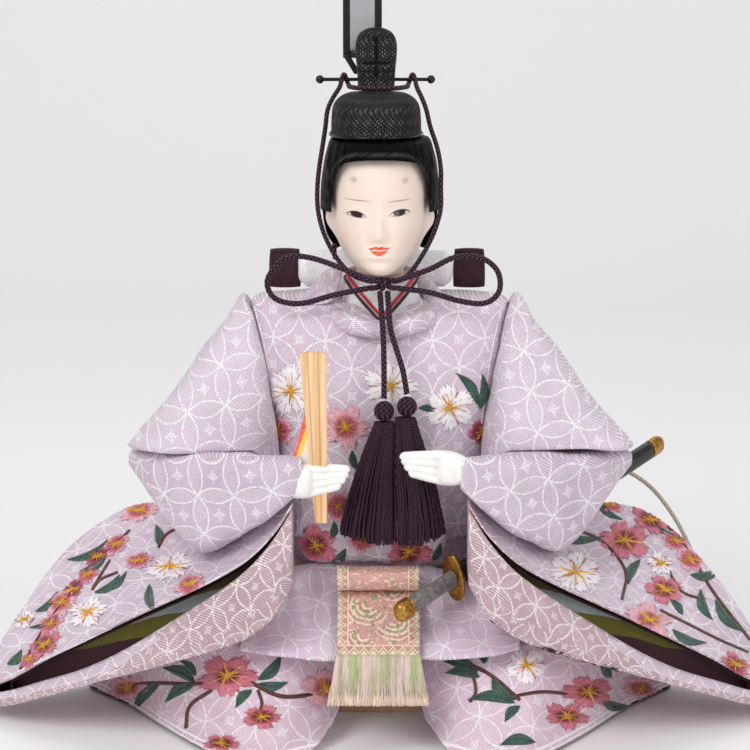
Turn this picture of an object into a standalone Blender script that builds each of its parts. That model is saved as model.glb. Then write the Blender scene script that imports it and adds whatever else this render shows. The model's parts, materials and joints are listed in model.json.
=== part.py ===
"""A seated emperor doll in court dress.

It has a straw body, wired arms, stiff robes, a lacquered hat, tassels and a sword. Metres, +Z up. The doll
faces -Y and sits on the floor plane z = 0, with the middle of its body over the origin. Left and right are
the doll's own, so its left hand is at +X. Tables of shares are in parts of the sizes above them.
"""

import math

import bmesh
import bpy
import numpy as np
from mathutils import Matrix, Vector

MM = 0.001
GAMMA = 2.2

# Clearances
GAP = 0.3 * MM  # between pieces that touch
CLOTH_GAP = 0.4 * MM  # between stiff cloth and what it lies on
OVERRUN = 8 * MM  # how far a cutter passes what it cuts
MOST_STRETCH = 1.8  # of a clearance, at a cutter's sharp edges

# Base board and straw core
STRAIGHT_SHARES = [(0.0, 1.0, 1.0, 1.0), (1.0, 1.0, 1.0, 1.0)]  # height, half width, front, back
BOARD_HALF, BOARD_FRONT, BOARD_BACK, BOARD_THICK = 38 * MM, 12 * MM, 27 * MM, 5.7 * MM
CORE_HALF, CORE_FRONT, CORE_BACK, CORE_TOP = 34 * MM, 22 * MM, 24 * MM, 141 * MM
CORE_SHARES = [  # height, half width, front, back
    (0.0, 1.0, 0.52, 1.0),
    (0.4, 0.85, 1.0, 0.95),
    (0.70, 0.91, 1.0, 0.95),
    (0.88, 1.0, 0.82, 0.80),
    (0.935, 0.94, 0.62, 0.68),
    (0.965, 0.42, 0.50, 0.62),
    (1.0, 0.36, 0.42, 0.60),
]

# Robe on the body
BODY_BOTTOM, BODY_TOP, BODY_HALF, BODY_FRONT, BODY_BACK = 64 * MM, CORE_TOP, 43.5 * MM, 31 * MM, 28 * MM
BODY_SHARES = [  # height, half width, front, back
    (0.0, 0.76, 0.95, 0.95),
    (0.20, 0.79, 0.98, 0.98),
    (0.38, 0.84, 0.95, 1.0),
    (0.60, 0.90, 0.90, 1.0),
    (0.79, 0.95, 0.80, 0.96),
    (0.92, 0.985, 0.64, 0.90),
    (0.985, 0.985, 0.50, 0.84),
    (1.0, 0.95, 0.42, 0.76),
]

# Pouch of the robe over the belt, and the belt
FOLD_LEFT, FOLD_RIGHT, FOLD_TOP, FOLD_BOTTOM = 19 * MM, 27 * MM, 86 * MM, 58 * MM
FOLD_DEPTH, FOLD_TUCK = 4.8 * MM, 6 * MM
BELT_TOP, BELT_HEIGHT, BELT_HALF, BELT_FRONT, BELT_BACK = 63.5 * MM, 7.7 * MM, 33 * MM, 29.3 * MM, 26.5 * MM

# Wide sleeve: a flat bag that hangs from the forearm, open along its front
SPAN, SLEEVE_FRONT, SLEEVE_RISE, SLEEVE_BACK = 136 * MM, 60 * MM, 86 * MM, 22 * MM
SLEEVE_WALL, LINING_WALL, LAYER_RECESS = 1.5 * MM, 0.9 * MM, 4.5 * MM
SLEEVE_BULGE, SLEEVE_SAG, LIP_REACH = 1.6 * MM, 1.8 * MM, 9 * MM
LIP_EDGE = 0.12  # share of the mouth's height that each lip takes
BAG_SHARES = [  # reach, lip front, lower lip, mouth, hem front, hem, ridge back, ridge, back hem
    (0.205, 0.90, 0.950, 0.020, 0.95, 0.665, -1.95, 0.995, 0.70),
    (0.25, 0.95, 0.840, 0.026, 1.01, 0.550, -1.70, 0.925, 0.61),
    (0.31, 0.95, 0.730, 0.036, 1.01, 0.478, -1.25, 0.860, 0.53),
    (0.38, 0.92, 0.640, 0.044, 0.98, 0.425, -0.20, 0.815, 0.46),
    (0.48, 0.85, 0.530, 0.052, 0.92, 0.365, 0.55, 0.790, 0.35),
    (0.59, 0.77, 0.420, 0.058, 0.83, 0.300, 0.95, 0.772, 0.26),
    (0.70, 0.67, 0.325, 0.056, 0.73, 0.235, 1.0, 0.715, 0.18),
    (0.81, 0.55, 0.240, 0.046, 0.60, 0.160, 0.75, 0.585, 0.11),
    (0.91, 0.42, 0.155, 0.030, 0.45, 0.088, 0.30, 0.385, 0.06),
    (1.0, 0.23, 0.085, 0.016, 0.25, 0.035, -0.25, 0.145, 0.04),
]
CAVITY_ROWS, LAYER_ROWS, MOUTH_ROWS = slice(2, 9), slice(3, 8), slice(0, 9)  # of that table

# Forearm sleeve
ARM_REACH, ARM_FRONT, ARM_BACK, ARM_TOP = 83.5 * MM, 56 * MM, 14 * MM, 92.4 * MM
ARM_SLOPE, ARM_PIVOT = 0.12, 8 * MM  # the seam at the elbow rises towards the front
ARM_SHARES = [  # reach, front, back, bottom, top
    (0.30, 0.97, -2.9, 0.885, 0.985),
    (0.38, 1.01, -2.7, 0.815, 1.0),
    (0.48, 1.0, -2.1, 0.745, 1.0),
    (0.575, 0.93, -0.2, 0.685, 1.0),
    (0.695, 0.82, 0.75, 0.640, 1.0),
    (0.81, 0.66, 1.0, 0.715, 1.0),
    (0.92, 0.46, 0.93, 0.840, 0.99),
    (1.0, 0.25, 0.45, 0.930, 0.975),
]

# Upper sleeve
UPPER_BOTTOM, UPPER_TOP = 92.9 * MM, CORE_TOP + 1 * MM
UPPER_REACH, UPPER_FRONT, UPPER_BACK = 82.8 * MM, 35 * MM, 17 * MM
UPPER_SHARES = [  # height, inner reach, outer reach, front, back
    (0.0, 0.40, 0.975, 0.92, 0.90),
    (0.06, 0.40, 1.0, 1.0, 1.0),
    (0.24, 0.415, 0.89, 0.92, 1.0),
    (0.45, 0.44, 0.795, 0.77, 1.0),
    (0.67, 0.47, 0.70, 0.58, 0.94),
    (0.86, 0.50, 0.615, 0.37, 0.82),
    (0.96, 0.525, 0.585, 0.20, 0.65),
    (1.0, 0.54, 0.568, 0.09, 0.47),
]

# Arm wire, bent at shoulder, elbow and wrist
WIRE_RADIUS, WIRE_SIDES, WIRE_STEP, WIRE_PLAY = 1.1 * MM, 5, 8.5 * MM, 0.5 * MM
WIRE_ROUTE_RIGHT = [
    (-26, -47.4, 90.6), (-36, -43.5, 88), (-52, -28, 85), (-66, -10, 87), (-66, -1, 97),
    (-57, 5, 112), (-46, 9, 124), (-34, 9.5, 127),
]
WIRE_LEFT_WRIST = (23, -48.0, 94.6)

# Hands
HAND_LENGTH, HAND_HEIGHT, HAND_THICK, FINGER_GROOVE = 20.5 * MM, 5.7 * MM, 4.5 * MM, 0.45 * MM
HAND_SHARES = [  # along, rise, half height, half thickness
    (0.0, -0.10, 0.78, 0.78),
    (0.14, -0.04, 0.95, 0.95),
    (0.36, 0.02, 1.0, 1.0),
    (0.58, 0.10, 0.93, 0.92),
    (0.78, 0.18, 0.76, 0.62),
    (0.93, 0.24, 0.56, 0.44),
    (1.0, 0.26, 0.30, 0.24),
]
RIGHT_HAND_AT = (-30.0 * MM, -50.5 * MM, 90.0 * MM)
LEFT_HAND_AT = (26.5 * MM, -50.5 * MM, 94.2 * MM)

# Baton and the folded paper behind it
SHAKU_TOP, SHAKU_BOTTOM, SHAKU_THICK, SHAKU_FRONT = 131 * MM, 76.6 * MM, 2.0 * MM, 52 * MM
SHAKU_EDGE, SHAKU_TOP_WIDTH, SHAKU_BOTTOM_WIDTH, SHAKU_CROWN = 16.9 * MM, 8.4 * MM, 3.8 * MM, 0.6 * MM
PAPER_THICK, PAPER_TOP, PAPER_HEIGHT, PAPER_WIDTH = 0.8 * MM, 116 * MM, 27 * MM, 9.5 * MM
PAPER_EDGE = 18.6 * MM
PAPER_SHARES = [(0.42, 1.0), (1.0, 0.26), (0.70, 0.0), (0.0, 0.0), (0.0, 0.36)]  # across, up

# Head, on the core; everything above the shoulders is measured from its foot or its top
HEAD_BASE, HEAD_HEIGHT = CORE_TOP + GAP, 61.7 * MM
HEAD_TOP, HEAD_HALF, HEAD_FRONT, HEAD_BACK = HEAD_BASE + HEAD_HEIGHT, 16.5 * MM, 26.5 * MM, 21.5 * MM
HEAD_SHARES = [  # height, half width, front, back
    (0.0, 0.48, 0.22, 0.43),
    (0.13, 0.48, 0.22, 0.43),
    (0.148, 0.44, 0.55, 0.44),
    (0.165, 0.44, 0.86, 0.46),
    (0.19, 0.56, 0.955, 0.51),
    (0.23, 0.69, 0.985, 0.62),
    (0.28, 0.80, 1.0, 0.74),
    (0.35, 0.89, 0.985, 0.86),
    (0.43, 0.955, 0.98, 0.94),
    (0.52, 0.985, 0.965, 0.98),
    (0.61, 1.0, 0.985, 1.0),
    (0.71, 0.985, 0.97, 0.98),
    (0.81, 0.90, 0.86, 0.84),
    (0.86, 0.79, 0.70, 0.66),
    (0.90, 0.68, 0.60, 0.56),
    (0.97, 0.44, 0.40, 0.38),
    (1.0, 0.18, 0.15, 0.16),
]
NOSE_AT, NOSE_OUT, NOSE_WIDE, NOSE_HIGH = 0.384, 2.9 * MM, 2.6 * MM, 3.6 * MM  # at, in parts of the height
EAR_AT, EAR_Y, EAR_OUT, EAR_DEEP, EAR_HIGH = 0.4246, 1.5 * MM, 2.7 * MM, 3.2 * MM, 4.6 * MM
NECK_Y = 2 * MM
PEG_RADIUS, PEG_IN_HEAD, PEG_IN_CORE, PEG_SIDES = 4 * MM, 9.7 * MM, 47 * MM, 16
PEG_TOP, PEG_BOTTOM = HEAD_BASE + PEG_IN_HEAD, CORE_TOP - PEG_IN_CORE
PEG_SHARES = [(0.0, 0.55), (0.2, 1.0), (1.0, 1.0)]  # height, radius

# Hair
HAIR_TOP, HAIR_BASE = HEAD_TOP + 3 * MM, HEAD_BASE + 15.7 * MM
HAIR_HALF, HAIR_FRONT, HAIR_BACK = 19.6 * MM, 27.8 * MM, 25.5 * MM
HAIR_SHARES = [  # height, half width, front, back
    (0.0, 0.79, 0.29, 0.82),
    (0.10, 0.93, 0.50, 0.92),
    (0.27, 1.0, 0.72, 0.98),
    (0.43, 1.0, 0.90, 1.0),
    (0.59, 0.95, 1.0, 0.96),
    (0.69, 0.89, 0.985, 0.90),
    (0.755, 0.83, 0.89, 0.83),
    (0.785, 0.70, 0.66, 0.63),
    (0.90, 0.62, 0.58, 0.54),
    (0.985, 0.44, 0.40, 0.40),
    (1.0, 0.20, 0.18, 0.18),
]
HAIRLINE_TOP, HAIRLINE_HALF, HAIRLINE_CURVE = HEAD_TOP - 13.7 * MM, 15.9 * MM, 11.4 * MM
SIDEBURN_Z, SIDEBURN_Y = HEAD_BASE + 29.7 * MM, 5.5 * MM
HAIR_POWER = 2.1
ARCH_SHARES = [(1.0, 1.0), (0.97, 0.75), (0.90, 0.46), (0.83, 0.27), (0.70, 0.11), (0.35, 0.02)]  # across, down
HAIR_SIDE_Y = -3 * MM

# Hat: cap, upright crown, pin
HAT_X = -1.3 * MM
CAP_BASE, CAP_HEIGHT, CAP_HALF, CAP_FRONT, CAP_BACK = HEAD_TOP - 8 * MM, 14.3 * MM, 15.3 * MM, 20.5 * MM, 18 * MM
CAP_TOP = CAP_BASE + CAP_HEIGHT
CAP_SHARES = [  # height, half width, front, back
    (0.0, 1.0, 1.0, 1.0),
    (0.10, 0.99, 0.985, 0.985),
    (0.40, 0.965, 0.955, 0.955),
    (0.68, 0.93, 0.91, 0.92),
    (0.86, 0.82, 0.80, 0.82),
    (0.97, 0.64, 0.62, 0.66),
    (1.0, 0.44, 0.42, 0.46),
]
CROWN_BASE, CROWN_HEIGHT = CAP_TOP + 0.4 * MM, 20.3 * MM
CROWN_TOP, CROWN_HALF, CROWN_Y, CROWN_DEPTH = CROWN_BASE + CROWN_HEIGHT, 6.9 * MM, 7.5 * MM, 4.3 * MM
CROWN_SHARES = [  # height, half width, front, back
    (0.0, 0.88, 1.0, 2.3),
    (0.26, 0.91, 0.97, 2.3),
    (0.33, 0.93, 0.95, 0.98),
    (0.62, 1.0, 0.90, 0.90),
    (0.80, 0.96, 0.86, 0.86),
    (0.92, 0.76, 0.80, 0.80),
    (0.98, 0.46, 0.70, 0.70),
    (1.0, 0.22, 0.55, 0.55),
]
PIN_Z, PIN_RADIUS, PIN_KNOB = CROWN_BASE + 3.3 * MM, 0.65 * MM, 1.45 * MM
PIN_LEFT, PIN_RIGHT, PIN_SIDES = 16.8 * MM, 19.9 * MM, 8
KNOB_SHARES = [(-1.0, 0.25), (-0.72, 0.72), (0.0, 1.0), (0.72, 0.72)]  # along, radius

# Standing tail of the hat
TAIL_BASE, TAIL_HEIGHT = CROWN_BASE + 10 * MM, 100.3 * MM
TAIL_TOP, TAIL_Y, TAIL_THICK, TAIL_LEAN = TAIL_BASE + TAIL_HEIGHT, 14.6 * MM, 0.8 * MM, 7 * MM
TAIL_LEFT, TAIL_RIGHT, TAIL_BORDER = 0.6 * MM, -12.4 * MM, 2.0 * MM
TENON_FOOT, TENON_TOP, TENON_LEFT, TENON_RIGHT = CROWN_BASE + 1.3 * MM, CROWN_BASE + 6.3 * MM, -0.9 * MM, -5.7 * MM
TAIL_STEPS, GAUZE_THICK = 4, 0.5 * MM

# Cords
CORD_RADIUS, CHIN_CORD_RADIUS, CORD_STEP, CORD_END_RADIUS = 0.95 * MM, 0.8 * MM, 5.6 * MM, 0.8 * MM
# Cord routes: x and y in millimetres; z in parts of the way from the head's foot to the pin
CHIN_ROUTE_RIGHT = [
    (-13.1, 4.7, 0.9749), (-14, 3.2, 0.9526), (-15.5, 1.4, 0.9219), (-17.3, -0.5, 0.8675),
    (-18, -2.5, 0.7908), (-18.9, -6, 0.7071), (-19.9, -9.5, 0.6165), (-20.5, -11.2, 0.5258),
    (-20.4, -12.2, 0.4351), (-19.2, -12.6, 0.3515), (-17, -13.5, 0.2748), (-13.4, -16, 0.1953),
    (-8.6, -19, 0.1353), (-3.7, -20.8, 0.1144),
]
CHIN_ROUTE_LEFT = [
    (11.9, 4.7, 0.9749), (12.6, 3.2, 0.9526), (13.7, 1.4, 0.9219), (15.2, -0.5, 0.8675),
    (16.5, -2.5, 0.7908), (18.7, -6, 0.7001), (19.8, -9.5, 0.6095), (19.8, -11.2, 0.5258),
    (19.8, -12.2, 0.4351), (18.5, -12.6, 0.3584), (16.4, -13.5, 0.2859), (13, -16, 0.2064),
    (9.2, -19, 0.1409), (5.7, -20.8, 0.1144),
]
WRAP_ROUTE = [
    (-10.3, 5, 0.9721), (-9.9, 0, 0.9721), (-6.6, -6, 0.9707), (-0.7, -8.2, 0.9707),
    (5.3, -6, 0.9707), (8.7, 0, 0.9721), (9.2, 5, 0.9721),
]
# From here z is in millimetres above the head's foot
LOOP_ROUTE_RIGHT = [
    (-3.6, -23.2, 8.7), (-11.4, -23, 12.3), (-22.8, -21.5, 16), (-30.9, -20.5, 15.6),
    (-36.6, -20, 8.6), (-34.3, -20.5, 2.6), (-26.1, -21, 0.9), (-14.7, -22.5, 4),
    (-3.6, -23.2, 6.3),
]
LOOP_ROUTE_LEFT = [
    (5.6, -23.2, 8.7), (16.1, -23, 12.5), (24.2, -21.5, 16.1), (32.4, -20.5, 15.9), (38, -20, 11.5),
    (38.7, -20, 4.9), (34.2, -20.5, 1), (26, -21, 1.7), (16.2, -22.5, 4.7), (5.6, -23.2, 6.3),
]
DROP_ROUTE_RIGHT = [
    (-0.1, -23.5, 5), (0.4, -28.9, -0.8), (1, -31, -9.3), (1.2, -32.6, -19.3), (1.2, -34, -28.1),
]
DROP_ROUTE_LEFT = [
    (2.4, -23.5, 5), (2.8, -28.9, -0.8), (3.3, -30.3, -5.8), (5.0, -31.4, -11.8), (7.2, -32.7, -18.8), (8.6, -34, -26.6),
]
CORD_END_ROUTE = [
    (-15, -11.9, 19.3), (-15, -11.9, 16.7), (-14.8, -11.9, 14.3),
]
PIN_TURN_RIGHT, PIN_TURN_LEFT = (-12.8 * MM, -10.4 * MM), (11.6 * MM, 9.2 * MM)  # outer and inner
PIN_TURN_STEPS = 6
KNOT_AT = (1.0 * MM, -22.6 * MM, HEAD_BASE + 7.5 * MM)
KNOT_HALF, KNOT_DEPTH, KNOT_HEIGHT = 4.3 * MM, 2.5 * MM, 2.1 * MM
BALL_RADIUS = 3.3 * MM
BALL_RIGHT_DROP, BALL_LEFT_DROP, FRINGE_DROP = 32 * MM, 30.5 * MM, 75.8 * MM
BALL_RIGHT_AT = (1.2 * MM, -34.6 * MM, HEAD_BASE - BALL_RIGHT_DROP)
BALL_LEFT_AT = (8.6 * MM, -34.6 * MM, HEAD_BASE - BALL_LEFT_DROP)
FRINGE_BOTTOM, FRINGE_DEPTH, FRINGE_REACH, FRINGE_DRIFT = HEAD_BASE - FRINGE_DROP, 4.3 * MM, 15 * MM, 6.5 * MM
SPLIT_X, SPLIT_SLOPE = 4.75 * MM, 0.02
FRINGE_SHARES = [  # down, outer reach, depth
    (0.0, 0.20, 0.60),
    (0.08, 0.28, 0.68),
    (0.30, 0.52, 0.80),
    (0.60, 0.80, 0.92),
    (0.90, 1.0, 1.0),
    (1.0, 0.97, 0.95),
]

# Collars at the neck
RING_X, RING_Y, RING_Z = 0.8 * MM, -5 * MM, CORE_TOP - 1 * MM
RING_HALF, RING_DEPTH, RING_RADIUS, RING_TILT = 17.6 * MM, 20 * MM, 3.1 * MM, 5.6 * MM
RING_STEPS, RING_SIDES = 20, 7
FUNNEL_HALF, FUNNEL_NECK, FUNNEL_FRONT, FUNNEL_BACK = 14 * MM, 10.8 * MM, 16.5 * MM, 14.5 * MM
FUNNEL_Y, FUNNEL_LOW, FUNNEL_STEPS = -2 * MM, CORE_TOP - 4 * MM, 16
FUNNEL_HIGH, FUNNEL_V = CORE_TOP + 9.6 * MM, CORE_TOP - 2.9 * MM
WRAP_HALF, WRAP_FRONT, WRAP_BACK, WRAP_TOP = 8.9 * MM, 9.5 * MM, 11.9 * MM, CORE_TOP + 7 * MM
EDGE_RADIUS, EDGE_SIDES, EDGE_SPREAD, COLLAR_PLAY = 0.5 * MM, 5, 1.5, 1.6 * MM
ROLL_LEFT, ROLL_RIGHT, ROLL_Y, ROLL_Z, ROLL_RADIUS = 25 * MM, -28 * MM, 21 * MM, CORE_TOP + 6.9 * MM, 6.4 * MM
ROLL_SHARES = [(0.0, 0.45), (0.03, 0.80), (0.10, 1.0), (0.5, 1.04), (0.90, 1.0), (0.97, 0.80), (1.0, 0.45)]
TAB_HEIGHT, TAB_WIDTH, TAB_THICK, TAB_Y, TAB_BOTTOM = 13.6 * MM, 11.4 * MM, 3.4 * MM, 22 * MM, CORE_TOP + GAP
TAB_RIGHT_X, TAB_LEFT_X = -32.6 * MM, 30.6 * MM
TAB_SHARES = [(0.0, 0.94, 0.8), (0.12, 1.0, 1.0), (0.8, 0.98, 1.0), (0.97, 0.92, 0.9), (1.0, 0.86, 0.5)]
FLAP_X, FLAP_Z, FLAP_WIDE, FLAP_HIGH = -26 * MM, CORE_TOP + 0.5 * MM, 13.5 * MM, 11.5 * MM
FLAP_FRONT, FLAP_THICK = 14.5 * MM, 3.5 * MM
FLAP_SHARES = [(0.0, 0.0), (0.72, 0.0), (1.0, 0.80), (0.90, 1.0), (0.62, 0.92), (0.22, 0.42)]  # across, up

# Sash
ROLLED_TOP, ROLLED_HEIGHT, ROLLED_DEPTH, ROLLED_Y = 59 * MM, 7.6 * MM, 8.4 * MM, -40 * MM
SASH_LEFT, SASH_RIGHT = 12.6 * MM, -13.8 * MM
PANEL_TOP, PANEL_BOTTOM, PANEL_THICK = 50.8 * MM, 34.8 * MM, 1.3 * MM
PANEL_TOP_Y, PANEL_BOTTOM_Y = -38.6 * MM, -56.3 * MM
FRINGE_FOOT, FRINGE_FOOT_Y, FRINGE_FLARE, FRINGE_THICK = 19 * MM, -60.5 * MM, 3 * MM, 2.0 * MM

# Cloth on the lap and knees
LAP_HALF, LAP_TOP, LAP_BOTTOM, LAP_BACK, LAP_FRONT = 45 * MM, 56 * MM, 33.4 * MM, 26.5 * MM, 55 * MM
LAP_DIP = 2.6 * MM  # of its lower edge at the middle
LAP_SHARES = [  # across, rise, push
    (-1.0, 0.60, 0.88),
    (-0.8, 0.80, 0.97),
    (-0.6, 0.93, 1.0),
    (-0.42, 0.98, 1.0),
    (-0.31, 0.86, 0.985),
    (0.0, 0.62, 0.95),
    (0.31, 0.80, 0.985),
    (0.42, 0.80, 1.0),
    (0.6, 0.78, 1.0),
    (0.8, 0.70, 0.97),
    (1.0, 0.60, 0.88),
]
LAP_FACE_SHARES = [
    (0, 0), (0, 1), (0.18, 1), (0.26, 0.82), (0.42, 0.55), (0.66, 0.32), (0.97, 0.12), (0.93, 0),
]
KNEE_REACH, KNEE_FRONT, KNEE_TOP, KNEE_BACK, KNEE_LIFT = 102 * MM, 60 * MM, 38 * MM, 26 * MM, 0.6 * MM
KNEE_FOLD, KNEE_FOLDS = 1.1 * MM, 3
KNEE_SHARES = [  # reach, front, top, foot
    (0.105, 0.44, 0.56, 0.36),
    (0.135, 0.56, 0.68, 0.24),
    (0.16, 0.68, 0.77, 0.15),
    (0.215, 0.86, 0.835, 0.02),
    (0.30, 0.97, 0.845, 0.0),
    (0.41, 1.0, 0.85, 0.0),
    (0.47, 0.97, 0.90, 0.0),
    (0.55, 0.83, 0.95, 0.0),
    (0.65, 0.60, 0.88, 0.0),
    (0.75, 0.34, 0.76, 0.0),
    (0.84, 0.10, 0.60, 0.0),
    (0.93, -0.08, 0.42, 0.0),
    (1.0, -0.22, 0.20, 0.0),
]
KNEE_FACE_SHARES = [
    (0.04, 0), (0, 0.1), (0.03, 0.34), (0.09, 0.64), (0.17, 0.9), (0.28, 1), (0.88, 0.92), (1, 0.7),
    (1, 0.08), (0.96, 0),
]
SKIRT_HALF, SKIRT_TOP, SKIRT_INNER, SKIRT_OUTER = 58 * MM, 63 * MM, 27.4 * MM, 50 * MM
SKIRT_FOLD, SKIRT_FOLDS = 1.6 * MM, 7
SKIRT_FACE_SHARES = [
    (0, 0), (0.97, 0), (1, 0.05), (0.78, 0.35), (0.52, 0.7), (0.32, 0.95), (0.22, 1), (0, 1),
]
SKIRT_SIDE_SHARES = [
    (-1, 0.52), (-0.86, 0.86), (-0.6, 1), (-0.3, 1), (0, 1), (0.3, 1), (0.6, 1), (0.86, 0.86),
    (1, 0.52),
]

# Sword, stuck through the dress from the front to the back left
SWORD_POMMEL, SWORD_TIP = (5.2 * MM, -60 * MM, 48.8 * MM), (100.9 * MM, 48 * MM, 80.8 * MM)
SWORD_HALF_WIDE, SWORD_HALF_THIN, SWORD_SIDES = 3.3 * MM, 2.4 * MM, 12
POMMEL_LENGTH, GRIP_LENGTH, CAP_LENGTH = 6.5 * MM, 21.5 * MM, 6.5 * MM
GUARD_THIN, GUARD_TALL, GUARD_THICK = 4.2 * MM, 8.2 * MM, 1.4 * MM
SWORD_PLAY = 0.7 * MM

# Stiff cream cord behind the left sleeve
BACK_CORD_RADIUS = 0.8 * MM
BACK_CORD_ROUTE = [
    (44, 38.2, 46), (52, 43, 53), (61, 48, 61), (72, 50, 68), (84, 50, 71.5), (96, 48.5, 66),
    (105, 45, 56), (111, 38, 45), (114, 27, 35), (115, 14.5, 28),
]

DAMASK = ((218, 202, 213), 0.55)
MAUVE = ((200, 177, 183), 0.6)
MAROON = ((47, 22, 29), 0.7)
LACQUER = ((20, 20, 22), 0.25)
CORD_LOOK = ((43, 24, 36), 0.6)
SKIN = ((250, 233, 219), 0.4)
WHITE = ((242, 240, 238), 0.45)
WOOD = ((243, 202, 160), 0.5)
BROCADE = ((198, 150, 128), 0.6)
GOLD = ((176, 132, 62), 0.3, 1.0)
STRAW = ((206, 178, 118), 0.8)
WIRE = ((150, 150, 150), 0.4, 1.0)
OLIVE = ((120, 120, 92), 0.7)
PAPER = ((238, 120, 70), 0.7)
HAIR = ((16, 15, 16), 0.25)
GAUZE = ((70, 70, 74), 0.6)
RED_EDGE, BROWN_EDGE = ((205, 30, 40), 0.6), ((70, 30, 32), 0.6)
FRINGE = ((175, 152, 120), 0.8)
GRIP = ((114, 108, 108), 0.6)
CREAM = ((226, 215, 196), 0.7)


def clear_scene():
    for thing in list(bpy.data.objects):
        bpy.data.objects.remove(thing, do_unlink=True)


def material(name, rgb, roughness, metallic=0.0):
    made = bpy.data.materials.new(name)
    made.use_nodes = True
    shader = made.node_tree.nodes["Principled BSDF"]
    shader.inputs["Base Color"].default_value = (*[(c / 255) ** GAMMA for c in rgb], 1)
    shader.inputs["Roughness"].default_value = roughness
    shader.inputs["Metallic"].default_value = metallic
    return made


def place(name, data, look, origin=(0, 0, 0)):
    """Put mesh or curve data in the scene, with its own material and its origin at a world point."""
    if isinstance(data, bpy.types.Mesh):
        data.transform(shift(origin))
    made = bpy.data.objects.new(name, data)
    made.location = origin
    bpy.context.scene.collection.objects.link(made)
    if look:
        data.materials.append(material(name, *look))
    return made


def shift(origin):
    return Matrix.Translation(-Vector(origin))


def closed_mesh(name, points, faces):
    mesh = bpy.data.meshes.new(name)
    mesh.from_pydata([tuple(p) for p in points], [], faces)
    shape = bmesh.new()
    shape.from_mesh(mesh)
    bmesh.ops.recalc_face_normals(shape, faces=shape.faces)
    shape.to_mesh(mesh)
    shape.free()
    mesh.shade_smooth()
    mesh.set_sharp_from_angle(angle=math.radians(40))
    return mesh


def lofted(name, rings, flat_ends=False):
    """A closed skin over rings of equal point counts, with a fan or one flat face at each end."""
    rings = np.array(rings, float)
    count, around = rings.shape[:2]
    points = [p for ring in rings for p in ring]
    faces = []
    for i in range(count - 1):
        for j in range(around):
            k = (j + 1) % around
            a, b = i * around, (i + 1) * around
            faces.append((a + j, a + k, b + k))
            faces.append((a + j, b + k, b + j))
    if flat_ends:
        faces.append(tuple(range(around))[::-1])
        faces.append(tuple(range((count - 1) * around, count * around)))
        return closed_mesh(name, points, faces)
    points += [rings[0].mean(0), rings[-1].mean(0)]
    first, last = count * around, count * around + 1
    for j in range(around):
        k = (j + 1) % around
        faces.append((first, k, j))
        faces.append((last, (count - 1) * around + j, (count - 1) * around + k))
    return closed_mesh(name, points, faces)


def guide(made):
    """Mark an object as a cutter, which is not part of the doll."""
    made.hide_render = True
    made.display_type = "WIRE"
    return made


def grown(source, gap):
    """A cutter: a copy of a piece's own mesh, each face moved outward by gap."""
    shape = bmesh.new()
    shape.from_mesh(source.data)
    bmesh.ops.remove_doubles(shape, verts=shape.verts, dist=GAP / 1000)
    shape.normal_update()
    moves = [(v, v.normal * gap * min(v.calc_shell_factor(), MOST_STRETCH)) for v in shape.verts]
    for vert, move in moves:
        vert.co += move
    mesh = bpy.data.meshes.new(source.name + ".room")
    shape.to_mesh(mesh)
    shape.free()
    made = bpy.data.objects.new(mesh.name, mesh)
    made.location = source.location
    bpy.context.scene.collection.objects.link(made)
    return guide(made)


def cut(piece, *cutters):
    for cutter in cutters:
        step = piece.modifiers.new("cut " + cutter.name, "BOOLEAN")
        step.operation = "DIFFERENCE"
        step.solver = "EXACT"
        step.use_self = True
        step.object = cutter


def oval(count, half, front, back, power=2.0):
    """Points round an oval whose front and back reach different depths."""
    points = []
    for i in range(count):
        angle = 2 * math.pi * i / count
        c, s = math.cos(angle), math.sin(angle)
        x = half * math.copysign(abs(c) ** (2 / power), c)
        y = math.copysign(abs(s) ** (2 / power), s)
        points.append((x, y * (back if y > 0 else front)))
    return points


def stacked(shares, base, top, half, front, back, count, power=2.0, x=0.0, y=0.0):
    """Level rings from a table of height, half width, front and back."""
    rings = []
    for height, wide, ahead, behind in shares:
        z = base + (top - base) * height
        ring = oval(count, half * wide, front * ahead, back * behind, power)
        rings.append([(x + px, y + py, z) for px, py in ring])
    return rings


def smooth_route(route, step, foot=0.0, height=MM):
    """Even points in metres along a smooth curve through a route: x and y in mm, z in heights above foot."""
    knots = np.array(route, float) * (MM, MM, height) + (0, 0, foot)
    ends = np.vstack([2 * knots[0] - knots[1], knots, 2 * knots[-1] - knots[-2]])
    fine = []
    for i in range(1, len(ends) - 2):
        p0, p1, p2, p3 = ends[i - 1 : i + 3]
        for t in np.linspace(0, 1, 24, endpoint=False):
            square, cube = 2 * p0 - 5 * p1 + 4 * p2 - p3, 3 * p1 - p0 - 3 * p2 + p3
            fine.append((2 * p1 + (p2 - p0) * t + square * t**2 + cube * t**3) / 2)
    fine = np.array(fine + [knots[-1]])
    along = np.concatenate([[0], np.cumsum(np.linalg.norm(np.diff(fine, axis=0), axis=1))])
    count = max(3, round(along[-1] / step) + 1)
    wanted = np.linspace(0, along[-1], count)
    return np.stack([np.interp(wanted, along, fine[:, i]) for i in range(3)], 1)


def tube(name, points, radius, look, origin=(0, 0, 0)):
    """A cord: a round bevel on a curve of straight segments, with filled ends."""
    curve = bpy.data.curves.new(name, "CURVE")
    curve.dimensions = "3D"
    curve.bevel_depth = radius
    curve.bevel_resolution = 2
    curve.use_fill_caps = True
    run = curve.splines.new("POLY")
    run.points.add(len(points) - 1)
    for spot, p in zip(run.points, points):
        spot.co = (*(Vector(p) - Vector(origin)), 1)
    return place(name, curve, look, origin)


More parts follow.
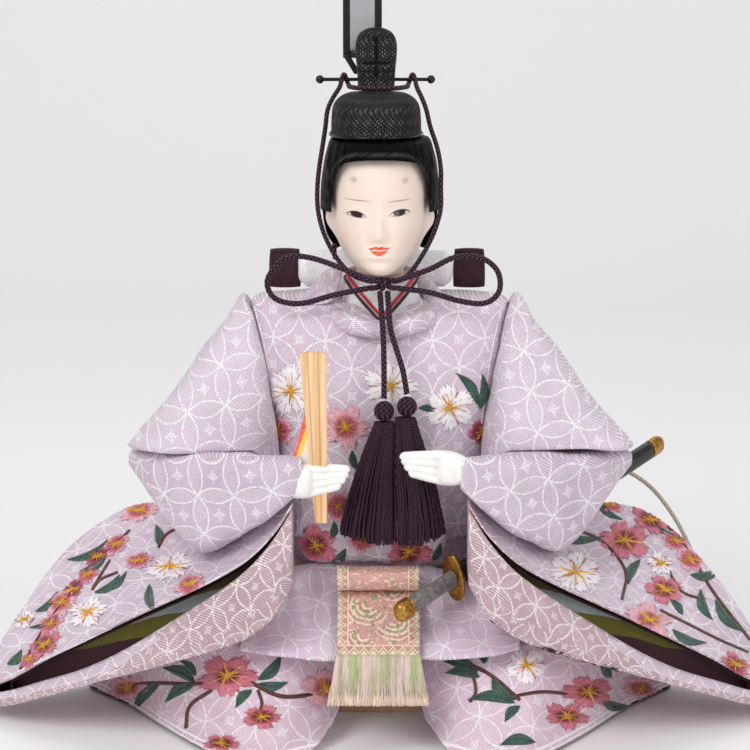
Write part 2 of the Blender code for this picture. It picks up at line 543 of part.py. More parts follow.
def swept_rings(points, radius, sides):
    """Rings square to a path, turned as little as possible from one to the next."""
    points = np.array(points, float)
    tangents = np.gradient(points, axis=0)
    tangents /= np.linalg.norm(tangents, axis=1)[:, None]
    side = np.cross(tangents[0], [0, 0, 1.0])
    if np.linalg.norm(side) < 0.1:
        side = np.cross(tangents[0], [0, 1.0, 0])
    rings = []
    for point, tangent in zip(points, tangents):
        side = side - tangent * side.dot(tangent)
        side /= np.linalg.norm(side)
        up = np.cross(tangent, side)
        turns = [2 * math.pi * k / sides for k in range(sides)]
        rings.append([point + radius * (side * math.cos(a) + up * math.sin(a)) for a in turns])
    return rings


def slab(name, outline, front, thick, look, origin=(0, 0, 0)):
    """An upright plate: an outline in x and z, given depth along y."""
    shape = bmesh.new()
    near = [shape.verts.new((x, front, z)) for x, z in outline]
    face = shape.faces.new(near)
    bmesh.ops.triangulate(shape, faces=[face])
    pushed = bmesh.ops.extrude_face_region(shape, geom=shape.faces[:])
    moved = [g for g in pushed["geom"] if isinstance(g, bmesh.types.BMVert)]
    bmesh.ops.translate(shape, verts=moved, vec=(0, thick, 0))
    bmesh.ops.recalc_face_normals(shape, faces=shape.faces)
    mesh = bpy.data.meshes.new(name)
    shape.to_mesh(mesh)
    shape.free()
    return place(name, mesh, look, origin)


def mix(a, b, share):
    return a + (b - a) * share


def inset(outline, depth):
    """A closed outline moved inward by depth, corner by corner."""
    points = np.array(outline, float)
    nxt, prv = np.roll(points, -1, 0), np.roll(points, 1, 0)
    area = (points[:, 0] * nxt[:, 1] - nxt[:, 0] * points[:, 1]).sum()
    along_in, along_out = points - prv, nxt - points
    along_in /= np.linalg.norm(along_in, axis=1)[:, None]
    along_out /= np.linalg.norm(along_out, axis=1)[:, None]
    left_in = np.stack([-along_in[:, 1], along_in[:, 0]], 1)
    left_out = np.stack([-along_out[:, 1], along_out[:, 0]], 1)
    middle = left_in + left_out
    middle /= np.maximum((middle * left_in).sum(1), 0.45)[:, None]
    return points + middle * depth * (1 if area > 0 else -1)


def base_board():
    rings = stacked(STRAIGHT_SHARES, 0, BOARD_THICK, BOARD_HALF, BOARD_FRONT, BOARD_BACK, 24, 5.0)
    return place("base_board", lofted("base_board", rings), WOOD)


def torso_core():
    foot = BOARD_THICK + GAP
    rings = stacked(CORE_SHARES, foot, CORE_TOP, CORE_HALF, CORE_FRONT, CORE_BACK, 14, 2.4)
    return place("torso_core", lofted("torso_core", rings), STRAW)


def neck_peg():
    rings = []
    for height, share in PEG_SHARES:
        z, r = mix(PEG_BOTTOM, PEG_TOP, height), PEG_RADIUS * share
        rings.append([(x, NECK_Y + y, z) for x, y in oval(PEG_SIDES, r, r, r)])
    return place("neck_peg", lofted("neck_peg", rings), WOOD, (0, NECK_Y, PEG_BOTTOM))


def wire_route():
    left = [(-x, y, z) for x, y, z in WIRE_ROUTE_RIGHT]
    left[0] = WIRE_LEFT_WRIST
    return smooth_route(WIRE_ROUTE_RIGHT + left[::-1], WIRE_STEP)


def arm_wire():
    mesh = lofted("arm_wire", swept_rings(wire_route(), WIRE_RADIUS, WIRE_SIDES))
    return place("arm_wire", mesh, WIRE)


def robe_body():
    rings = stacked(BODY_SHARES, BODY_BOTTOM, BODY_TOP, BODY_HALF, BODY_FRONT, BODY_BACK, 20, 2.7)
    return place("robe_body", lofted("robe_body", rings), DAMASK)


def waist_belt():
    foot = BELT_TOP - BELT_HEIGHT
    rings = stacked(STRAIGHT_SHARES, foot, BELT_TOP, BELT_HALF, BELT_FRONT, BELT_BACK, 24, 2.6)
    return place("waist_belt", lofted("waist_belt", rings), MAROON)


def waist_fold():
    """A pouch that hangs over the belt, thin at the top and full at the bottom."""
    rings = []
    for share in (0.0, 0.06, 0.2, 0.4, 0.6, 0.8, 0.94, 1.0):
        x = mix(-FOLD_RIGHT, FOLD_LEFT, share)
        middle = (x - (FOLD_LEFT - FOLD_RIGHT) / 2) / ((FOLD_LEFT + FOLD_RIGHT) / 2)
        full = math.sqrt(max(0.12, 1 - abs(middle) ** 3))
        front = -BODY_FRONT * (1 - 0.06 * middle**2)
        ring = []
        for across, up in oval(12, 0.5, 0.5, 0.5, 2.5):
            thick = FOLD_DEPTH * full * (1.0 - 0.45 * (up + 0.5))
            high = (FOLD_TOP - FOLD_BOTTOM) * (0.75 + 0.25 * full)
            y = mix(front + FOLD_TUCK, front - thick, across + 0.5)
            ring.append((x, y, FOLD_TOP - high * (0.5 - up)))
        rings.append(ring)
    return place("robe_waist_fold", lofted("robe_waist_fold", rings), DAMASK)


def bag_outline(row, depth):
    """The bag's outline in y and z at one station: nine corners, three of them rounded."""
    _, lip, low, mouth, hem_front, hem, ridge_back, ridge, back_hem = row
    lip_y, low_z = -lip * SLEEVE_FRONT, low * SLEEVE_RISE
    up_z = low_z + mouth * SLEEVE_RISE
    hem_y, hem_z = -hem_front * SLEEVE_FRONT, hem * SLEEVE_RISE
    back_y, ridge_z, back_z = ridge_back * SLEEVE_BACK, ridge * SLEEVE_RISE, back_hem * SLEEVE_RISE
    corners = [
        (lip_y, low_z),
        (mix(lip_y, hem_y, 0.55) - SLEEVE_BULGE, mix(low_z, hem_z, 0.5)),
        (hem_y, hem_z),
        (mix(hem_y, back_y, 0.5), mix(hem_z, back_z, 0.5)),
        (back_y, back_z),
        (back_y, ridge_z),
        (mix(back_y, lip_y, 0.36), mix(ridge_z, up_z, 0.36) - SLEEVE_SAG * 0.7),
        (mix(back_y, lip_y, 0.72), mix(ridge_z, up_z, 0.72) - SLEEVE_SAG),
        (lip_y, up_z),
    ]
    corners = inset(corners, depth)
    outline = []
    for k, corner in enumerate(corners):
        if k in (2, 4, 5):
            outline += [mix(corner, corners[k - 1], 0.2), mix(corner, corners[k + 1], 0.1)]
        else:
            outline.append(corner)
    return np.array(outline)


def bag_rings(side, rows, depth=0.0, recess=0.0):
    rings = []
    for row in rows:
        outline = bag_outline(row, depth)
        if recess:
            outline[:, 0] = np.maximum(outline[:, 0], -row[1] * SLEEVE_FRONT + recess)
        rings.append([(side * row[0] * SPAN, y, z) for y, z in outline])
    return rings


def mouth_cutter(name, side):
    """The long mouth between the lips, from beyond the wrist to near the outer corner."""
    rings = []
    for row in BAG_SHARES[MOUTH_ROWS]:
        x, lip_y, foot = row[0] * SPAN, -row[1] * SLEEVE_FRONT, row[2] * SLEEVE_RISE
        low_z = foot + row[3] * SLEEVE_RISE * LIP_EDGE
        up_z = foot + row[3] * SLEEVE_RISE * (1 - LIP_EDGE)
        near, far = lip_y - OVERRUN, lip_y + LIP_REACH
        ring = [(near, low_z), (far, low_z), (far, up_z), (near, up_z)]
        rings.append([(side * x, y, z) for y, z in ring])
    rings[0] = [(x - side * OVERRUN, y, z) for x, y, z in rings[0]]
    return guide(place(name, lofted(name, rings), None))


def sleeve_bag(word, side):
    bag = place("sleeve_bag_" + word, lofted("sleeve_bag_" + word, bag_rings(side, BAG_SHARES)), MAUVE)
    hollow = bag_rings(side, BAG_SHARES[CAVITY_ROWS], SLEEVE_WALL)
    cavity = guide(place("hollow." + word, lofted("hollow." + word, hollow), None))
    mouth = mouth_cutter("mouth." + word, side)
    return bag, cavity, mouth


def trimmed(rings, gap):
    """The same run of rings with each end ring moved gap along towards the next."""
    rings = np.array(rings)
    ends = [(0, 1), (-1, -2)]
    moved = [mix(rings[a], rings[b], gap / abs(rings[b][0][0] - rings[a][0][0])) for a, b in ends]
    rings[0], rings[-1] = moved
    return rings


def sleeve_lining(word, side, mouth):
    rows = BAG_SHARES[CAVITY_ROWS]
    outer = bag_rings(side, rows, SLEEVE_WALL + GAP)
    inner = bag_rings(side, rows, SLEEVE_WALL + GAP + LINING_WALL)
    outer = trimmed(outer, GAP)
    lining = place("sleeve_lining_" + word, lofted("sleeve_lining_" + word, outer), MAROON)
    inside = guide(place("inside." + word, lofted("inside." + word, inner), None))
    cut(lining, inside, mouth)
    return lining


def inner_layers(word, side):
    """The inner robes' sleeves, folded together inside the outer one."""
    rows = BAG_SHARES[LAYER_ROWS]
    depth = SLEEVE_WALL + LINING_WALL + 2 * GAP
    rings = bag_rings(side, rows, depth, LAYER_RECESS)
    return place("inner_layers_" + word, lofted("inner_layers_" + word, rings), OLIVE)


def forearm_sleeve(word, side):
    rings = []
    for reach, front, back, bottom, top in ARM_SHARES:
        y0, y1 = -front * ARM_FRONT, back * ARM_BACK
        z0, z1 = bottom * ARM_TOP, top * ARM_TOP
        ring = []
        for across, up in oval(12, 0.5, 0.5, 0.5, 3.0):
            y, z = mix(y0, y1, across + 0.5), mix(z0, z1, up + 0.5)
            ring.append((side * reach * ARM_REACH, y, z - ARM_SLOPE * (y + ARM_PIVOT)))
        rings.append(ring)
    return place("sleeve_lower_" + word, lofted("sleeve_lower_" + word, rings), DAMASK)


def upper_sleeve(word, side):
    rings = []
    for height, inner, outer, front, back in UPPER_SHARES:
        x0, x1 = inner * UPPER_REACH, outer * UPPER_REACH
        z = mix(UPPER_BOTTOM, UPPER_TOP, height)
        ring = []
        for across, deep in oval(12, 0.5, front * UPPER_FRONT, back * UPPER_BACK, 2.6):
            x = mix(x0, x1, across + 0.5)
            ring.append((side * x, deep, z - ARM_SLOPE * (deep + ARM_PIVOT) * (1 - height) ** 2))
        rings.append(ring)
    return place("sleeve_upper_" + word, lofted("sleeve_upper_" + word, rings), DAMASK)


def hand(word, side, at):
    """Four fingers held together, with grooves between them on both faces."""
    rings = []
    for along, rise, high, thick in HAND_SHARES:
        x = at[0] - side * along * HAND_LENGTH
        ring = []
        for deep, up in oval(20, 1.0, 1.0, 1.0, 2.4):
            groove = FINGER_GROOVE * math.cos(up * math.pi * 4) * min(1, max(0, along * 2 - 0.6))
            face = math.copysign(max(0, abs(deep) * thick * HAND_THICK - max(0, groove)), deep)
            ring.append((x, at[1] + face, at[2] + (rise + high * up) * HAND_HEIGHT))
        rings.append(ring)
    return place("hand_" + word, lofted("hand_" + word, rings), WHITE)


def shaku():
    right = -SHAKU_EDGE
    top_left, bottom_left = right - SHAKU_TOP_WIDTH, right - SHAKU_BOTTOM_WIDTH
    crown = []
    for share in (0, 0.25, 0.5, 0.75, 1):
        lift = SHAKU_CROWN * (1 - (2 * share - 1) ** 2)
        crown.append((mix(right, top_left, share), SHAKU_TOP + lift))
    outline = [(right, SHAKU_BOTTOM)] + crown + [(bottom_left, SHAKU_BOTTOM)]
    origin = (right, -SHAKU_FRONT, SHAKU_BOTTOM)
    return slab("shaku", outline, -SHAKU_FRONT, SHAKU_THICK, WOOD, origin)


def folded_paper():
    foot = PAPER_TOP - PAPER_HEIGHT
    outline = [(-PAPER_EDGE - PAPER_WIDTH * x, foot + PAPER_HEIGHT * z) for x, z in PAPER_SHARES]
    front = -SHAKU_FRONT + SHAKU_THICK + GAP
    return slab("folded_paper", outline, front, PAPER_THICK, PAPER)


def head():
    rings = stacked(HEAD_SHARES, HEAD_BASE, HEAD_TOP, HEAD_HALF, HEAD_FRONT, HEAD_BACK, 24, 2.0)
    nose_z, ear_z = mix(HEAD_BASE, HEAD_TOP, NOSE_AT), mix(HEAD_BASE, HEAD_TOP, EAR_AT)
    shaped = []
    for ring in rings:
        new = []
        for x, y, z in ring:
            nose = math.exp(-((x / NOSE_WIDE) ** 2) - ((z - nose_z) / NOSE_HIGH) ** 2) if y < 0 else 0
            ear = math.exp(-(((y - EAR_Y) / EAR_DEEP) ** 2) - ((z - ear_z) / EAR_HIGH) ** 2)
            ear *= abs(x) > HEAD_HALF / 2
            new.append((x + math.copysign(EAR_OUT * ear, x), y - NOSE_OUT * nose, z))
        shaped.append(new)
    return place("head", lofted("head", shaped), SKIN, (0, NECK_Y, HEAD_BASE))


def hair():
    rings = stacked(HAIR_SHARES, HAIR_BASE, HAIR_TOP, HAIR_HALF, HAIR_FRONT, HAIR_BACK, 18, HAIR_POWER)
    return place("hair", lofted("hair", rings), HAIR, (0, NECK_Y, HAIR_BASE))


def face_window():
    """The arch under the hairline, cut back to the sideburns, and the space in front of and round the ears."""
    foot = HAIR_BASE - OVERRUN
    side = [(HAIRLINE_HALF * across, HAIRLINE_TOP - HAIRLINE_CURVE * down) for across, down in ARCH_SHARES]
    side = [(HAIRLINE_HALF, foot)] + side
    arch = side + [(0, HAIRLINE_TOP)] + [(-x, z) for x, z in side[::-1]]
    near = -HAIR_FRONT - OVERRUN
    return guide(slab("face_window", arch, near, HAIR_SIDE_Y - near, None))


def ear_window():
    wide = HAIR_HALF + OVERRUN
    foot = HAIR_BASE - OVERRUN
    near = -HAIR_FRONT - OVERRUN
    outline = [(wide, foot), (wide, SIDEBURN_Z), (-wide, SIDEBURN_Z), (-wide, foot)]
    return guide(slab("ear_window", outline, near, SIDEBURN_Y - near, None))


def hat_cap():
    rings = stacked(CAP_SHARES, CAP_BASE, CAP_TOP, CAP_HALF, CAP_FRONT, CAP_BACK, 18, 2.3, HAT_X)
    return place("hat_cap", lofted("hat_cap", rings), LACQUER, (0, NECK_Y, CAP_BASE))


def hat_crown():
    rings = stacked(
        CROWN_SHARES, CROWN_BASE, CROWN_TOP, CROWN_HALF, CROWN_DEPTH, CROWN_DEPTH, 20, 3.2, HAT_X, CROWN_Y
    )
    return place("hat_crown", lofted("hat_crown", rings), LACQUER, (0, NECK_Y, CROWN_BASE))


def hat_pin():
    stations = [(-PIN_RIGHT + PIN_KNOB * along, PIN_KNOB * share) for along, share in KNOB_SHARES]
    stations += [(-PIN_RIGHT + PIN_KNOB, PIN_RADIUS), (PIN_LEFT - PIN_KNOB, PIN_RADIUS)]
    stations += [(PIN_LEFT - PIN_KNOB * along, PIN_KNOB * share) for along, share in KNOB_SHARES[::-1]]
    rings = [[(x, CROWN_Y + a, PIN_Z + b) for a, b in oval(PIN_SIDES, r, r, r)] for x, r in stations]
    return place("hat_pin", lofted("hat_pin", rings), LACQUER, (0, NECK_Y, PIN_Z))


def tail_y(z):
    """The tail stands upright at its foot and leans back a little towards its top."""
    return TAIL_Y + TAIL_LEAN * max(0, (z - TAIL_BASE) / (TAIL_TOP - TAIL_BASE)) ** 2


def strip_rings(levels, thick):
    rings = []
    for z, x0, x1 in levels:
        y = tail_y(z)
        rings.append([(x0, y, z), (x1, y, z), (x1, y + thick, z), (x0, y + thick, z)])
    return rings


def tail_levels(margin):
    span = [mix(TAIL_BASE + margin, TAIL_TOP - margin, k / TAIL_STEPS) for k in range(TAIL_STEPS + 1)]
    return [(z, TAIL_RIGHT + margin, TAIL_LEFT - margin) for z in span]


def tail_frame():
    foot = [(TENON_FOOT, TENON_RIGHT, TENON_LEFT), (TENON_TOP, TENON_RIGHT, TENON_LEFT)]
    rings = strip_rings(foot + tail_levels(0), TAIL_THICK)
    origin = (mix(TENON_LEFT, TENON_RIGHT, 0.5), TAIL_Y, TENON_FOOT)
    frame = place("tail_frame", lofted("tail_frame", rings), LACQUER, origin)
    hole = strip_rings(tail_levels(TAIL_BORDER), TAIL_THICK + 2 * OVERRUN)
    hole = [[(x, y - OVERRUN, z) for x, y, z in ring] for ring in hole]
    cut(frame, guide(place("tail_hole", lofted("tail_hole", hole), None)))
    return frame


def tenon_room():
    """The pocket in the back of the crown, open at the top."""
    levels = [(TENON_FOOT, TENON_RIGHT, TENON_LEFT), (TAIL_BASE, TENON_RIGHT, TENON_LEFT)]
    rings = strip_rings(levels, TAIL_THICK)
    tenon = guide(place("tenon", lofted("tenon", rings), None))
    return grown(tenon, GAP)


def tail_gauze():
    rings = strip_rings(tail_levels(TAIL_BORDER + GAP), GAUZE_THICK)
    rings = [[(x, y + (TAIL_THICK - GAUZE_THICK) / 2, z) for x, y, z in ring] for ring in rings]
    origin = (mix(TENON_LEFT, TENON_RIGHT, 0.5), TAIL_Y, TENON_FOOT)
    return place("tail_gauze", lofted("tail_gauze", rings), GAUZE, origin)


def pin_turn(ends):
    """Three quarters of a turn round the pin: up its front, over and back underneath."""
    radius = PIN_RADIUS + GAP + CHIN_CORD_RADIUS
    points = []
    for k in range(PIN_TURN_STEPS + 1):
        share = k / PIN_TURN_STEPS
        angle = math.pi * (1 - 1.5 * share)
        y, z = CROWN_Y + radius * math.cos(angle), PIN_Z + radius * math.sin(angle)
        points.append((mix(*ends, share), y, z))
    return points


def chin_cord():
    """One cord: up a cheek, round the pin, over the front of the cap, round the pin and down the other cheek."""
    origin = (0, NECK_Y, HEAD_BASE)
    span = (CORD_STEP, HEAD_BASE, PIN_Z - HEAD_BASE)
    path = list(smooth_route(CHIN_ROUTE_RIGHT[::-1], *span)) + pin_turn(PIN_TURN_RIGHT)
    path += list(smooth_route(WRAP_ROUTE, *span)) + pin_turn(PIN_TURN_LEFT)[::-1]
    path += list(smooth_route(CHIN_ROUTE_LEFT, *span))
    return tube("chin_cord", path, CHIN_CORD_RADIUS, CORD_LOOK, origin)


def bow():
    origin = (0, NECK_Y, HEAD_BASE)
    rings = []
    for k in range(7):
        angle = math.pi * (k + 0.5) / 7
        round_off = math.sqrt(math.sin(angle))
        ring = oval(10, KNOT_DEPTH * round_off, *[KNOT_HEIGHT * round_off] * 2)
        x = KNOT_AT[0] - KNOT_HALF * math.cos(angle)
        rings.append([(x, KNOT_AT[1] + a, KNOT_AT[2] + b) for a, b in ring])
    place("bow_knot", lofted("bow_knot", rings), CORD_LOOK, origin)
    tube("bow_loop_right", smooth_route(LOOP_ROUTE_RIGHT, CORD_STEP, HEAD_BASE), CORD_RADIUS, CORD_LOOK, origin)
    tube("bow_loop_left", smooth_route(LOOP_ROUTE_LEFT, CORD_STEP, HEAD_BASE), CORD_RADIUS, CORD_LOOK, origin)
    tube("cord_end", smooth_route(CORD_END_ROUTE, CORD_STEP, HEAD_BASE), CORD_END_RADIUS, CORD_LOOK, origin)


def fringe_ring(ball, side, down, reach, depth):
    """One level of a tassel: a half oval whose flat side faces the other tassel."""
    top = ball[2] - BALL_RADIUS - GAP
    z = mix(top, FRINGE_BOTTOM, down)
    y = ball[1] - FRINGE_DRIFT * down
    split = SPLIT_X + side * GAP + SPLIT_SLOPE * (top - z)
    outer = ball[0] + side * FRINGE_REACH * reach
    ring = []
    for a, b in oval(14, 1.0, 1.0, 1.0, 2.3):
        x = mix(split, outer, (a * side + 1) / 2)
        ring.append((x, y + FRINGE_DEPTH * depth * b, z))
    return ring


def tassel(word, side, ball, route):
    """A cord drop, its ball knot and its fringe, turning about the bow knot."""
    origin = KNOT_AT
    tube("drop_cord_" + word, smooth_route(route, CORD_STEP, HEAD_BASE), CORD_RADIUS, CORD_LOOK, origin)
    rings = []
    for k in range(7):
        angle = math.pi * (k + 0.35) / 6.7
        r = BALL_RADIUS * math.sin(angle)
        z = ball[2] + BALL_RADIUS * math.cos(angle)
        rings.append([(ball[0] + a, ball[1] + b, z) for a, b in oval(10, r, r, r)])
    place("tassel_knot_" + word, lofted("tassel_knot_" + word, rings), CORD_LOOK, origin)
    skirt = [fringe_ring(ball, side, *row) for row in FRINGE_SHARES]
    place("tassel_fringe_" + word, lofted("tassel_fringe_" + word, skirt), CORD_LOOK, origin)


def ring_path():
    path = []
    for k in range(RING_STEPS):
        s, c = math.sin(2 * math.pi * k / RING_STEPS), math.cos(2 * math.pi * k / RING_STEPS)
        path.append((RING_X + RING_HALF * s, RING_Y - RING_DEPTH * c, RING_Z - RING_TILT * c))
    return path


def ring_mesh(name, path, radius, sides):
    """A closed padded ring along a path that ends where it began."""
    path = np.array(path)
    ahead = np.roll(path, -1, 0) - np.roll(path, 1, 0)
    ahead /= np.linalg.norm(ahead, axis=1)[:, None]
    out = np.cross(ahead, [0, 0, 1.0])
    out /= np.linalg.norm(out, axis=1)[:, None]
    up = np.cross(out, ahead)
    points, faces = [], []
    for p, o, u in zip(path, out, up):
        for k in range(sides):
            a = 2 * math.pi * k / sides
            points.append(p + radius * (o * math.cos(a) + u * math.sin(a)))
    count = len(path)
    for i in range(count):
        for j in range(sides):
            k, n = (j + 1) % sides, (i + 1) % count
            faces.append((i * sides + j, i * sides + k, n * sides + k, n * sides + j))
    return closed_mesh(name, points, faces)


def round_collar():
    return place("round_collar", ring_mesh("round_collar", ring_path(), RING_RADIUS, RING_SIDES), DAMASK)


def funnel_point(angle, share, out=0.0, below=0.0):
    """A point on the under-collar: angle 0 is the front, share 0 the foot and 1 the edge, a V at the front."""
    forward = 1 - abs(math.sin(angle)) if math.cos(angle) > 0 else 0
    edge = mix(FUNNEL_HIGH, FUNNEL_V, forward)
    low = FUNNEL_LOW - RING_TILT * math.cos(angle)
    share -= below / (edge - low)
    half = mix(FUNNEL_HALF, FUNNEL_NECK, share) + out
    deep = FUNNEL_FRONT if math.cos(angle) > 0 else FUNNEL_BACK
    deep += out - (FUNNEL_HALF - FUNNEL_NECK) * share * 0.3
    x = RING_X / 2 + half * math.sin(angle)
    return (x, FUNNEL_Y - deep * math.cos(angle), mix(low, edge, share))


def under_collar_white():
    turns = [2 * math.pi * k / FUNNEL_STEPS for k in range(FUNNEL_STEPS)]
    rings = [[funnel_point(a, share) for a in turns] for share in (0.0, 0.5, 1.0)]
    wrap = []
    for a in turns:
        deep = WRAP_FRONT if math.cos(a) > 0 else WRAP_BACK
        wrap.append((RING_X / 2 + WRAP_HALF * math.sin(a), FUNNEL_Y - deep * math.cos(a), WRAP_TOP))
    rings.append(wrap)
    return place("under_collar_white", lofted("under_collar_white", rings), WHITE)


def collar_edge(name, count, look):
    """A narrow band that follows the neck edge and meets in a V at the front."""
    turns = [2 * math.pi * k / FUNNEL_STEPS for k in range(FUNNEL_STEPS)]
    out = EDGE_RADIUS + GAP
    below = EDGE_RADIUS + count * (EDGE_RADIUS * 2 + GAP) * EDGE_SPREAD
    path = [funnel_point(a, 1.0, out, below) for a in turns]
    return place(name, ring_mesh(name, path, EDGE_RADIUS, EDGE_SIDES), look)


def back_collar_roll():
    rings = []
    for along, share in ROLL_SHARES:
        x = mix(ROLL_RIGHT, ROLL_LEFT, along)
        r = ROLL_RADIUS * share
        rings.append([(x, ROLL_Y + a, ROLL_Z + b) for a, b in oval(14, r, r, r, 2.3)])
    return place("back_collar_roll", lofted("back_collar_roll", rings), WHITE)


def collar_tab(word, x):
    rings = []
    for height, wide, thick in TAB_SHARES:
        ring = oval(12, TAB_WIDTH / 2 * wide, TAB_THICK / 2 * thick, TAB_THICK / 2 * thick, 4.0)
        rings.append([(x + a, TAB_Y + b, TAB_BOTTOM + TAB_HEIGHT * height) for a, b in ring])
    return place("collar_tab_" + word, lofted("collar_tab_" + word, rings), MAROON)


def collar_flap():
    outline = [(FLAP_X + FLAP_WIDE * x, FLAP_Z + FLAP_HIGH * z) for x, z in FLAP_SHARES]
    return slab("collar_flap", outline, -FLAP_FRONT, FLAP_THICK, DAMASK)


def sash():
    middle, half = (SASH_LEFT + SASH_RIGHT) / 2, (SASH_LEFT - SASH_RIGHT) / 2
    rings = []
    for along, share in ((-1.0, 0.86), (-0.96, 1.0), (0.96, 1.0), (1.0, 0.86)):
        ring = oval(14, ROLLED_DEPTH / 2 * share, ROLLED_HEIGHT / 2 * share, ROLLED_HEIGHT / 2 * share, 2.6)
        z = ROLLED_TOP - ROLLED_HEIGHT / 2
        rings.append([(middle + half * along, ROLLED_Y + a, z + b) for a, b in ring])
    roll = place("sash_roll", lofted("sash_roll", rings), BROCADE)
    place("sash_panel", lofted("sash_panel", panel_rings(middle, half)), BROCADE)
    place("sash_fringe", lofted("sash_fringe", foot_rings(middle, half)), FRINGE)
    return roll


def panel_rings(middle, half):
    rings = []
    for share in (0.0, 0.35, 0.7, 1.0):
        z = mix(PANEL_TOP, PANEL_BOTTOM, share)
        y = mix(PANEL_TOP_Y, PANEL_BOTTOM_Y, share)
        rings.append(flat_ring(middle, half, y, z, PANEL_THICK))
    return rings


def foot_rings(middle, half):
    rings = []
    top = PANEL_BOTTOM - GAP
    for share in (0.0, 0.3, 0.7, 1.0):
        z = mix(top, FRINGE_FOOT, share)
        y = mix(PANEL_BOTTOM_Y, FRINGE_FOOT_Y, math.sqrt(share))
        rings.append(flat_ring(middle, half + FRINGE_FLARE * share, y, z, FRINGE_THICK))
    return rings


def flat_ring(middle, half, y, z, thick):
    """A thin level section, in four points a side so that it can follow a curve."""
    across = [mix(-half, half, k / 3) for k in range(4)]
    near = [(middle + x, y - thick / 2, z) for x in across]
    far = [(middle + x, y + thick / 2, z) for x in across[::-1]]
    return near + far


def robe_lap():
    rings = []
    for across, rise, push in LAP_SHARES:
        low, top = LAP_BOTTOM - LAP_DIP * (1 - abs(across)), mix(LAP_BOTTOM, LAP_TOP, rise)
        ring = []
        for ahead, up in LAP_FACE_SHARES:
            y = -mix(LAP_BACK, LAP_FRONT * push, ahead)
            ring.append((across * LAP_HALF, y, mix(low, top, up)))
        rings.append(ring)
    return place("robe_lap", lofted("robe_lap", rings, True), DAMASK)


def knee(word, side):
    rings = []
    for number, (reach, front, top, foot) in enumerate(KNEE_SHARES):
        x = reach * KNEE_REACH
        near, far = -front * KNEE_FRONT, KNEE_BACK
        low, high = KNEE_LIFT + foot * KNEE_TOP, top * KNEE_TOP
        fold = KNEE_FOLD * math.sin((number - 1) * math.pi * KNEE_FOLDS / 4)
        ring = []
        for deep, up in KNEE_FACE_SHARES:
            bulge = fold * math.sin(math.pi * min(1, up)) * (deep < 0.3)
            ring.append((side * x, mix(near, far, deep) - bulge, mix(low, high, up)))
        rings.append(ring)
    return place("knee_" + word, lofted("knee_" + word, rings), DAMASK)


def robe_back_skirt():
    rings = []
    for across, low in SKIRT_SIDE_SHARES:
        wave = SKIRT_FOLD * math.cos(across * math.pi * SKIRT_FOLDS / 2)
        ring = []
        for deep, up in SKIRT_FACE_SHARES:
            y = mix(SKIRT_INNER, SKIRT_OUTER + wave, deep * (0.45 + 0.55 * low))
            ring.append((across * SKIRT_HALF, y, mix(KNEE_LIFT, SKIRT_TOP * low, up)))
        rings.append(ring)
    return place("robe_back_skirt", lofted("robe_back_skirt", rings), DAMASK)


def sword_axes():
    pommel, tip = Vector(SWORD_POMMEL), Vector(SWORD_TIP)
    ahead = (tip - pommel).normalized()
    flat = ahead.cross(Vector((0, 0, 1))).normalized()
    return pommel, ahead, flat, flat.cross(ahead).normalized(), (tip - pommel).length


def sword_piece(name, stations, look, grow=0.0, half_thin=SWORD_HALF_THIN, half_wide=SWORD_HALF_WIDE):
    """A stretch of the sword; stations give the distance along it and the share of its full width."""
    pommel, ahead, flat, up, _ = sword_axes()
    rings = []
    for along, share in stations:
        thin, wide = half_thin * share + grow, half_wide * share + grow
        ring = oval(SWORD_SIDES, thin, wide, wide, 2.4)
        rings.append([pommel + ahead * along + flat * a + up * b for a, b in ring])
    return place(name, lofted(name, rings), look, SWORD_POMMEL)


def sword():
    length = sword_axes()[4]
    grip_end = POMMEL_LENGTH + GAP + GRIP_LENGTH
    guard_end = grip_end + GAP + GUARD_THICK
    tip_from = length - CAP_LENGTH
    pommel = [(0, 0.62), (POMMEL_LENGTH * 0.22, 1.0), (POMMEL_LENGTH * 0.8, 1.05), (POMMEL_LENGTH, 0.92)]
    sword_piece("sword_pommel", pommel, GOLD)
    grip = [(POMMEL_LENGTH + GAP, 0.86), (mix(POMMEL_LENGTH, grip_end, 0.5), 0.82), (grip_end, 0.88)]
    sword_piece("sword_grip", grip, GRIP)
    guard = [(grip_end + GAP, 1.0), (guard_end, 1.0)]
    guard_piece = sword_piece("sword_guard", guard, GOLD, 0, GUARD_THIN, GUARD_TALL)
    sheath = [(guard_end + GAP, 1.0), (mix(guard_end, tip_from, 0.5), 0.98), (tip_from - GAP, 0.92)]
    sword_piece("sword_scabbard", sheath, LACQUER)
    cap = [(tip_from, 1.0), (length - CAP_LENGTH * 0.35, 1.0), (length, 0.6)]
    sword_piece("scabbard_tip", cap, GOLD)
    room = sword_piece("sword_room", [(guard_end - GAP, 1.0), (length + OVERRUN, 1.0)], None, SWORD_PLAY)
    return guide(room), grown(guard_piece, GAP)


def back_cord():
    return tube("back_cord", smooth_route(BACK_CORD_ROUTE, CORD_STEP), BACK_CORD_RADIUS, CREAM)


def core_and_head():
    board, core, peg, wire = base_board(), torso_core(), neck_peg(), arm_wire()
    wire_room = grown(wire, WIRE_PLAY)
    peg_room = grown(peg, GAP)
    cut(core, wire_room, peg_room)
    face, hair_piece, cap, crown, pin = head(), hair(), hat_cap(), hat_crown(), hat_pin()
    head_room = grown(face, GAP)
    cut(face, peg_room)
    cut(cap, grown(hair_piece, GAP))
    cut(crown, grown(cap, GAP), grown(pin, GAP), tenon_room())
    cut(hair_piece, head_room, face_window(), ear_window())
    tail_frame()
    tail_gauze()
    return board, core, wire_room, head_room


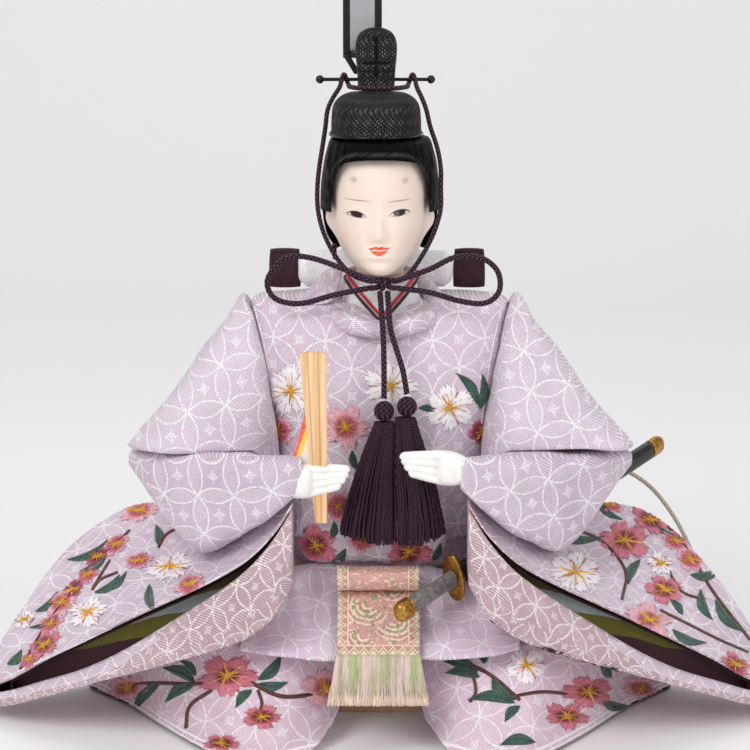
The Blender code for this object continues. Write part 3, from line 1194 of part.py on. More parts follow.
def collars(core, core_room, head_room):
    ring, funnel = round_collar(), under_collar_white()
    ring_room, funnel_room = grown(ring, GAP), grown(funnel, GAP)
    edges = [collar_edge("under_collar_red", 0, RED_EDGE), collar_edge("under_collar_brown", 1, BROWN_EDGE)]
    edge_rooms = [grown(edge, GAP) for edge in edges]
    cut(funnel, core_room, head_room, ring_room)
    cut(core, ring_room)
    roll = back_collar_roll()
    roll_room = grown(roll, GAP)
    cut(roll, ring_room, *edge_rooms)
    flap = collar_flap()
    cut(flap, ring_room, funnel_room, *edge_rooms)
    for word, x in (("right", TAB_RIGHT_X), ("left", TAB_LEFT_X)):
        cut(collar_tab(word, x), roll_room)
    return ring_room, grown(funnel, COLLAR_PLAY), edge_rooms[1]


def main():
    clear_scene()
    board, core, wire_room, head_room = core_and_head()
    core_room, board_room = grown(core, CLOTH_GAP), grown(board, CLOTH_GAP)
    collar_rooms = collars(core, core_room, head_room)
    sword_rooms = sword()
    body = robe_body()
    body_room = grown(body, CLOTH_GAP)
    cut(body, core_room, wire_room, *collar_rooms)
    belt = waist_belt()
    belt_room = grown(belt, CLOTH_GAP)
    cut(belt, core_room)
    cut(waist_fold(), body_room, belt_room)
    sash()
    hands = {"right": hand("right", -1, RIGHT_HAND_AT), "left": hand("left", 1, LEFT_HAND_AT)}
    hand_rooms = {word: grown(piece, GAP) for word, piece in hands.items()}
    baton, paper = shaku(), folded_paper()
    paper_room = grown(paper, GAP)
    cut(hands["right"], grown(baton, GAP), paper_room, wire_room)
    cut(hands["left"], wire_room)
    lap = robe_lap()
    lap_room = grown(lap, CLOTH_GAP)
    knees = []
    for word, side in (("right", -1), ("left", 1)):
        bag, cavity, mouth = sleeve_bag(word, side)
        bag_room = grown(bag, CLOTH_GAP)
        cut(bag, cavity, mouth)
        lining, layers = sleeve_lining(word, side, mouth), inner_layers(word, side)
        lower, upper = forearm_sleeve(word, side), upper_sleeve(word, side)
        cut(lower, body_room, bag_room, wire_room, hand_rooms[word])
        cut(upper, body_room, wire_room)
        leg = knee(word, side)
        cut(leg, core_room, board_room, bag_room, lap_room)
        knees.append(leg)
        cut(lap, bag_room)
        if side > 0:
            for piece in (bag, lining, layers, lower):
                cut(piece, *sword_rooms)
        else:
            cut(lower, paper_room)
    robe_back_skirt()
    back_cord()
    chin_cord()
    bow()
    tassel("right", -1, BALL_RIGHT_AT, DROP_ROUTE_RIGHT)
    tassel("left", 1, BALL_LEFT_AT, DROP_ROUTE_LEFT)
    bpy.context.view_layer.update()


main()
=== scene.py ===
"""The looks of the seated emperor doll: cloth, embroidery, cords, hair, face and lacquer over the frame's solids.

Metres, +Z up, the doll faces -Y. Its own left is at +X, so side is 1 on its left and -1 on its right.
"""

import json
import math

import bmesh
import bpy
import numpy as np
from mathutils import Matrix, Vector
from mathutils.bvhtree import BVHTree

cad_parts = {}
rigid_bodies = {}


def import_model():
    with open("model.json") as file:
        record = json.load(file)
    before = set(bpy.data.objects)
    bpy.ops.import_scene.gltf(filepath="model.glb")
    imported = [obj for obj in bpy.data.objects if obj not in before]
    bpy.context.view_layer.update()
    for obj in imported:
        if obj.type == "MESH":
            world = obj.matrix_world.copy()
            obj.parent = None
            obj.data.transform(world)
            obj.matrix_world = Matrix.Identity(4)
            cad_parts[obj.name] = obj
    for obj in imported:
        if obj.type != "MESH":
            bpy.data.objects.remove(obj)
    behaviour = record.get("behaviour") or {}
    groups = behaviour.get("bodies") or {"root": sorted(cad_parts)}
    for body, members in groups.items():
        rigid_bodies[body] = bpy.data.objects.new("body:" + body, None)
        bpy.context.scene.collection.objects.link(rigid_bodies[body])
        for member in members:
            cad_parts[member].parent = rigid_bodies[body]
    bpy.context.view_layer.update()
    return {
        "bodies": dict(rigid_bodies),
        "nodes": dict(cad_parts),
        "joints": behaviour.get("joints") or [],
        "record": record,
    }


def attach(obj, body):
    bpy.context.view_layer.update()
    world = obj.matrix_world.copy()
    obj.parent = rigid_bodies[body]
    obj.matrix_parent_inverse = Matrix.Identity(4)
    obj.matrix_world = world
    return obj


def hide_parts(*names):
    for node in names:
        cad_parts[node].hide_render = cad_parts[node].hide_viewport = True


MM = 0.001
SIDES = (("right", -1), ("left", 1))

# ---------------------------------------------------------------- camera and what it saw
CAMERA_AT, CAMERA_TILT, CAMERA_PX, PHOTO = (-0.0017, -0.750, 0.255), 10.6, 2268, 750


def camera():
    data = bpy.data.cameras.new("camera")
    data.sensor_width = 36
    data.lens = CAMERA_PX / PHOTO * 36
    made = bpy.data.objects.new("camera", data)
    made.location = CAMERA_AT
    made.rotation_euler = (math.radians(90 - CAMERA_TILT), 0, 0)
    bpy.context.scene.collection.objects.link(made)
    bpy.context.scene.camera = made


def pixel_ray(x, y):
    """The direction in which a spot of the photograph lies, seen from the camera."""
    tilt = math.radians(CAMERA_TILT)
    u, v = (x - PHOTO / 2) / CAMERA_PX, (PHOTO / 2 - y) / CAMERA_PX
    return Vector((u, math.cos(tilt) + v * math.sin(tilt), v * math.cos(tilt) - math.sin(tilt))).normalized()


# ---------------------------------------------------------------- mesh helpers
def spline(points, count, closed=False, even=True):
    """count samples of a smooth curve through points, which may be numbers, points or whole rings."""
    p = np.asarray(points, float)
    n = len(p)
    if closed:
        ring = np.concatenate([p, p[:1]])
    else:
        ring = p
    steps = np.diff(ring, axis=0).reshape(len(ring) - 1, -1)
    steps = np.sqrt((steps**2).sum(1)) + 1e-9
    along = np.concatenate([[0], np.cumsum(steps)])
    t = np.linspace(0, along[-1], count, endpoint=not closed)
    t = np.interp(t, along, np.arange(len(ring))) if even else np.linspace(0, len(ring) - 1, count, endpoint=not closed)
    i = np.minimum(t.astype(int), len(ring) - 2)
    f = (t - i).reshape((-1,) + (1,) * (p.ndim - 1))
    if closed:
        a, b, c, d = (p[(i + k) % n] for k in (-1, 0, 1, 2))
    else:
        padded = np.concatenate([[2 * p[0] - p[1]], p, [2 * p[-1] - p[-2]]])
        a, b, c, d = (padded[i + k] for k in range(4))
    return 0.5 * (2 * b + (c - a) * f + (2 * a - 5 * b + 4 * c - d) * f**2 + (3 * b - a - 3 * c + d) * f**3)


def grid_normals(points, closed=False):
    if closed:
        around = np.roll(points, -1, 1) - np.roll(points, 1, 1)
    else:
        around = np.gradient(points, axis=1)
    along = np.gradient(points, axis=0)
    out = np.cross(along, around)
    return out / (np.linalg.norm(out, axis=2, keepdims=True) + 1e-12)


def waves(points, size, seed, count=9):
    """Smooth random unevenness from -1 to 1: waves of about that size, in random directions."""
    rng = np.random.default_rng(seed)
    total = 0
    for _ in range(count):
        way = rng.normal(size=3)
        way *= 2 * math.pi / (size * rng.uniform(0.7, 1.6) * np.linalg.norm(way))
        total = total + np.sin(points @ way + rng.uniform(0, 2 * math.pi))
    return total / count**0.5 / 1.4


def mesh_object(name, points, faces, looks=(), uvs=None, smooth=True):
    mesh = bpy.data.meshes.new(name)
    mesh.from_pydata([tuple(p) for p in points], [], [tuple(f) for f in faces])
    if uvs is not None:
        layer = mesh.uv_layers.new(name="cloth")
        layer.data.foreach_set("uv", np.asarray(uvs, np.float32).ravel())
    mesh.validate()
    made = bpy.data.objects.new(name, mesh)
    bpy.context.scene.collection.objects.link(made)
    for look in looks if isinstance(looks, (list, tuple)) else [looks]:
        mesh.materials.append(look)
    if smooth:
        mesh.shade_smooth()
    return made


def skin_data(points, closed=False, ends=False, middle=0):
    """Vertices, faces and cloth coordinates in metres of a sheet over points [along][around]."""
    points = np.asarray(points, float)
    nu, nv = points.shape[:2]
    wrapped = np.concatenate([points, points[:, :1]], 1) if closed else points
    u = np.zeros(nu)
    u[1:] = np.cumsum(np.linalg.norm(np.diff(wrapped, axis=0), axis=2).mean(1))
    v = np.zeros(wrapped.shape[:2])
    v[:, 1:] = np.cumsum(np.linalg.norm(np.diff(wrapped, axis=1), axis=2), 1)
    v -= v[:, middle : middle + 1]
    verts, faces, uvs = points.reshape(-1, 3).tolist(), [], []
    for i in range(nu - 1):
        for j in range(wrapped.shape[1] - 1):
            k = (j + 1) % nv
            faces.append((i * nv + j, i * nv + k, (i + 1) * nv + k, (i + 1) * nv + j))
            uvs += [(u[i], v[i, j]), (u[i], v[i, j + 1]), (u[i + 1], v[i + 1, j + 1]), (u[i + 1], v[i + 1, j])]
    if ends:
        for i, turn in ((0, -1), (nu - 1, 1)):
            verts.append(points[i].mean(0))
            for j in range(nv):
                k = (j + 1) % nv
                tri = (i * nv + j, i * nv + k, len(verts) - 1)[::turn]
                faces.append(tri)
                shift = {i * nv + j: (0, v[i, j]), i * nv + k: (0, v[i, j] + 0.001)}
                uvs += [(u[i] + shift.get(t, (0.004, v[i, j]))[0], shift.get(t, (0.004, v[i, j]))[1]) for t in tri]
    return verts, faces, uvs


def skin(name, points, looks, closed=False, ends=False, middle=0, thick=0.0, outward=None, gone=None):
    """gone tells for a point whether the cloth is cut away there."""
    verts, faces, uvs = skin_data(points, closed, ends, middle)
    made = mesh_object(name, verts, faces, looks, uvs)
    if gone:
        shape = bmesh.new()
        shape.from_mesh(made.data)
        inside = {v for v in shape.verts if gone(v.co)}
        bmesh.ops.delete(shape, geom=[f for f in shape.faces if inside.intersection(f.verts)], context="FACES")
        shape.to_mesh(made.data)
        shape.free()
    if outward is not None:
        face_out(made, outward)
    if thick:
        shell = made.modifiers.new("thickness", "SOLIDIFY")
        shell.thickness, shell.offset = thick, -1
        if len(made.data.materials) > 1:
            shell.material_offset = 1
        apply(made)
    return made


def face_out(obj, centre):
    """Turn all faces if most of them look towards centre instead of away from it."""
    mesh = obj.data
    away = sum(p.area * p.normal.dot(p.center - Vector(centre)) for p in mesh.polygons)
    if away < 0:
        mesh.flip_normals()


def apply(obj):
    graph = bpy.context.evaluated_depsgraph_get()
    mesh = bpy.data.meshes.new_from_object(obj.evaluated_get(graph))
    obj.modifiers.clear()
    old = obj.data
    obj.data = mesh
    bpy.data.meshes.remove(old)
    return obj


def form(points, closed=True):
    """A closed form for tests of inside and outside, with its faces outwards."""
    verts, faces, _ = skin_data(points, closed, True)
    shape = bmesh.new()
    made = [shape.verts.new(v) for v in verts]
    for face in faces:
        shape.faces.new([made[k] for k in face])
    bmesh.ops.recalc_face_normals(shape, faces=shape.faces)
    tree = BVHTree.FromBMesh(shape)
    shape.free()
    return tree


def pushed(points, trees, gap):
    """The same points, those inside a form moved out of it to gap above its face."""
    flat = np.asarray(points, float).reshape(-1, 3).copy()
    for tree in trees:
        for k, p in enumerate(flat):
            near, normal, _, _ = tree.find_nearest(p)
            away = Vector(p) - near
            if away.dot(normal) < 0 or away.length < gap:
                flat[k] = near + normal * gap
    return flat.reshape(np.shape(points))


def oval(count, half, front, back, power=2.0):
    angle = np.linspace(0, 2 * math.pi, count, endpoint=False)
    c, s = np.cos(angle), np.sin(angle)
    x = half * np.sign(c) * np.abs(c) ** (2 / power)
    y = np.sign(s) * np.abs(s) ** (2 / power)
    return np.stack([x, np.where(y > 0, y * back, y * front)], 1)


def stacked(shares, base, top, half, front, back, levels, around, power=2.0, x=0.0, y=0.0):
    """Level rings from a table of height, half width, front and back, in many fine steps."""
    rings = []
    for height, wide, ahead, behind in spline(shares, levels):
        ring = oval(around, half * wide, front * ahead, back * behind, power) + (x, y)
        rings.append(np.column_stack([ring, np.full(around, base + (top - base) * height)]))
    return np.array(rings)


def tube_rings(path, radius, around, flat=1.0, twist=0.0):
    """Rings square to a path. radius is one number or one for each point; flat and twist shape a strand."""
    path = np.asarray(path, float)
    ahead = np.gradient(path, axis=0)
    ahead /= np.linalg.norm(ahead, axis=1)[:, None]
    side = np.cross(ahead[0], [0.2, 0.3, 0.93])
    radius = np.broadcast_to(radius, len(path))
    rings = []
    for k, (point, way) in enumerate(zip(path, ahead)):
        side = side - way * side.dot(way)
        side /= np.linalg.norm(side)
        up = np.cross(way, side)
        angle = np.linspace(0, 2 * math.pi, around, endpoint=False)
        a, b = np.cos(angle), np.sin(angle) * flat
        c, s = math.cos(twist * k), math.sin(twist * k)
        a, b = a * c - b * s, a * s + b * c
        rings.append(point + radius[k] * (a[:, None] * side + b[:, None] * up))
    return np.array(rings)


def braid(name, path, radius, looks, step=0.00045, around=12):
    """A round braid: its strands cross as low ridges, and its coordinates run in metres."""
    path = spline(path, max(8, int(length_of(path) / step)))
    rings = tube_rings(path, radius, around)
    along = np.concatenate([[0], np.cumsum(np.linalg.norm(np.diff(path, axis=0), axis=1))])
    angle = np.linspace(0, 2 * math.pi, around, endpoint=False)
    pitch = radius * 3.4
    phase = 2 * math.pi * along[:, None] / pitch
    ridge = np.abs(np.sin(phase + 2 * angle)) * np.abs(np.sin(phase - 2 * angle))
    rings = path[:, None] + (rings - path[:, None]) * (0.93 + 0.09 * ridge)[:, :, None]
    return skin(name, rings, looks, True, True)


def length_of(path):
    return float(np.linalg.norm(np.diff(spline(path, 200), axis=0), axis=1).sum())


def join(name, objs):
    """Merge objects into the first one, with all their materials."""
    looks, verts, faces, uvs, marks = [], [], [], [], []
    for obj in objs:
        mesh = obj.data
        base = len(verts)
        slots = []
        for look in mesh.materials:
            if look not in looks:
                looks.append(look)
            slots.append(looks.index(look))
        verts += [obj.matrix_world @ v.co for v in mesh.vertices]
        layer = mesh.uv_layers[0].data if mesh.uv_layers else None
        for poly in mesh.polygons:
            faces.append([base + v for v in poly.vertices])
            marks.append(slots[min(poly.material_index, len(slots) - 1)])
            uvs += [tuple(layer[k].uv) if layer else (0, 0) for k in poly.loop_indices]
    for obj in objs:
        bpy.data.objects.remove(obj, do_unlink=True)
    made = mesh_object(name, verts, faces, looks, uvs)
    made.data.polygons.foreach_set("material_index", marks)
    return made


# ---------------------------------------------------------------- materials
def linear(rgb):
    return [(c / 255 / 12.92 if c <= 10 else ((c / 255 + 0.055) / 1.055) ** 2.4) for c in rgb] + [1]


class Look:
    """A material while its nodes are being made."""

    def __init__(self, name, roughness=0.5, **fixed):
        self.made = bpy.data.materials.new(name)
        self.made.use_nodes = True
        self.tree = self.made.node_tree
        self.shader = self.tree.nodes["Principled BSDF"]
        self.shader.inputs["Roughness"].default_value = roughness
        for socket, value in fixed.items():
            self.shader.inputs[socket.replace("_", " ").title().replace("Ior", "IOR")].default_value = value
        self.where = self.tree.nodes.new("ShaderNodeTexCoord")

    def put(self, socket, value):
        if isinstance(value, bpy.types.NodeSocket):
            self.tree.links.new(value, socket)
        elif value is not None:
            socket.default_value = value

    def node(self, kind, inputs=(), out=0, **settings):
        made = self.tree.nodes.new(kind)
        for key, value in settings.items():
            setattr(made, key, value)
        for key, value in dict(inputs).items():
            self.put(made.inputs[key], value)
        return made.outputs[out]

    def do(self, operation, a, b=None, c=None):
        return self.node("ShaderNodeMath", {0: a, 1: b, 2: c}, operation=operation)

    def mix(self, share, a, b):
        return self.node("ShaderNodeMix", {0: share, 6: a, 7: b}, 2, data_type="RGBA")

    def ramp(self, value, low, high, start=0.0, end=1.0):
        inputs = {0: value, 1: low, 2: high, 3: start, 4: end}
        return self.node("ShaderNodeMapRange", inputs, interpolation_type="SMOOTHSTEP")

    def band(self, value, middle, half, soft):
        """1 where value is within half of middle, falling to 0 over soft."""
        away = self.do("ABSOLUTE", self.do("SUBTRACT", value, middle))
        return self.ramp(away, half, half + soft, 1, 0)

    def scaled(self, vector, factors):
        return self.node("ShaderNodeVectorMath", {0: vector, 1: factors}, operation="MULTIPLY")

    def noise(self, vector, scale, detail=2.0, rough=0.5):
        inputs = {"Vector": vector, "Scale": scale, "Detail": detail, "Roughness": rough}
        return self.node("ShaderNodeTexNoise", inputs)

    def parts(self, vector):
        split = self.tree.nodes.new("ShaderNodeSeparateXYZ")
        self.tree.links.new(vector, split.inputs[0])
        return split.outputs

    @property
    def uv(self):
        return self.where.outputs["UV"]

    @property
    def place(self):
        return self.where.outputs["Object"]

    def colour(self, value):
        self.put(self.shader.inputs["Base Color"], value)
        return self

    def rough(self, value):
        self.put(self.shader.inputs["Roughness"], value)
        return self

    def bump(self, height, distance, strength=1.0):
        inputs = {"Height": height, "Distance": distance, "Strength": strength}
        self.put(self.shader.inputs["Normal"], self.node("ShaderNodeBump", inputs))
        return self


def damask(name, base, pale, radius=0.0095, strength=0.75, hatch=0.35, shade=0.86, turn=0.0, hems=()):
    """Brocade with the seven-treasures ground: circles that overlap by quarters, hatched petals, small stars."""
    m = Look(name, 0.62, sheen_weight=0.12, sheen_roughness=0.4)
    spot = m.scaled(m.uv, (1 / radius, 1 / radius, 1))
    if turn:
        spot = m.node("ShaderNodeVectorRotate", {0: spot, 3: turn}, rotation_type="Z_AXIS")
    wobble = m.node("ShaderNodeTexNoise", {"Vector": m.uv, "Scale": 110.0}, 1)
    spot = m.node("ShaderNodeVectorMath", {0: wobble, 1: (0.09, 0.09, 0), 2: spot}, operation="MULTIPLY_ADD")
    x, y, _ = m.parts(spot)
    rings, stars, inside = [], [], []
    for shift in (0.0, 1.0):
        a = m.do("SUBTRACT", m.do("FLOORED_MODULO", m.do("ADD", x, shift), 2.0), 1.0)
        b = m.do("SUBTRACT", m.do("FLOORED_MODULO", m.do("ADD", y, shift), 2.0), 1.0)
        away = m.do("SQRT", m.do("ADD", m.do("MULTIPLY", a, a), m.do("MULTIPLY", b, b)))
        rings.append(m.band(away, 0.985, 0.000020 / radius * 10, 0.022))
        inside.append(m.ramp(away, 0.92, 0.96, 1, 0))
        arm = m.do("MINIMUM", m.do("ABSOLUTE", m.do("SUBTRACT", a, b)), m.do("ABSOLUTE", m.do("ADD", a, b)))
        star = m.do("MULTIPLY", m.ramp(arm, 0.02, 0.07, 1, 0), m.ramp(away, 0.20, 0.30, 1, 0))
        stars.append(m.do("MAXIMUM", star, m.band(away, 0.12, 0.015, 0.03)))
    petal = m.do("MULTIPLY", *inside)
    u, v, _ = m.parts(m.uv)
    lean = m.do("ADD", m.do("ADD", m.do("MULTIPLY", u, 0.55), v), m.do("MULTIPLY", m.noise(m.uv, 400.0), 0.0003))
    twill = m.do("SINE", m.do("MULTIPLY", lean, 2 * math.pi / 0.00078))
    stitch = m.noise(m.scaled(m.uv, (2300.0, 900.0, 1)), 1.0, 2.0, 0.7)
    patch = m.noise(m.uv, 170.0, 2.0)
    lines = m.do("MAXIMUM", m.do("MAXIMUM", *rings), m.do("MULTIPLY", m.do("MAXIMUM", *stars), 0.8))
    lines = m.do("MULTIPLY", lines, m.ramp(m.do("ADD", stitch, m.do("MULTIPLY", twill, 0.10)), 0.34, 0.56, 0.15, 1.0))
    for low, high in hems:
        z = m.parts(m.place)[2]
        lines = m.do("MAXIMUM", lines, m.band(z, (low + high) / 2, (high - low) / 2, 0.0001))
    rows = m.do("MULTIPLY", m.ramp(twill, -0.2, 0.9), m.ramp(patch, 0.36, 0.62, 0.25, 1.0))
    threads = m.do("MULTIPLY", rows, m.do("ADD", m.do("MULTIPLY", petal, hatch), 0.24))
    white = m.do("MAXIMUM", lines, m.do("MULTIPLY", threads, m.ramp(stitch, 0.30, 0.60, 0.35, 1.0)))
    white = m.do("MULTIPLY", white, strength)
    fine = m.noise(m.scaled(m.uv, (1.0, 0.35, 1)), 2900.0, 1.0)
    tone = m.do("ADD", m.do("MULTIPLY", twill, 0.14), m.do("MULTIPLY", fine, 0.7))
    tone = m.do("ADD", tone, m.do("MULTIPLY", m.noise(m.place, 45.0, 2.0), 0.5))
    ground = m.mix(m.ramp(tone, 0.30, 0.95), linear([c * shade for c in base]), linear(base))
    m.colour(m.mix(white, ground, linear(pale)))
    m.rough(m.ramp(white, 0.0, 1.0, 0.64, 0.38))
    height = m.do("ADD", white, m.do("ADD", m.do("MULTIPLY", twill, 0.22), fine))
    m.bump(height, 0.00016, 0.7)
    return m.made


def plain_cloth(name, dark, light, scale=900.0, bump=0.35, rough=0.75, sheen=0.2, weave=0.0009):
    m = Look(name, rough, sheen_weight=sheen, sheen_roughness=0.5)
    u, v, _ = m.parts(m.uv)
    rows = m.do("SINE", m.do("MULTIPLY", u, 2 * math.pi / weave))
    cols = m.do("SINE", m.do("MULTIPLY", v, 2 * math.pi / weave))
    fine = m.noise(m.place, scale, 3.0)
    tone = m.do("ADD", m.do("MULTIPLY", m.do("MULTIPLY", rows, cols), 0.12), fine)
    m.colour(m.mix(m.ramp(tone, 0.25, 0.75), linear(dark), linear(light)))
    m.bump(tone, 0.0002, bump)
    return m.made


def thread_work(name, dark, light, rows=0.0006, heart=None, relief=1.0):
    """Satin stitch: threads side by side across v, each run along u, darker towards a blossom's heart."""
    m = Look(name, 0.4, sheen_weight=0.12, sheen_roughness=0.35)
    u, v, _ = m.parts(m.uv)
    row = m.do("SINE", m.do("MULTIPLY", v, 2 * math.pi / rows))
    streak = m.noise(m.scaled(m.uv, (420.0, 3000.0, 1)), 1.0, 2.0, 0.6)
    tone = m.do("ADD", m.do("MULTIPLY", row, 0.12), streak)
    shown = m.mix(m.ramp(tone, 0.36, 0.64), linear(dark), linear(light))
    if heart:
        inner = m.do("ADD", m.ramp(u, 0.0012, 0.0058, 1, 0), m.do("MULTIPLY", m.do("SUBTRACT", streak, 0.5), 2.4))
        shown = m.mix(m.ramp(inner, 0.30, 0.75), shown, linear(heart))
    m.colour(shown)
    m.bump(tone, 0.0004, relief)
    return m.made


def braid_look(name, dark, light, radius=0.00095):
    m = Look(name, 0.5, specular_ior_level=0.22, sheen_weight=0.04, sheen_roughness=0.4)
    u, v, _ = m.parts(m.uv)
    turn = m.do("MULTIPLY", v, 2.0 / radius)
    run = m.do("MULTIPLY", u, 2 * math.pi / (radius * 3.4))
    a = m.do("ABSOLUTE", m.do("SINE", m.do("ADD", run, turn)))
    b = m.do("ABSOLUTE", m.do("SINE", m.do("SUBTRACT", run, turn)))
    weave = m.do("MULTIPLY", a, b)
    fine = m.noise(m.uv, 5200.0, 2.0)
    # The crossing ridges are painted lighter than the hollows between them: painted highlights along each braid and
    # tassel strand.
    m.colour(m.mix(m.ramp(m.do("ADD", weave, m.do("MULTIPLY", fine, 0.4)), 0.45, 1.1), linear(dark), linear(light)))
    m.bump(m.do("ADD", weave, m.do("MULTIPLY", fine, 0.35)), 0.0003, 0.8)
    return m.made


def hair_look():
    m = Look("hair_black", 0.4, specular_ior_level=0.06)
    strands = m.noise(m.scaled(m.uv, (38.0, 3400.0, 1)), 1.0, 3.0, 0.6)
    shown = m.mix(m.ramp(strands, 0.3, 0.75), linear((1, 1, 1)), linear((10, 9, 9)))
    # Painted highlight: a lighter grey band of strands just above the hairline, following its arch.
    x, _, z = m.parts(m.place)
    away = m.do("DIVIDE", m.do("ABSOLUTE", m.do("SUBTRACT", x, FACE_X)), 0.0175)
    edge = m.do("SUBTRACT", 0.1910, m.do("MULTIPLY", m.do("POWER", away, 5.0), 0.0130))
    painted_hairline_highlight = m.do("MULTIPLY", m.band(m.do("SUBTRACT", z, edge), 0.0, 0.0002, 0.0008), m.ramp(strands, 0.38, 0.62))
    m.colour(m.mix(m.do("MULTIPLY", painted_hairline_highlight, m.ramp(z, 0.178, 0.186, 0, 0.8)), shown, linear((74, 74, 74))))
    m.rough(m.ramp(strands, 0.2, 0.8, 0.48, 0.34))
    m.bump(strands, 0.0003, 0.55)
    return m.made


def gauze_look(name, dark, light, cell=0.00085, rough=0.24):
    """Lacquered open weave: short raised ribs side by side in rows, with woven lozenges. The ribs are painted much
    lighter than the ground as painted highlights, brightest in the middle of the hat as a painted reflection.
    """
    m = Look(name, rough, specular_ior_level=0.12)
    u, v, _ = m.parts(m.uv)
    row = m.do("DIVIDE", v, cell)
    shift = m.do("MULTIPLY", m.do("FLOOR", row), 0.5)
    a = m.do("ABSOLUTE", m.do("SINE", m.do("MULTIPLY", m.do("ADD", m.do("DIVIDE", u, cell * 1.5), shift), math.pi)))
    b = m.do("ABSOLUTE", m.do("SINE", m.do("MULTIPLY", row, math.pi)))
    rib = m.do("MULTIPLY", m.ramp(a, 0.15, 0.8), m.ramp(b, 0.15, 0.9))
    wide = m.do("SINE", m.do("MULTIPLY", m.do("ADD", u, v), 2 * math.pi / (cell * 9)))
    wider = m.do("SINE", m.do("MULTIPLY", m.do("SUBTRACT", u, v), 2 * math.pi / (cell * 9)))
    figure = m.ramp(m.do("MULTIPLY", wide, wider), -0.1, 0.4, 0.35, 1.0)
    # Painted reflection: the ribs are brightest in the middle of the hat and dimmer towards its sides.
    middle = m.ramp(m.do("ABSOLUTE", m.do("SUBTRACT", m.parts(m.place)[0], HAT_X)), 0.004, 0.012, 1.0, 0.35)
    rib = m.do("MULTIPLY", m.do("MULTIPLY", rib, figure), middle)
    x, _, z = m.parts(m.place)
    upright = m.do("MULTIPLY", m.band(x, HAT_X, 0.0004, 0.0003), m.do("MULTIPLY", m.ramp(z, 0.2135, 0.2139), m.ramp(z, 0.2268, 0.2272, 1, 0)))
    level = m.do("MULTIPLY", m.band(z, 0.2184, 0.0003, 0.0003), m.band(x, HAT_X, 0.0043, 0.0004))
    rib = m.do("MULTIPLY", rib, m.do("SUBTRACT", 1.0, m.do("MAXIMUM", upright, level)))
    m.colour(m.mix(rib, linear(dark), linear(light)))
    m.rough(m.ramp(rib, 0.0, 1.0, 0.5, rough))
    m.bump(m.do("ADD", rib, m.do("MULTIPLY", m.noise(m.place, 1500.0), 0.3)), 0.0005, 1.0)
    return m.made


def lacquer_look(name, dark, light, rough=0.22):
    m = Look(name, rough, specular_ior_level=0.35, coat_weight=0.12, coat_roughness=0.12)
    cloud = m.noise(m.place, 420.0, 3.0)
    m.colour(m.mix(m.ramp(cloud, 0.3, 0.7), linear(dark), linear(light)))
    m.bump(cloud, 0.0002, 0.12)
    return m.made


def metal_look(name, dark, light, rough=0.3, pit=0.35):
    m = Look(name, rough, metallic=1.0)
    cloud = m.noise(m.place, 900.0, 4.0)
    m.colour(m.mix(m.ramp(cloud, 0.3, 0.7), linear(dark), linear(light)))
    m.rough(m.ramp(cloud, 0.2, 0.8, rough + 0.12, rough))
    m.bump(cloud, 0.0003, pit)
    return m.made


def wood_look(name, dark, light, along=(260.0, 260.0, 12.0), lines=()):
    m = Look(name, 0.5, specular_ior_level=0.35)
    grain = m.noise(m.scaled(m.place, along), 1.6, 4.0)
    fine = m.noise(m.scaled(m.place, (1900.0, 1900.0, 60.0)), 1.0, 3.0)
    tone = m.do("ADD", m.do("MULTIPLY", grain, 0.7), m.do("MULTIPLY", fine, 0.3))
    shown = m.mix(m.ramp(tone, 0.35, 0.65), linear(dark), linear(light))
    x, _, z = m.parts(m.place)
    for start, lean, half in lines:
        spot = m.do("ADD", x, m.do("MULTIPLY", m.do("SUBTRACT", z, 0.1), lean))
        mark = m.do("MULTIPLY", m.band(spot, start, half, half * 1.4), 0.5)
        shown = m.mix(mark, shown, linear((176, 116, 66)))
    m.colour(shown)
    m.bump(tone, 0.00015, 0.3)
    return m.made


def straw_look():
    m = Look("straw", 0.75)
    reed = m.noise(m.scaled(m.place, (900.0, 900.0, 20.0)), 1.0, 3.0)
    m.colour(m.mix(m.ramp(reed, 0.3, 0.7), linear((170, 138, 80)), linear((222, 196, 138))))
    m.bump(reed, 0.0008, 0.9)
    return m.made


def paper_look():
    """Folded slips of coloured paper, one beside the other."""
    m = Look("folded_paper_colours", 0.65)
    x, _, z = m.parts(m.place)
    across = m.do("ADD", x, m.do("MULTIPLY", m.do("SUBTRACT", z, 0.10), -0.33))
    shown = linear((250, 246, 240))
    for edge, rgb in ((-0.0243, (252, 216, 60)), (-0.0258, (238, 88, 40))):
        shown = m.mix(m.ramp(across, edge - 0.0001, edge + 0.0001, 1, 0), shown, linear(rgb))
    m.colour(m.mix(m.ramp(m.noise(m.place, 900.0, 3.0), 0.2, 0.9, 0, 0.25), shown, linear((255, 250, 240))))
    m.bump(m.noise(m.place, 1400.0, 3.0), 0.0002, 0.3)
    return m.made


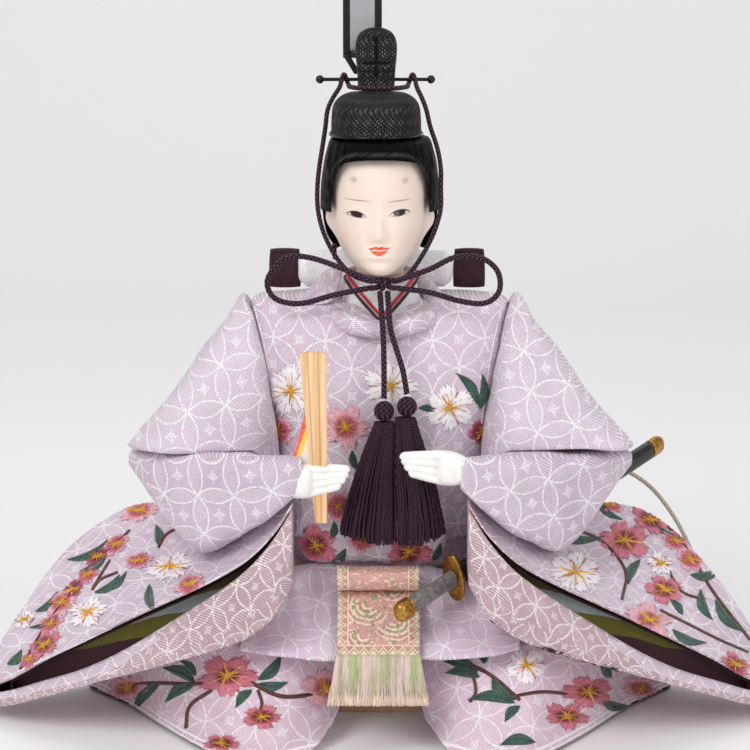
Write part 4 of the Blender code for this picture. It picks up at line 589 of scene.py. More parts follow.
def skin_look():
    """Polished shell white, with a painted soft edge at the hairline, brow spots and a little warmth on the cheeks."""
    m = Look("face_white", 0.5, specular_ior_level=0.3, coat_weight=0.04, coat_roughness=0.3)
    x, y, z = m.parts(m.place)
    soft = m.noise(m.place, 140.0, 2.0)
    base = m.mix(m.ramp(soft, 0.3, 0.7), linear((243, 223, 208)), linear((246, 228, 214)))
    front = m.ramp(y, -0.008, -0.014)
    centre = m.do("SUBTRACT", x, FACE_X)
    for spot_x, spot_z, wide, high, rgb, strength in FACE_SPOTS:
        a = m.do("DIVIDE", m.do("SUBTRACT", centre, spot_x), wide)
        b = m.do("DIVIDE", m.do("SUBTRACT", z, spot_z), high)
        away = m.do("SQRT", m.do("ADD", m.do("MULTIPLY", a, a), m.do("MULTIPLY", b, b)))
        share = m.do("MULTIPLY", m.do("MULTIPLY", m.ramp(away, 0.25, 1.0, 1, 0), front), strength)
        base = m.mix(share, base, linear(rgb))
    away = m.do("DIVIDE", m.do("ABSOLUTE", centre), 0.0159)
    edge = m.do("SUBTRACT", 0.1893, m.do("MULTIPLY", m.do("POWER", away, 6.5), 0.0114))
    streak = m.noise(m.scaled(m.place, (2600.0, 300.0, 120.0)), 1.0, 2.0)
    edge = m.do("ADD", edge, m.do("MULTIPLY", streak, -0.0016))
    share = m.ramp(m.do("SUBTRACT", z, edge), -0.0016, 0.0012)
    share = m.do("MULTIPLY", share, m.ramp(away, 0.62, 0.86, 0.45, 0.0))
    m.colour(m.mix(share, base, linear((132, 120, 116))))
    m.bump(m.noise(m.place, 700.0, 2.0), 0.0001, 0.15)
    return m.made


FACE_X = -0.0006
FACE_SPOTS = [  # across, up, half width, half height, colour, strength
    (-0.0079, 0.1827, 0.0017, 0.0016, (176, 164, 158), 0.55),
    (0.0086, 0.1824, 0.0017, 0.0016, (176, 164, 158), 0.55),
    (-0.0105, 0.163, 0.0065, 0.006, (247, 208, 196), 0.35),
    (0.0105, 0.163, 0.0065, 0.006, (247, 208, 196), 0.35),
    (0.0, 0.1532, 0.0045, 0.003, (247, 214, 202), 0.3),
]


def brocade_look():
    """Metallic pink brocade: toothed borders, a thin cream frame, fans of curved stripes and green bits."""
    m = Look("sash_brocade", 0.42, sheen_weight=0.1, metallic=0.15)
    x, y, z = m.parts(m.place)
    x = m.do("ADD", x, 0.0006)
    along = m.do("MULTIPLY", m.do("SUBTRACT", z, 0.0348), 1.5)
    fine = m.noise(m.scaled(m.place, (2400.0, 900.0, 2400.0)), 1.0, 2.0)
    wave = m.do("MULTIPLY", m.noise(m.place, 420.0, 2.0), 0.0016)
    cream, green, rose = linear((238, 214, 190)), linear((134, 150, 92)), linear((206, 148, 142))
    shown = rose
    for cx, cz, reach in ((-0.0035, 0.0185, 0.0085), (0.0052, 0.0125, 0.0080), (-0.0050, 0.0068, 0.0060), (0.004, 0.0255, 0.006)):
        a, b = m.do("SUBTRACT", x, cx), m.do("SUBTRACT", along, cz)
        away = m.do("ADD", m.do("SQRT", m.do("ADD", m.do("MULTIPLY", a, a), m.do("MULTIPLY", b, b))), wave)
        side = m.ramp(m.do("ADD", m.do("MULTIPLY", a, 0.6 if cx < 0 else -0.6), b), 0.0002, -0.0004)
        inside = m.do("MULTIPLY", m.ramp(away, reach, reach + 0.0003, 1, 0), side)
        stripe = m.do("SINE", m.do("MULTIPLY", away, 2 * math.pi / 0.0019))
        fan = m.mix(m.ramp(stripe, -0.1, 0.3), linear((190, 128, 124)), cream)
        fan = m.mix(m.band(away, reach * 0.62, 0.0003, 0.0002), fan, green)
        shown = m.mix(inside, shown, fan)
    bits = m.ramp(m.noise(m.place, 560.0, 1.0), 0.60, 0.64)
    shown = m.mix(bits, shown, green)
    shown = m.mix(m.ramp(m.noise(m.scaled(m.place, (1, 1, 1.4)), 760.0, 1.0), 0.60, 0.65), shown, cream)
    wide = m.do("ABSOLUTE", x)
    tooth = m.do("ABSOLUTE", m.do("SUBTRACT", m.do("FLOORED_MODULO", m.do("DIVIDE", along, 0.0031), 1.0), 0.5))
    low_tooth = m.do("ABSOLUTE", m.do("SUBTRACT", m.do("FLOORED_MODULO", m.do("DIVIDE", x, 0.0031), 1.0), 0.5))
    for gone, teeth in ((m.do("SUBTRACT", wide, 0.0098), tooth), (m.do("SUBTRACT", 0.0032, along), low_tooth)):
        edge = m.do("SUBTRACT", gone, m.do("MULTIPLY", teeth, 0.0044))
        border = m.mix(m.ramp(edge, 0.0, 0.0003), linear((196, 128, 116)), cream)
        border = m.mix(m.band(edge, 0.0012, 0.0002, 0.0002), border, green)
        shown = m.mix(m.ramp(gone, 0.0, 0.0002), shown, border)
        shown = m.mix(m.band(gone, 0.0, 0.00018, 0.00015), shown, cream)
    m.colour(m.mix(m.ramp(fine, 0.35, 0.75, 0, 0.4), shown, linear((250, 226, 208))))
    m.rough(m.ramp(fine, 0.2, 0.8, 0.5, 0.32))
    m.bump(fine, 0.0004, 0.9)
    return m.made


def fringe_look():
    m = Look("fringe_threads", 0.6, sheen_weight=0.2)
    x, y, z = m.parts(m.place)
    places = m.do("SINE", m.do("ADD", m.do("MULTIPLY", x, 2 * math.pi / 0.0098), m.do("MULTIPLY", m.noise(m.place, 200.0), 1.5)))
    high = m.ramp(z, 0.0240, 0.0285)
    wide = m.noise(m.scaled(m.place, (520.0, 1, 30.0)), 1.0, 2.0)
    shown = m.mix(m.ramp(wide, 0.42, 0.60), linear((202, 186, 162)), linear((236, 214, 204)))
    shown = m.mix(m.do("MULTIPLY", m.ramp(places, 0.2, 0.9), m.ramp(high, 0.0, 1.0, 0.12, 0.8)), shown, linear((182, 196, 140)))
    shown = m.mix(m.ramp(z, 0.0235, 0.0205), shown, linear((253, 228, 208)))
    m.colour(shown)
    m.bump(m.noise(m.scaled(m.place, (3000.0, 3000.0, 200.0)), 1.0, 2.0), 0.0004, 0.7)
    return m.made


def layers_look():
    """The inner robes as the sleeve mouth shows them: olive, grey white, olive and maroon, one in front of the next."""
    m = Look("inner_robe_colours", 0.75)
    x, y, z = m.parts(m.place)
    x = m.do("ABSOLUTE", x)
    rise = m.do("ADD", m.do("SUBTRACT", z, 0.0905), m.do("MULTIPLY", x, 0.654))
    spot = m.do("SUBTRACT", x, m.do("MULTIPLY", rise, 3.0))
    spot = m.do("ADD", spot, m.do("MULTIPLY", m.noise(m.place, 90.0), 0.008))
    shown = linear((46, 14, 24))
    for edge, rgb in ((0.044, (104, 96, 26)), (0.064, (168, 176, 178)), (0.078, (110, 102, 28)), (0.094, (66, 24, 36))):
        shown = m.mix(m.ramp(spot, edge - 0.0004, edge + 0.0004), shown, linear(rgb))
    fine = m.noise(m.place, 1300.0, 3.0)
    m.colour(m.mix(m.ramp(fine, 0.3, 0.8, 0, 0.2), shown, linear((20, 16, 16))))
    m.bump(fine, 0.0002, 0.4)
    return m.made


# ---------------------------------------------------------------- cords
LOOP_RIGHT = [(-3.6, -23.2, 150.0), (-11.4, -23, 153.6), (-22.8, -21.5, 157.3), (-30.9, -20.5, 156.9), (-36.6, -20, 149.9),
              (-34.3, -20.5, 143.9), (-26.1, -21, 142.2), (-14.7, -22.5, 145.3), (-3.6, -23.2, 147.6)]
LOOP_LEFT = [(5.6, -23.2, 150.0), (16.1, -23, 153.8), (24.2, -21.5, 157.4), (32.4, -20.5, 157.2), (38, -20, 152.8),
             (38.7, -20, 146.2), (34.2, -20.5, 142.3), (26, -21, 143), (16.2, -22.5, 146), (5.6, -23.2, 147.6)]
DROP_RIGHT = [(-0.1, -23.5, 146.3), (0.4, -28.9, 140.5), (1.0, -31, 132), (1.2, -32.6, 122), (1.2, -34, 113.2)]
DROP_LEFT = [(2.4, -23.5, 146.3), (2.8, -28.9, 140.5), (3.3, -30.3, 135.5), (5.0, -31.4, 129.5), (7.2, -32.7, 122.5),
             (8.6, -34, 114.7)]
CHIN_RIGHT = [(-13.1, 4.7, 211.2), (-14.0, 3.2, 209.6), (-15.5, 1.4, 207.4), (-17.3, -0.5, 203.5), (-18.0, -2.5, 198),
              (-18.9, -6, 192), (-19.9, -9.5, 185.5), (-20.5, -11.2, 179), (-20.4, -12.2, 172.5), (-19.2, -12.6, 166.5),
              (-17.0, -13.5, 161), (-13.4, -16, 155.3), (-8.6, -19.0, 151.0), (-3.7, -20.8, 149.5)]
CHIN_LEFT = [(11.9, 4.7, 211.2), (12.6, 3.2, 209.6), (13.7, 1.4, 207.4), (15.2, -0.5, 203.5), (16.5, -2.5, 198),
             (18.7, -6, 191.5), (19.8, -9.5, 185), (19.8, -11.2, 179), (19.8, -12.2, 172.5), (18.5, -12.6, 167),
             (16.4, -13.5, 161.8), (13.0, -16, 156.1), (9.2, -19.0, 151.4), (5.7, -20.8, 149.5)]
WRAP = [(-10.3, 5.0, 211.0), (-9.9, 0, 211.0), (-6.6, -6.0, 210.9), (-0.7, -8.2, 210.9), (5.3, -6.0, 210.9),
        (8.7, 0, 211.0), (9.2, 5.0, 211.0)]
CORD_END = [(-15.0, -11.9, 160.6), (-15.0, -11.9, 158), (-14.8, -11.9, 155.6)]
BACK_CORD = [(44, 38.2, 46), (52, 43, 53), (61, 48, 61), (72, 50, 68), (84, 50, 71.5), (96, 48.5, 66), (105, 45, 56),
             (111, 38, 45), (114, 27, 35), (115, 14.5, 28)]
CORD_RADIUS, CHIN_RADIUS, END_RADIUS = 0.95 * MM, 0.8 * MM, 0.8 * MM
PIN_AT, PIN_TURNS = (7.5 * MM, 213 * MM), ((-12.8 * MM, -10.4 * MM), (11.6 * MM, 9.2 * MM))
KNOT_AT, KNOT_HALF = (1.0 * MM, -22.6 * MM, 148.8 * MM), (4.3 * MM, 2.5 * MM, 2.1 * MM)
BALLS = {"right": (1.2 * MM, -34.6 * MM, 109.3 * MM), "left": (8.6 * MM, -34.6 * MM, 110.8 * MM)}
BALL_RADIUS = 3.3 * MM


def metres(route, count=60):
    return spline(np.array(route, float) * MM, count)


def free_cord(name, node, route, look, radius, body):
    path = metres(route)
    made = braid(name, path, radius, look)
    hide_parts(node)
    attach(made, body)
    return made


def pin_turn(ends):
    points = []
    for share in np.linspace(0, 1, 8):
        angle = math.pi * (1 - 1.5 * share)
        x = ends[0] + (ends[1] - ends[0]) * share
        points.append((x, PIN_AT[0] + 1.75 * MM * math.cos(angle), PIN_AT[1] + 1.75 * MM * math.sin(angle)))
    return points


def cords(look, cream):
    path = list(metres(CHIN_RIGHT[::-1])) + pin_turn(PIN_TURNS[0])
    path += list(metres(WRAP, 30)) + pin_turn(PIN_TURNS[1])[::-1] + list(metres(CHIN_LEFT))
    path = spline(path, 480)
    for _ in range(6):
        path[1:-1] = (path[:-2] + path[1:-1] * 2 + path[2:]) / 4
    chin = braid("chin_cord_braid", path, CHIN_RADIUS, look)
    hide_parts("chin_cord")
    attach(chin, "head")
    free_cord("bow_braid_right", "bow_loop_right", LOOP_RIGHT, look, CORD_RADIUS, "head")
    free_cord("bow_braid_left", "bow_loop_left", LOOP_LEFT, look, CORD_RADIUS, "head")
    free_cord("cord_end_braid", "cord_end", CORD_END, look, END_RADIUS, "head")
    free_cord("drop_braid_right", "drop_cord_right", DROP_RIGHT, look, CORD_RADIUS, "tassel_right")
    free_cord("drop_braid_left", "drop_cord_left", DROP_LEFT, look, CORD_RADIUS, "tassel_left")
    free_cord("back_cord_twist", "back_cord", BACK_CORD, cream, 0.8 * MM, "body")


def bow_knot(look):
    """The cord's own ends crossed flat and held by one turn round the middle."""
    x, y, z = (c / MM for c in KNOT_AT)
    parts = []
    for route in ([(-4.55, -0.6, 1.2), (-2.2, -0.9, 1.2), (0.6, -0.2, 0), (2.6, -0.7, -1.0), (4.55, -0.6, -1.2)],
                  [(-4.55, -0.6, -1.2), (-2.2, 0.1, -1.1), (0.4, 0.9, 0), (2.4, 0.3, 1.1), (4.55, -0.6, 1.2)],
                  [(-4.6, 1.8, 0.7), (-1.5, 1.5, 1.0), (1.5, 1.5, 1.0), (4.6, 1.8, 0.7)]):
        parts.append(braid("crossed", metres([(x + a, y + b, z + c) for a, b, c in route], 30), 0.95 * MM, look))
    turn = np.linspace(0, 2 * math.pi, 28, endpoint=False)
    path = [((x + 0.1 + 0.5 * math.sin(a)) * MM, (y + 0.15 + 1.55 * math.cos(a)) * MM, (z - 0.1 + 1.25 * math.sin(a)) * MM) for a in turn]
    parts.append(skin("turn", ring_rings(path, 0.98 * MM, 10), look, True))
    made = join("bow_knot_turns", parts)
    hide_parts("bow_knot")
    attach(made, "head")


def ring_rings(path, radius, around):
    """Rings square to a closed path; the first ring comes again at the end."""
    path = np.asarray(path, float)
    ahead = np.roll(path, -1, 0) - np.roll(path, 1, 0)
    ahead /= np.linalg.norm(ahead, axis=1)[:, None]
    centre = path.mean(0)
    rings = []
    for p, way in zip(path, ahead):
        out = p - centre
        out -= way * out.dot(way)
        out /= np.linalg.norm(out)
        up = np.cross(way, out)
        angle = np.linspace(0, 2 * math.pi, around, endpoint=False)
        rings.append(p + radius * (np.cos(angle)[:, None] * out + np.sin(angle)[:, None] * up))
    rings.append(rings[0])
    return np.array(rings)


def tassel(word, side, look, strand_look):
    """A ball wound with thread over a fan of twisted strands."""
    ball = np.array(BALLS[word])
    rng = np.random.default_rng(5 if side > 0 else 6)
    body = "tassel_" + word
    turns, path = 15, []
    for k in range(turns * 26):
        share = k / (turns * 26 - 1)
        polar = math.pi * (0.06 + 0.88 * share)
        angle = 2 * math.pi * turns * share
        r = BALL_RADIUS * 0.9
        way = (math.sin(polar) * math.cos(angle), math.sin(polar) * math.sin(angle), math.cos(polar))
        path.append(ball + r * np.array(way))
    wound = skin("wound", tube_rings(path, 0.36 * MM, 6), look, True, True)
    angle = np.linspace(0, math.pi, 16)[1:-1]
    core = [[ball + BALL_RADIUS * 0.93 * np.array((math.sin(a) * math.cos(t), math.sin(a) * math.sin(t), math.cos(a)))
             for t in np.linspace(0, 2 * math.pi, 24, endpoint=False)] for a in angle]
    knot = join("tassel_ball_" + word, [wound, skin("core", core, look, True, True)])
    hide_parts("tassel_knot_" + word)
    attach(knot, body)
    top = ball[2] - BALL_RADIUS - 0.3 * MM
    verts, faces, uvs = [], [], []
    for _ in range(FRINGE_STRANDS):
        a, b = rng.uniform(-1, 1), rng.uniform(-1, 1)
        b = math.copysign(abs(b) ** 0.6, b)
        limit = math.sqrt(max(0.0, 1 - abs(a) ** 2.3))
        foot = FRINGE_FOOT + rng.uniform(0, 1.4) * MM + 3.4 * MM * abs((a * side + 1) / 2) ** 3
        route = []
        for down in np.linspace(0, 1, 9):
            z = top + (foot - top) * down
            shares = np.interp((top - z) / (top - FRINGE_FOOT), *np.array(FRINGE_SHARES).T[[0, 1]]), np.interp(
                (top - z) / (top - FRINGE_FOOT), *np.array(FRINGE_SHARES).T[[0, 2]])
            split = 4.75 * MM + side * 0.3 * MM + 0.02 * (top - z)
            outer = ball[0] + side * (12.4 if side > 0 else 14.5) * MM * shares[0]
            x = split + (outer - split) * (a * side + 1) / 2
            y = ball[1] - 6.5 * MM * (top - z) / (top - FRINGE_FOOT) + 3.9 * MM * shares[1] * b * limit
            sway = 0.25 * MM * down
            route.append((x + rng.normal() * sway * 0.5, y + rng.normal() * sway * 0.4, z))
        rings = tube_rings(spline(route, 44), STRAND_RADIUS, 5, 0.62, 0.85 if rng.random() < 0.5 else -0.85)
        v, f, t = skin_data(rings, True, True)
        base = len(verts)
        verts += v
        faces += [tuple(base + k for k in face) for face in f]
        uvs += t
    skirt = mesh_object("tassel_strands_" + word, verts, faces, strand_look, uvs)
    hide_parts("tassel_fringe_" + word)
    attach(skirt, body)


FRINGE_STRANDS, STRAND_RADIUS, FRINGE_FOOT = 150, 0.42 * MM, 66.8 * MM
FRINGE_SHARES = [(0.0, 0.20, 0.60), (0.08, 0.28, 0.68), (0.30, 0.52, 0.80), (0.60, 0.80, 0.92), (0.90, 1.0, 1.0), (1.0, 0.97, 0.95)]


# ---------------------------------------------------------------- head
HEAD_TOP, HEAD_BASE, HEAD_HALF, HEAD_FRONT, HEAD_BACK = 203 * MM, 141.3 * MM, 16.5 * MM, 26.5 * MM, 21.5 * MM
HEAD_SHARES = [(0.0, 0.48, 0.22, 0.43), (0.13, 0.48, 0.22, 0.43), (0.148, 0.44, 0.55, 0.44), (0.165, 0.44, 0.86, 0.46),
               (0.19, 0.56, 0.955, 0.51), (0.23, 0.69, 0.985, 0.62), (0.28, 0.80, 1.0, 0.74), (0.35, 0.89, 0.985, 0.86),
               (0.43, 0.955, 0.98, 0.94), (0.52, 0.985, 0.965, 0.98), (0.61, 1.0, 0.985, 1.0), (0.71, 0.985, 0.97, 0.98),
               (0.81, 0.90, 0.86, 0.84), (0.86, 0.79, 0.70, 0.66), (0.90, 0.68, 0.60, 0.56), (0.97, 0.44, 0.40, 0.38),
               (1.0, 0.18, 0.15, 0.16)]


def bell(value, middle, width):
    return np.exp(-(((value - middle) / width) ** 2))


def head(look):
    rings = stacked(HEAD_SHARES, HEAD_BASE, HEAD_TOP, HEAD_HALF, HEAD_FRONT, HEAD_BACK, 150, 160, 2.0)
    x, y, z = rings[..., 0], rings[..., 1], rings[..., 2]
    front = np.clip((-y - 4 * MM) / (6 * MM), 0, 1)
    mx, mz = (x - FACE_X) / MM, z / MM
    ridge = np.interp(mz, [160.8, 162.6, 164.2, 165.6, 168, 172, 176, 180], [0, 0.3, 0.85, 1.0, 0.82, 0.45, 0.22, 0])
    nose = 2.75 * bell(mx, 0, np.interp(mz, [163, 166, 176], [2.1, 1.9, 2.6])) * ridge
    wings = 0.75 * (bell(mx, -2.1, 1.15) + bell(mx, 2.1, 1.15)) * bell(mz, 164.3, 1.4)
    sockets = -0.75 * (bell(mx, -7.0, 4.6) + bell(mx, 7.0, 4.6)) * bell(mz, 173.0, 3.0)
    lids = 0.62 * (bell(mx, -7.2, 3.7) + bell(mx, 7.2, 3.7)) * bell(mz, 171.2, 2.3)
    lips = 0.62 * bell(mx, 0, 3.2) * bell(mz, 160.2, 0.95) + 0.72 * bell(mx, 0, 2.7) * bell(mz, 158.0, 1.15)
    parting = -0.5 * bell(mx, 0, 3.6) * bell(mz, 159.15, 0.42)
    philtrum = -0.2 * bell(mx, 0, 0.8) * bell(mz, 162.0, 0.9)
    chin = 0.55 * bell(mx, 0, 4.2) * bell(mz, 153.8, 2.4) - 0.35 * bell(mx, 0, 4.5) * bell(mz, 156.1, 1.0)
    cheeks = 0.45 * (bell(mx, -8.5, 4.5) + bell(mx, 8.5, 4.5)) * bell(mz, 163.5, 5.0)
    rings[..., 1] -= (nose + wings + sockets + lids + lips + parting + philtrum + chin + cheeks) * MM * front
    hy = y / MM
    ear = bell(hy, 1.5, 3.0) * bell(mz, 167.5, 4.6) * (np.abs(x) > HEAD_HALF / 2)
    bowl = bell(hy, 0.6, 1.3) * bell(mz, 168.2, 2.6) * (np.abs(x) > HEAD_HALF / 2)
    rings[..., 0] += np.sign(x) * (2.9 * ear - 1.1 * bowl) * MM
    made = skin("face_and_neck", rings, look, True, True)
    face_out(made, (0, 0, 0.17))
    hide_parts("head")
    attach(made, "head")
    return made


HAIR_TOP, HAIR_BASE, HAIR_HALF, HAIR_FRONT, HAIR_BACK = 206 * MM, 157 * MM, 19.6 * MM, 27.8 * MM, 25.5 * MM
HAIR_SHARES = [(0.0, 0.79, 0.29, 0.82), (0.10, 0.93, 0.50, 0.92), (0.27, 1.0, 0.72, 0.98), (0.43, 1.0, 0.90, 1.0),
               (0.59, 0.95, 1.0, 0.96), (0.69, 0.89, 0.985, 0.90), (0.755, 0.83, 0.89, 0.83), (0.785, 0.70, 0.66, 0.63),
               (0.90, 0.62, 0.58, 0.54), (0.985, 0.44, 0.40, 0.40), (1.0, 0.20, 0.18, 0.18)]
HAIRLINE_TOP, HAIRLINE_HALF, HAIRLINE_CURVE = 189.3 * MM, 15.9 * MM, 11.4 * MM
HAIRLINE = [(1.0, 1.0), (0.97, 0.75), (0.90, 0.46), (0.83, 0.27), (0.70, 0.11), (0.35, 0.02), (0.0, 0.0)]  # across, down


def prism(name, outline, near, far):
    """A cutter: an outline in x and z, run through along y."""
    rings = [[(x, y, z) for x, z in outline] for y in (near, far)]
    made = skin(name, rings, [], True, True)
    shape = bmesh.new()
    shape.from_mesh(made.data)
    bmesh.ops.recalc_face_normals(shape, faces=shape.faces)
    shape.to_mesh(made.data)
    shape.free()
    return made


def carve(obj, cutters):
    for cutter in cutters:
        step = obj.modifiers.new("cut", "BOOLEAN")
        step.operation, step.solver, step.use_self, step.object = "DIFFERENCE", "EXACT", False, cutter
    bpy.context.view_layer.update()
    apply(obj)
    for cutter in cutters:
        bpy.data.objects.remove(cutter, do_unlink=True)
    obj.data.set_sharp_from_angle(angle=math.radians(50))


def hair(look):
    rings = stacked(HAIR_SHARES, HAIR_BASE, HAIR_TOP, HAIR_HALF, HAIR_FRONT, HAIR_BACK, 90, 120, 2.1)
    out = grid_normals(rings, True)
    angle = np.arctan2(rings[..., 1], rings[..., 0])
    locks = 0.18 * np.sin(angle * 46 + 2 * np.sin(angle * 7)) + 0.12 * np.sin(angle * 101)
    rings = rings + out * (locks * MM)[..., None] * (1 if out[40, 0, 0] > 0 else -1)
    made = skin("hair_combed", rings, look, True, True)
    face_out(made, (0, 0, 0.18))
    foot = HAIR_BASE - 8 * MM
    edge = spline([(across, down) for across, down in HAIRLINE], 30)
    edge = [(HAIRLINE_HALF * across, HAIRLINE_TOP - HAIRLINE_CURVE * down) for across, down in edge]
    arch = [(HAIRLINE_HALF, foot)] + edge + [(-x, z) for x, z in edge[-2::-1]] + [(-HAIRLINE_HALF, foot)]
    ears = [(30 * MM, foot), (30 * MM, 171 * MM), (-30 * MM, 171 * MM), (-30 * MM, foot)]
    inner = stacked([(h, w * 0.93, f * 0.93, b * 0.93) for h, w, f, b in HAIR_SHARES[:7]], HAIR_BASE - 0.5 * MM,
                    HAIR_TOP - 14 * MM, HAIR_HALF, HAIR_FRONT, HAIR_BACK, 30, 60, 2.1)
    hollow = skin("hollow", inner, [], True, True)
    face_out(hollow, (0, 0, 0.18))
    carve(made, [prism("window", arch, -40 * MM, -3 * MM), prism("ears", ears, -40 * MM, 5.5 * MM), hollow])
    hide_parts("hair")
    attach(made, "head")


# ---------------------------------------------------------------- hat
HAT_X, CROWN_Y = -1.3 * MM, 7.5 * MM
CAP_SHARES = [(0.0, 0.985, 0.985, 0.985), (0.05, 1.0, 1.0, 1.0), (0.10, 0.99, 0.985, 0.985), (0.13, 0.972, 0.965, 0.965),
              (0.40, 0.965, 0.955, 0.955), (0.68, 0.93, 0.91, 0.92), (0.86, 0.82, 0.80, 0.82), (0.97, 0.64, 0.62, 0.66),
              (1.0, 0.44, 0.42, 0.46)]
CROWN_SHARES = [(0.0, 0.88, 1.0, 2.3), (0.26, 0.91, 0.97, 2.3), (0.33, 0.93, 0.95, 0.98), (0.62, 1.0, 0.90, 0.90),
                (0.80, 0.96, 0.86, 0.86), (0.92, 0.76, 0.80, 0.80), (0.98, 0.46, 0.70, 0.70), (1.0, 0.22, 0.55, 0.55)]
TAIL = {"top": 320 * MM, "base": 219.7 * MM, "y": 14.6 * MM, "lean": 7 * MM, "left": 0.6 * MM, "right": -12.4 * MM}
TAIL_BORDER, TAIL_THICK = 2.0 * MM, 0.8 * MM


def on_head(made, node):
    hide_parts(node)
    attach(made, "head")
    return made


def hat(gauze, lacquer, black):
    rings = stacked(CAP_SHARES, 195 * MM, 209.3 * MM, 15.3 * MM, 20.5 * MM, 18 * MM, 60, 96, 2.3, HAT_X)
    cap = skin("hat_cap_gauze", rings, gauze, True, True)
    face_out(cap, (0, 0, 0.2))
    path = [p for p in rings[2]]
    rim = skin("rim", ring_rings(path, 0.42 * MM, 8), lacquer, True)
    on_head(join("hat_cap_gauze", [cap, rim]), "hat_cap")
    rings = stacked(CROWN_SHARES, 209.7 * MM, 230 * MM, 6.9 * MM, 4.3 * MM, 4.3 * MM, 60, 80, 3.2, HAT_X, CROWN_Y)
    front = rings[..., 1] < CROWN_Y
    x, z = (rings[..., 0] - HAT_X) / MM, rings[..., 2] / MM
    slit = 0.8 * bell(x, 0, 0.55) * ((z > 213.5) & (z < 227)) + 0.7 * bell(z, 218.4, 0.5) * (np.abs(x) < 4.2)
    rings[..., 1] += slit * MM * front
    crown = skin("hat_crown_gauze", rings, gauze, True, True)
    face_out(crown, (HAT_X, CROWN_Y, 0.22))
    on_head(crown, "hat_crown")
    pin = [(-19.9 - 1.45, 0.3), (-19.9 - 1.1, 1.0), (-19.9, 1.45), (-19.9 + 1.1, 1.0), (-18.4, 0.62), (15.3, 0.62),
           (16.8 - 1.1, 1.0), (16.8, 1.45), (16.8 + 1.1, 1.0), (16.8 + 1.45, 0.3)]
    stations = spline(np.array(pin) * MM, 90)
    angle = np.linspace(0, 2 * math.pi, 20, endpoint=False)
    rings = [[(sx, PIN_AT[0] + r * math.cos(a), PIN_AT[1] + r * math.sin(a)) for a in angle] for sx, r in stations]
    on_head(skin("hat_pin_turned", rings, lacquer, True, True), "hat_pin")
    hat_tail(black)


def tail_y(z):
    share = np.maximum(0, (z - TAIL["base"]) / (TAIL["top"] - TAIL["base"]))
    return TAIL["y"] + TAIL["lean"] * share**2


def strip(name, x0, x1, z0, z1, y, thick, look, columns=6, rows=40):
    """A thin upright plate that follows the tail's lean, with rounded long edges."""
    zs = np.linspace(z0, z1, rows)
    section = [(x0, 0.3), (x0 + 0.12 * MM, 0)] + [(x, 0) for x in np.linspace(x0, x1, columns)[1:-1]]
    section += [(x1 - 0.12 * MM, 0), (x1, 0.3), (x1, 0.7), (x1 - 0.12 * MM, 1)]
    section += [(x, 1) for x in np.linspace(x1, x0, columns)[1:-1]] + [(x0 + 0.12 * MM, 1), (x0, 0.7)]
    rings = [[(x, tail_y(z) + y + thick * share, z) for x, share in section] for z in zs]
    return skin(name, rings, look, True, True)


def hat_tail(black):
    gauze = Look("tail_gauze_weave", 0.55)
    x, _, z = gauze.parts(gauze.place)
    a = gauze.do("SINE", gauze.do("MULTIPLY", x, 2 * math.pi / 0.0007))
    b = gauze.do("SINE", gauze.do("MULTIPLY", z, 2 * math.pi / 0.0007))
    weave = gauze.ramp(gauze.do("MULTIPLY", a, b), -0.2, 0.5)
    gauze.colour(gauze.mix(weave, linear((146, 143, 148)), linear((206, 203, 206))))
    gauze.bump(weave, 0.0002, 0.5)
    left, right, top, base = TAIL["left"], TAIL["right"], TAIL["top"], TAIL["base"]
    border = TAIL_BORDER + 0.35 * MM
    foot = strip("f", right, right + border, 214.4 * MM, base + 1.2 * MM, 0, TAIL_THICK, black, 4, 12)
    for corner in foot.data.vertices:
        corner.co.x += 3.7 * MM * min(1.0, max(0.0, (base + 0.8 * MM - corner.co.z) / (6.1 * MM)))
    parts = [
        foot,
        strip("a", right, right + border, base, top, 0, TAIL_THICK, black),
        strip("b", left - border, left, base, top, 0, TAIL_THICK, black),
        strip("c", right + border, left - border, base, base + border, 0, TAIL_THICK, black, 4, 4),
        strip("d", right + border, left - border, top - border, top, 0, TAIL_THICK, black, 4, 4),
        strip("e", -5.7 * MM, -0.9 * MM, 211 * MM, base, 0, TAIL_THICK, black, 4, 6),
    ]
    frame = join("tail_frame_edge", parts)
    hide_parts("tail_frame")
    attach(frame, "hat_tail")
    inner = TAIL_BORDER + 0.3 * MM
    panel = strip("tail_gauze_panel", right + inner, left - inner, base + inner, top - inner, 0.15 * MM, 0.5 * MM, gauze.made, 14, 60)
    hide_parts("tail_gauze")
    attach(panel, "hat_tail")


# ---------------------------------------------------------------- robes
def lay_pattern(obj, up=(0, 0, 1), across=(1, 0, 0), under=None):
    """The woven pattern runs flat over the piece, as cut from one length of brocade."""
    mesh = obj.data
    layer = mesh.uv_layers[0].data
    up, across = Vector(up), Vector(across)
    for poly in mesh.polygons:
        rise = Vector(under) if under and poly.normal.z < 0 else up
        run = Vector((0, 1, 0)) if abs(poly.normal.x) > 0.83 else across
        for k in poly.loop_indices:
            co = mesh.vertices[mesh.loops[k].vertex_index].co
            layer[k].uv = (co.dot(run), co.z if run is not across else co.dot(rise))


def dress(made, node, body="body"):
    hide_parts(*([node] if isinstance(node, str) else node))
    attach(made, body)
    return made


def crumpled(rings, closed, size, height, seed, rim=0.0):
    """The same grid with gentle dents: the cloth's stiffness sets their size."""
    out = grid_normals(rings, closed)
    dents = waves(rings, size, seed) + 0.45 * waves(rings, size * 0.45, seed + 50)
    creases = 1 - np.abs(waves(rings * (1, 1, 0.6), size * 1.3, seed + 90))
    lift = height * (dents + 0.6 * np.clip(creases - 0.75, 0, 1) * 4)
    if rim:
        span = np.linspace(0, 1, len(rings))
        lift = lift * np.clip(np.minimum(span, 1 - span) / rim, 0.15, 1)[:, None]
    return rings + out * lift[..., None]


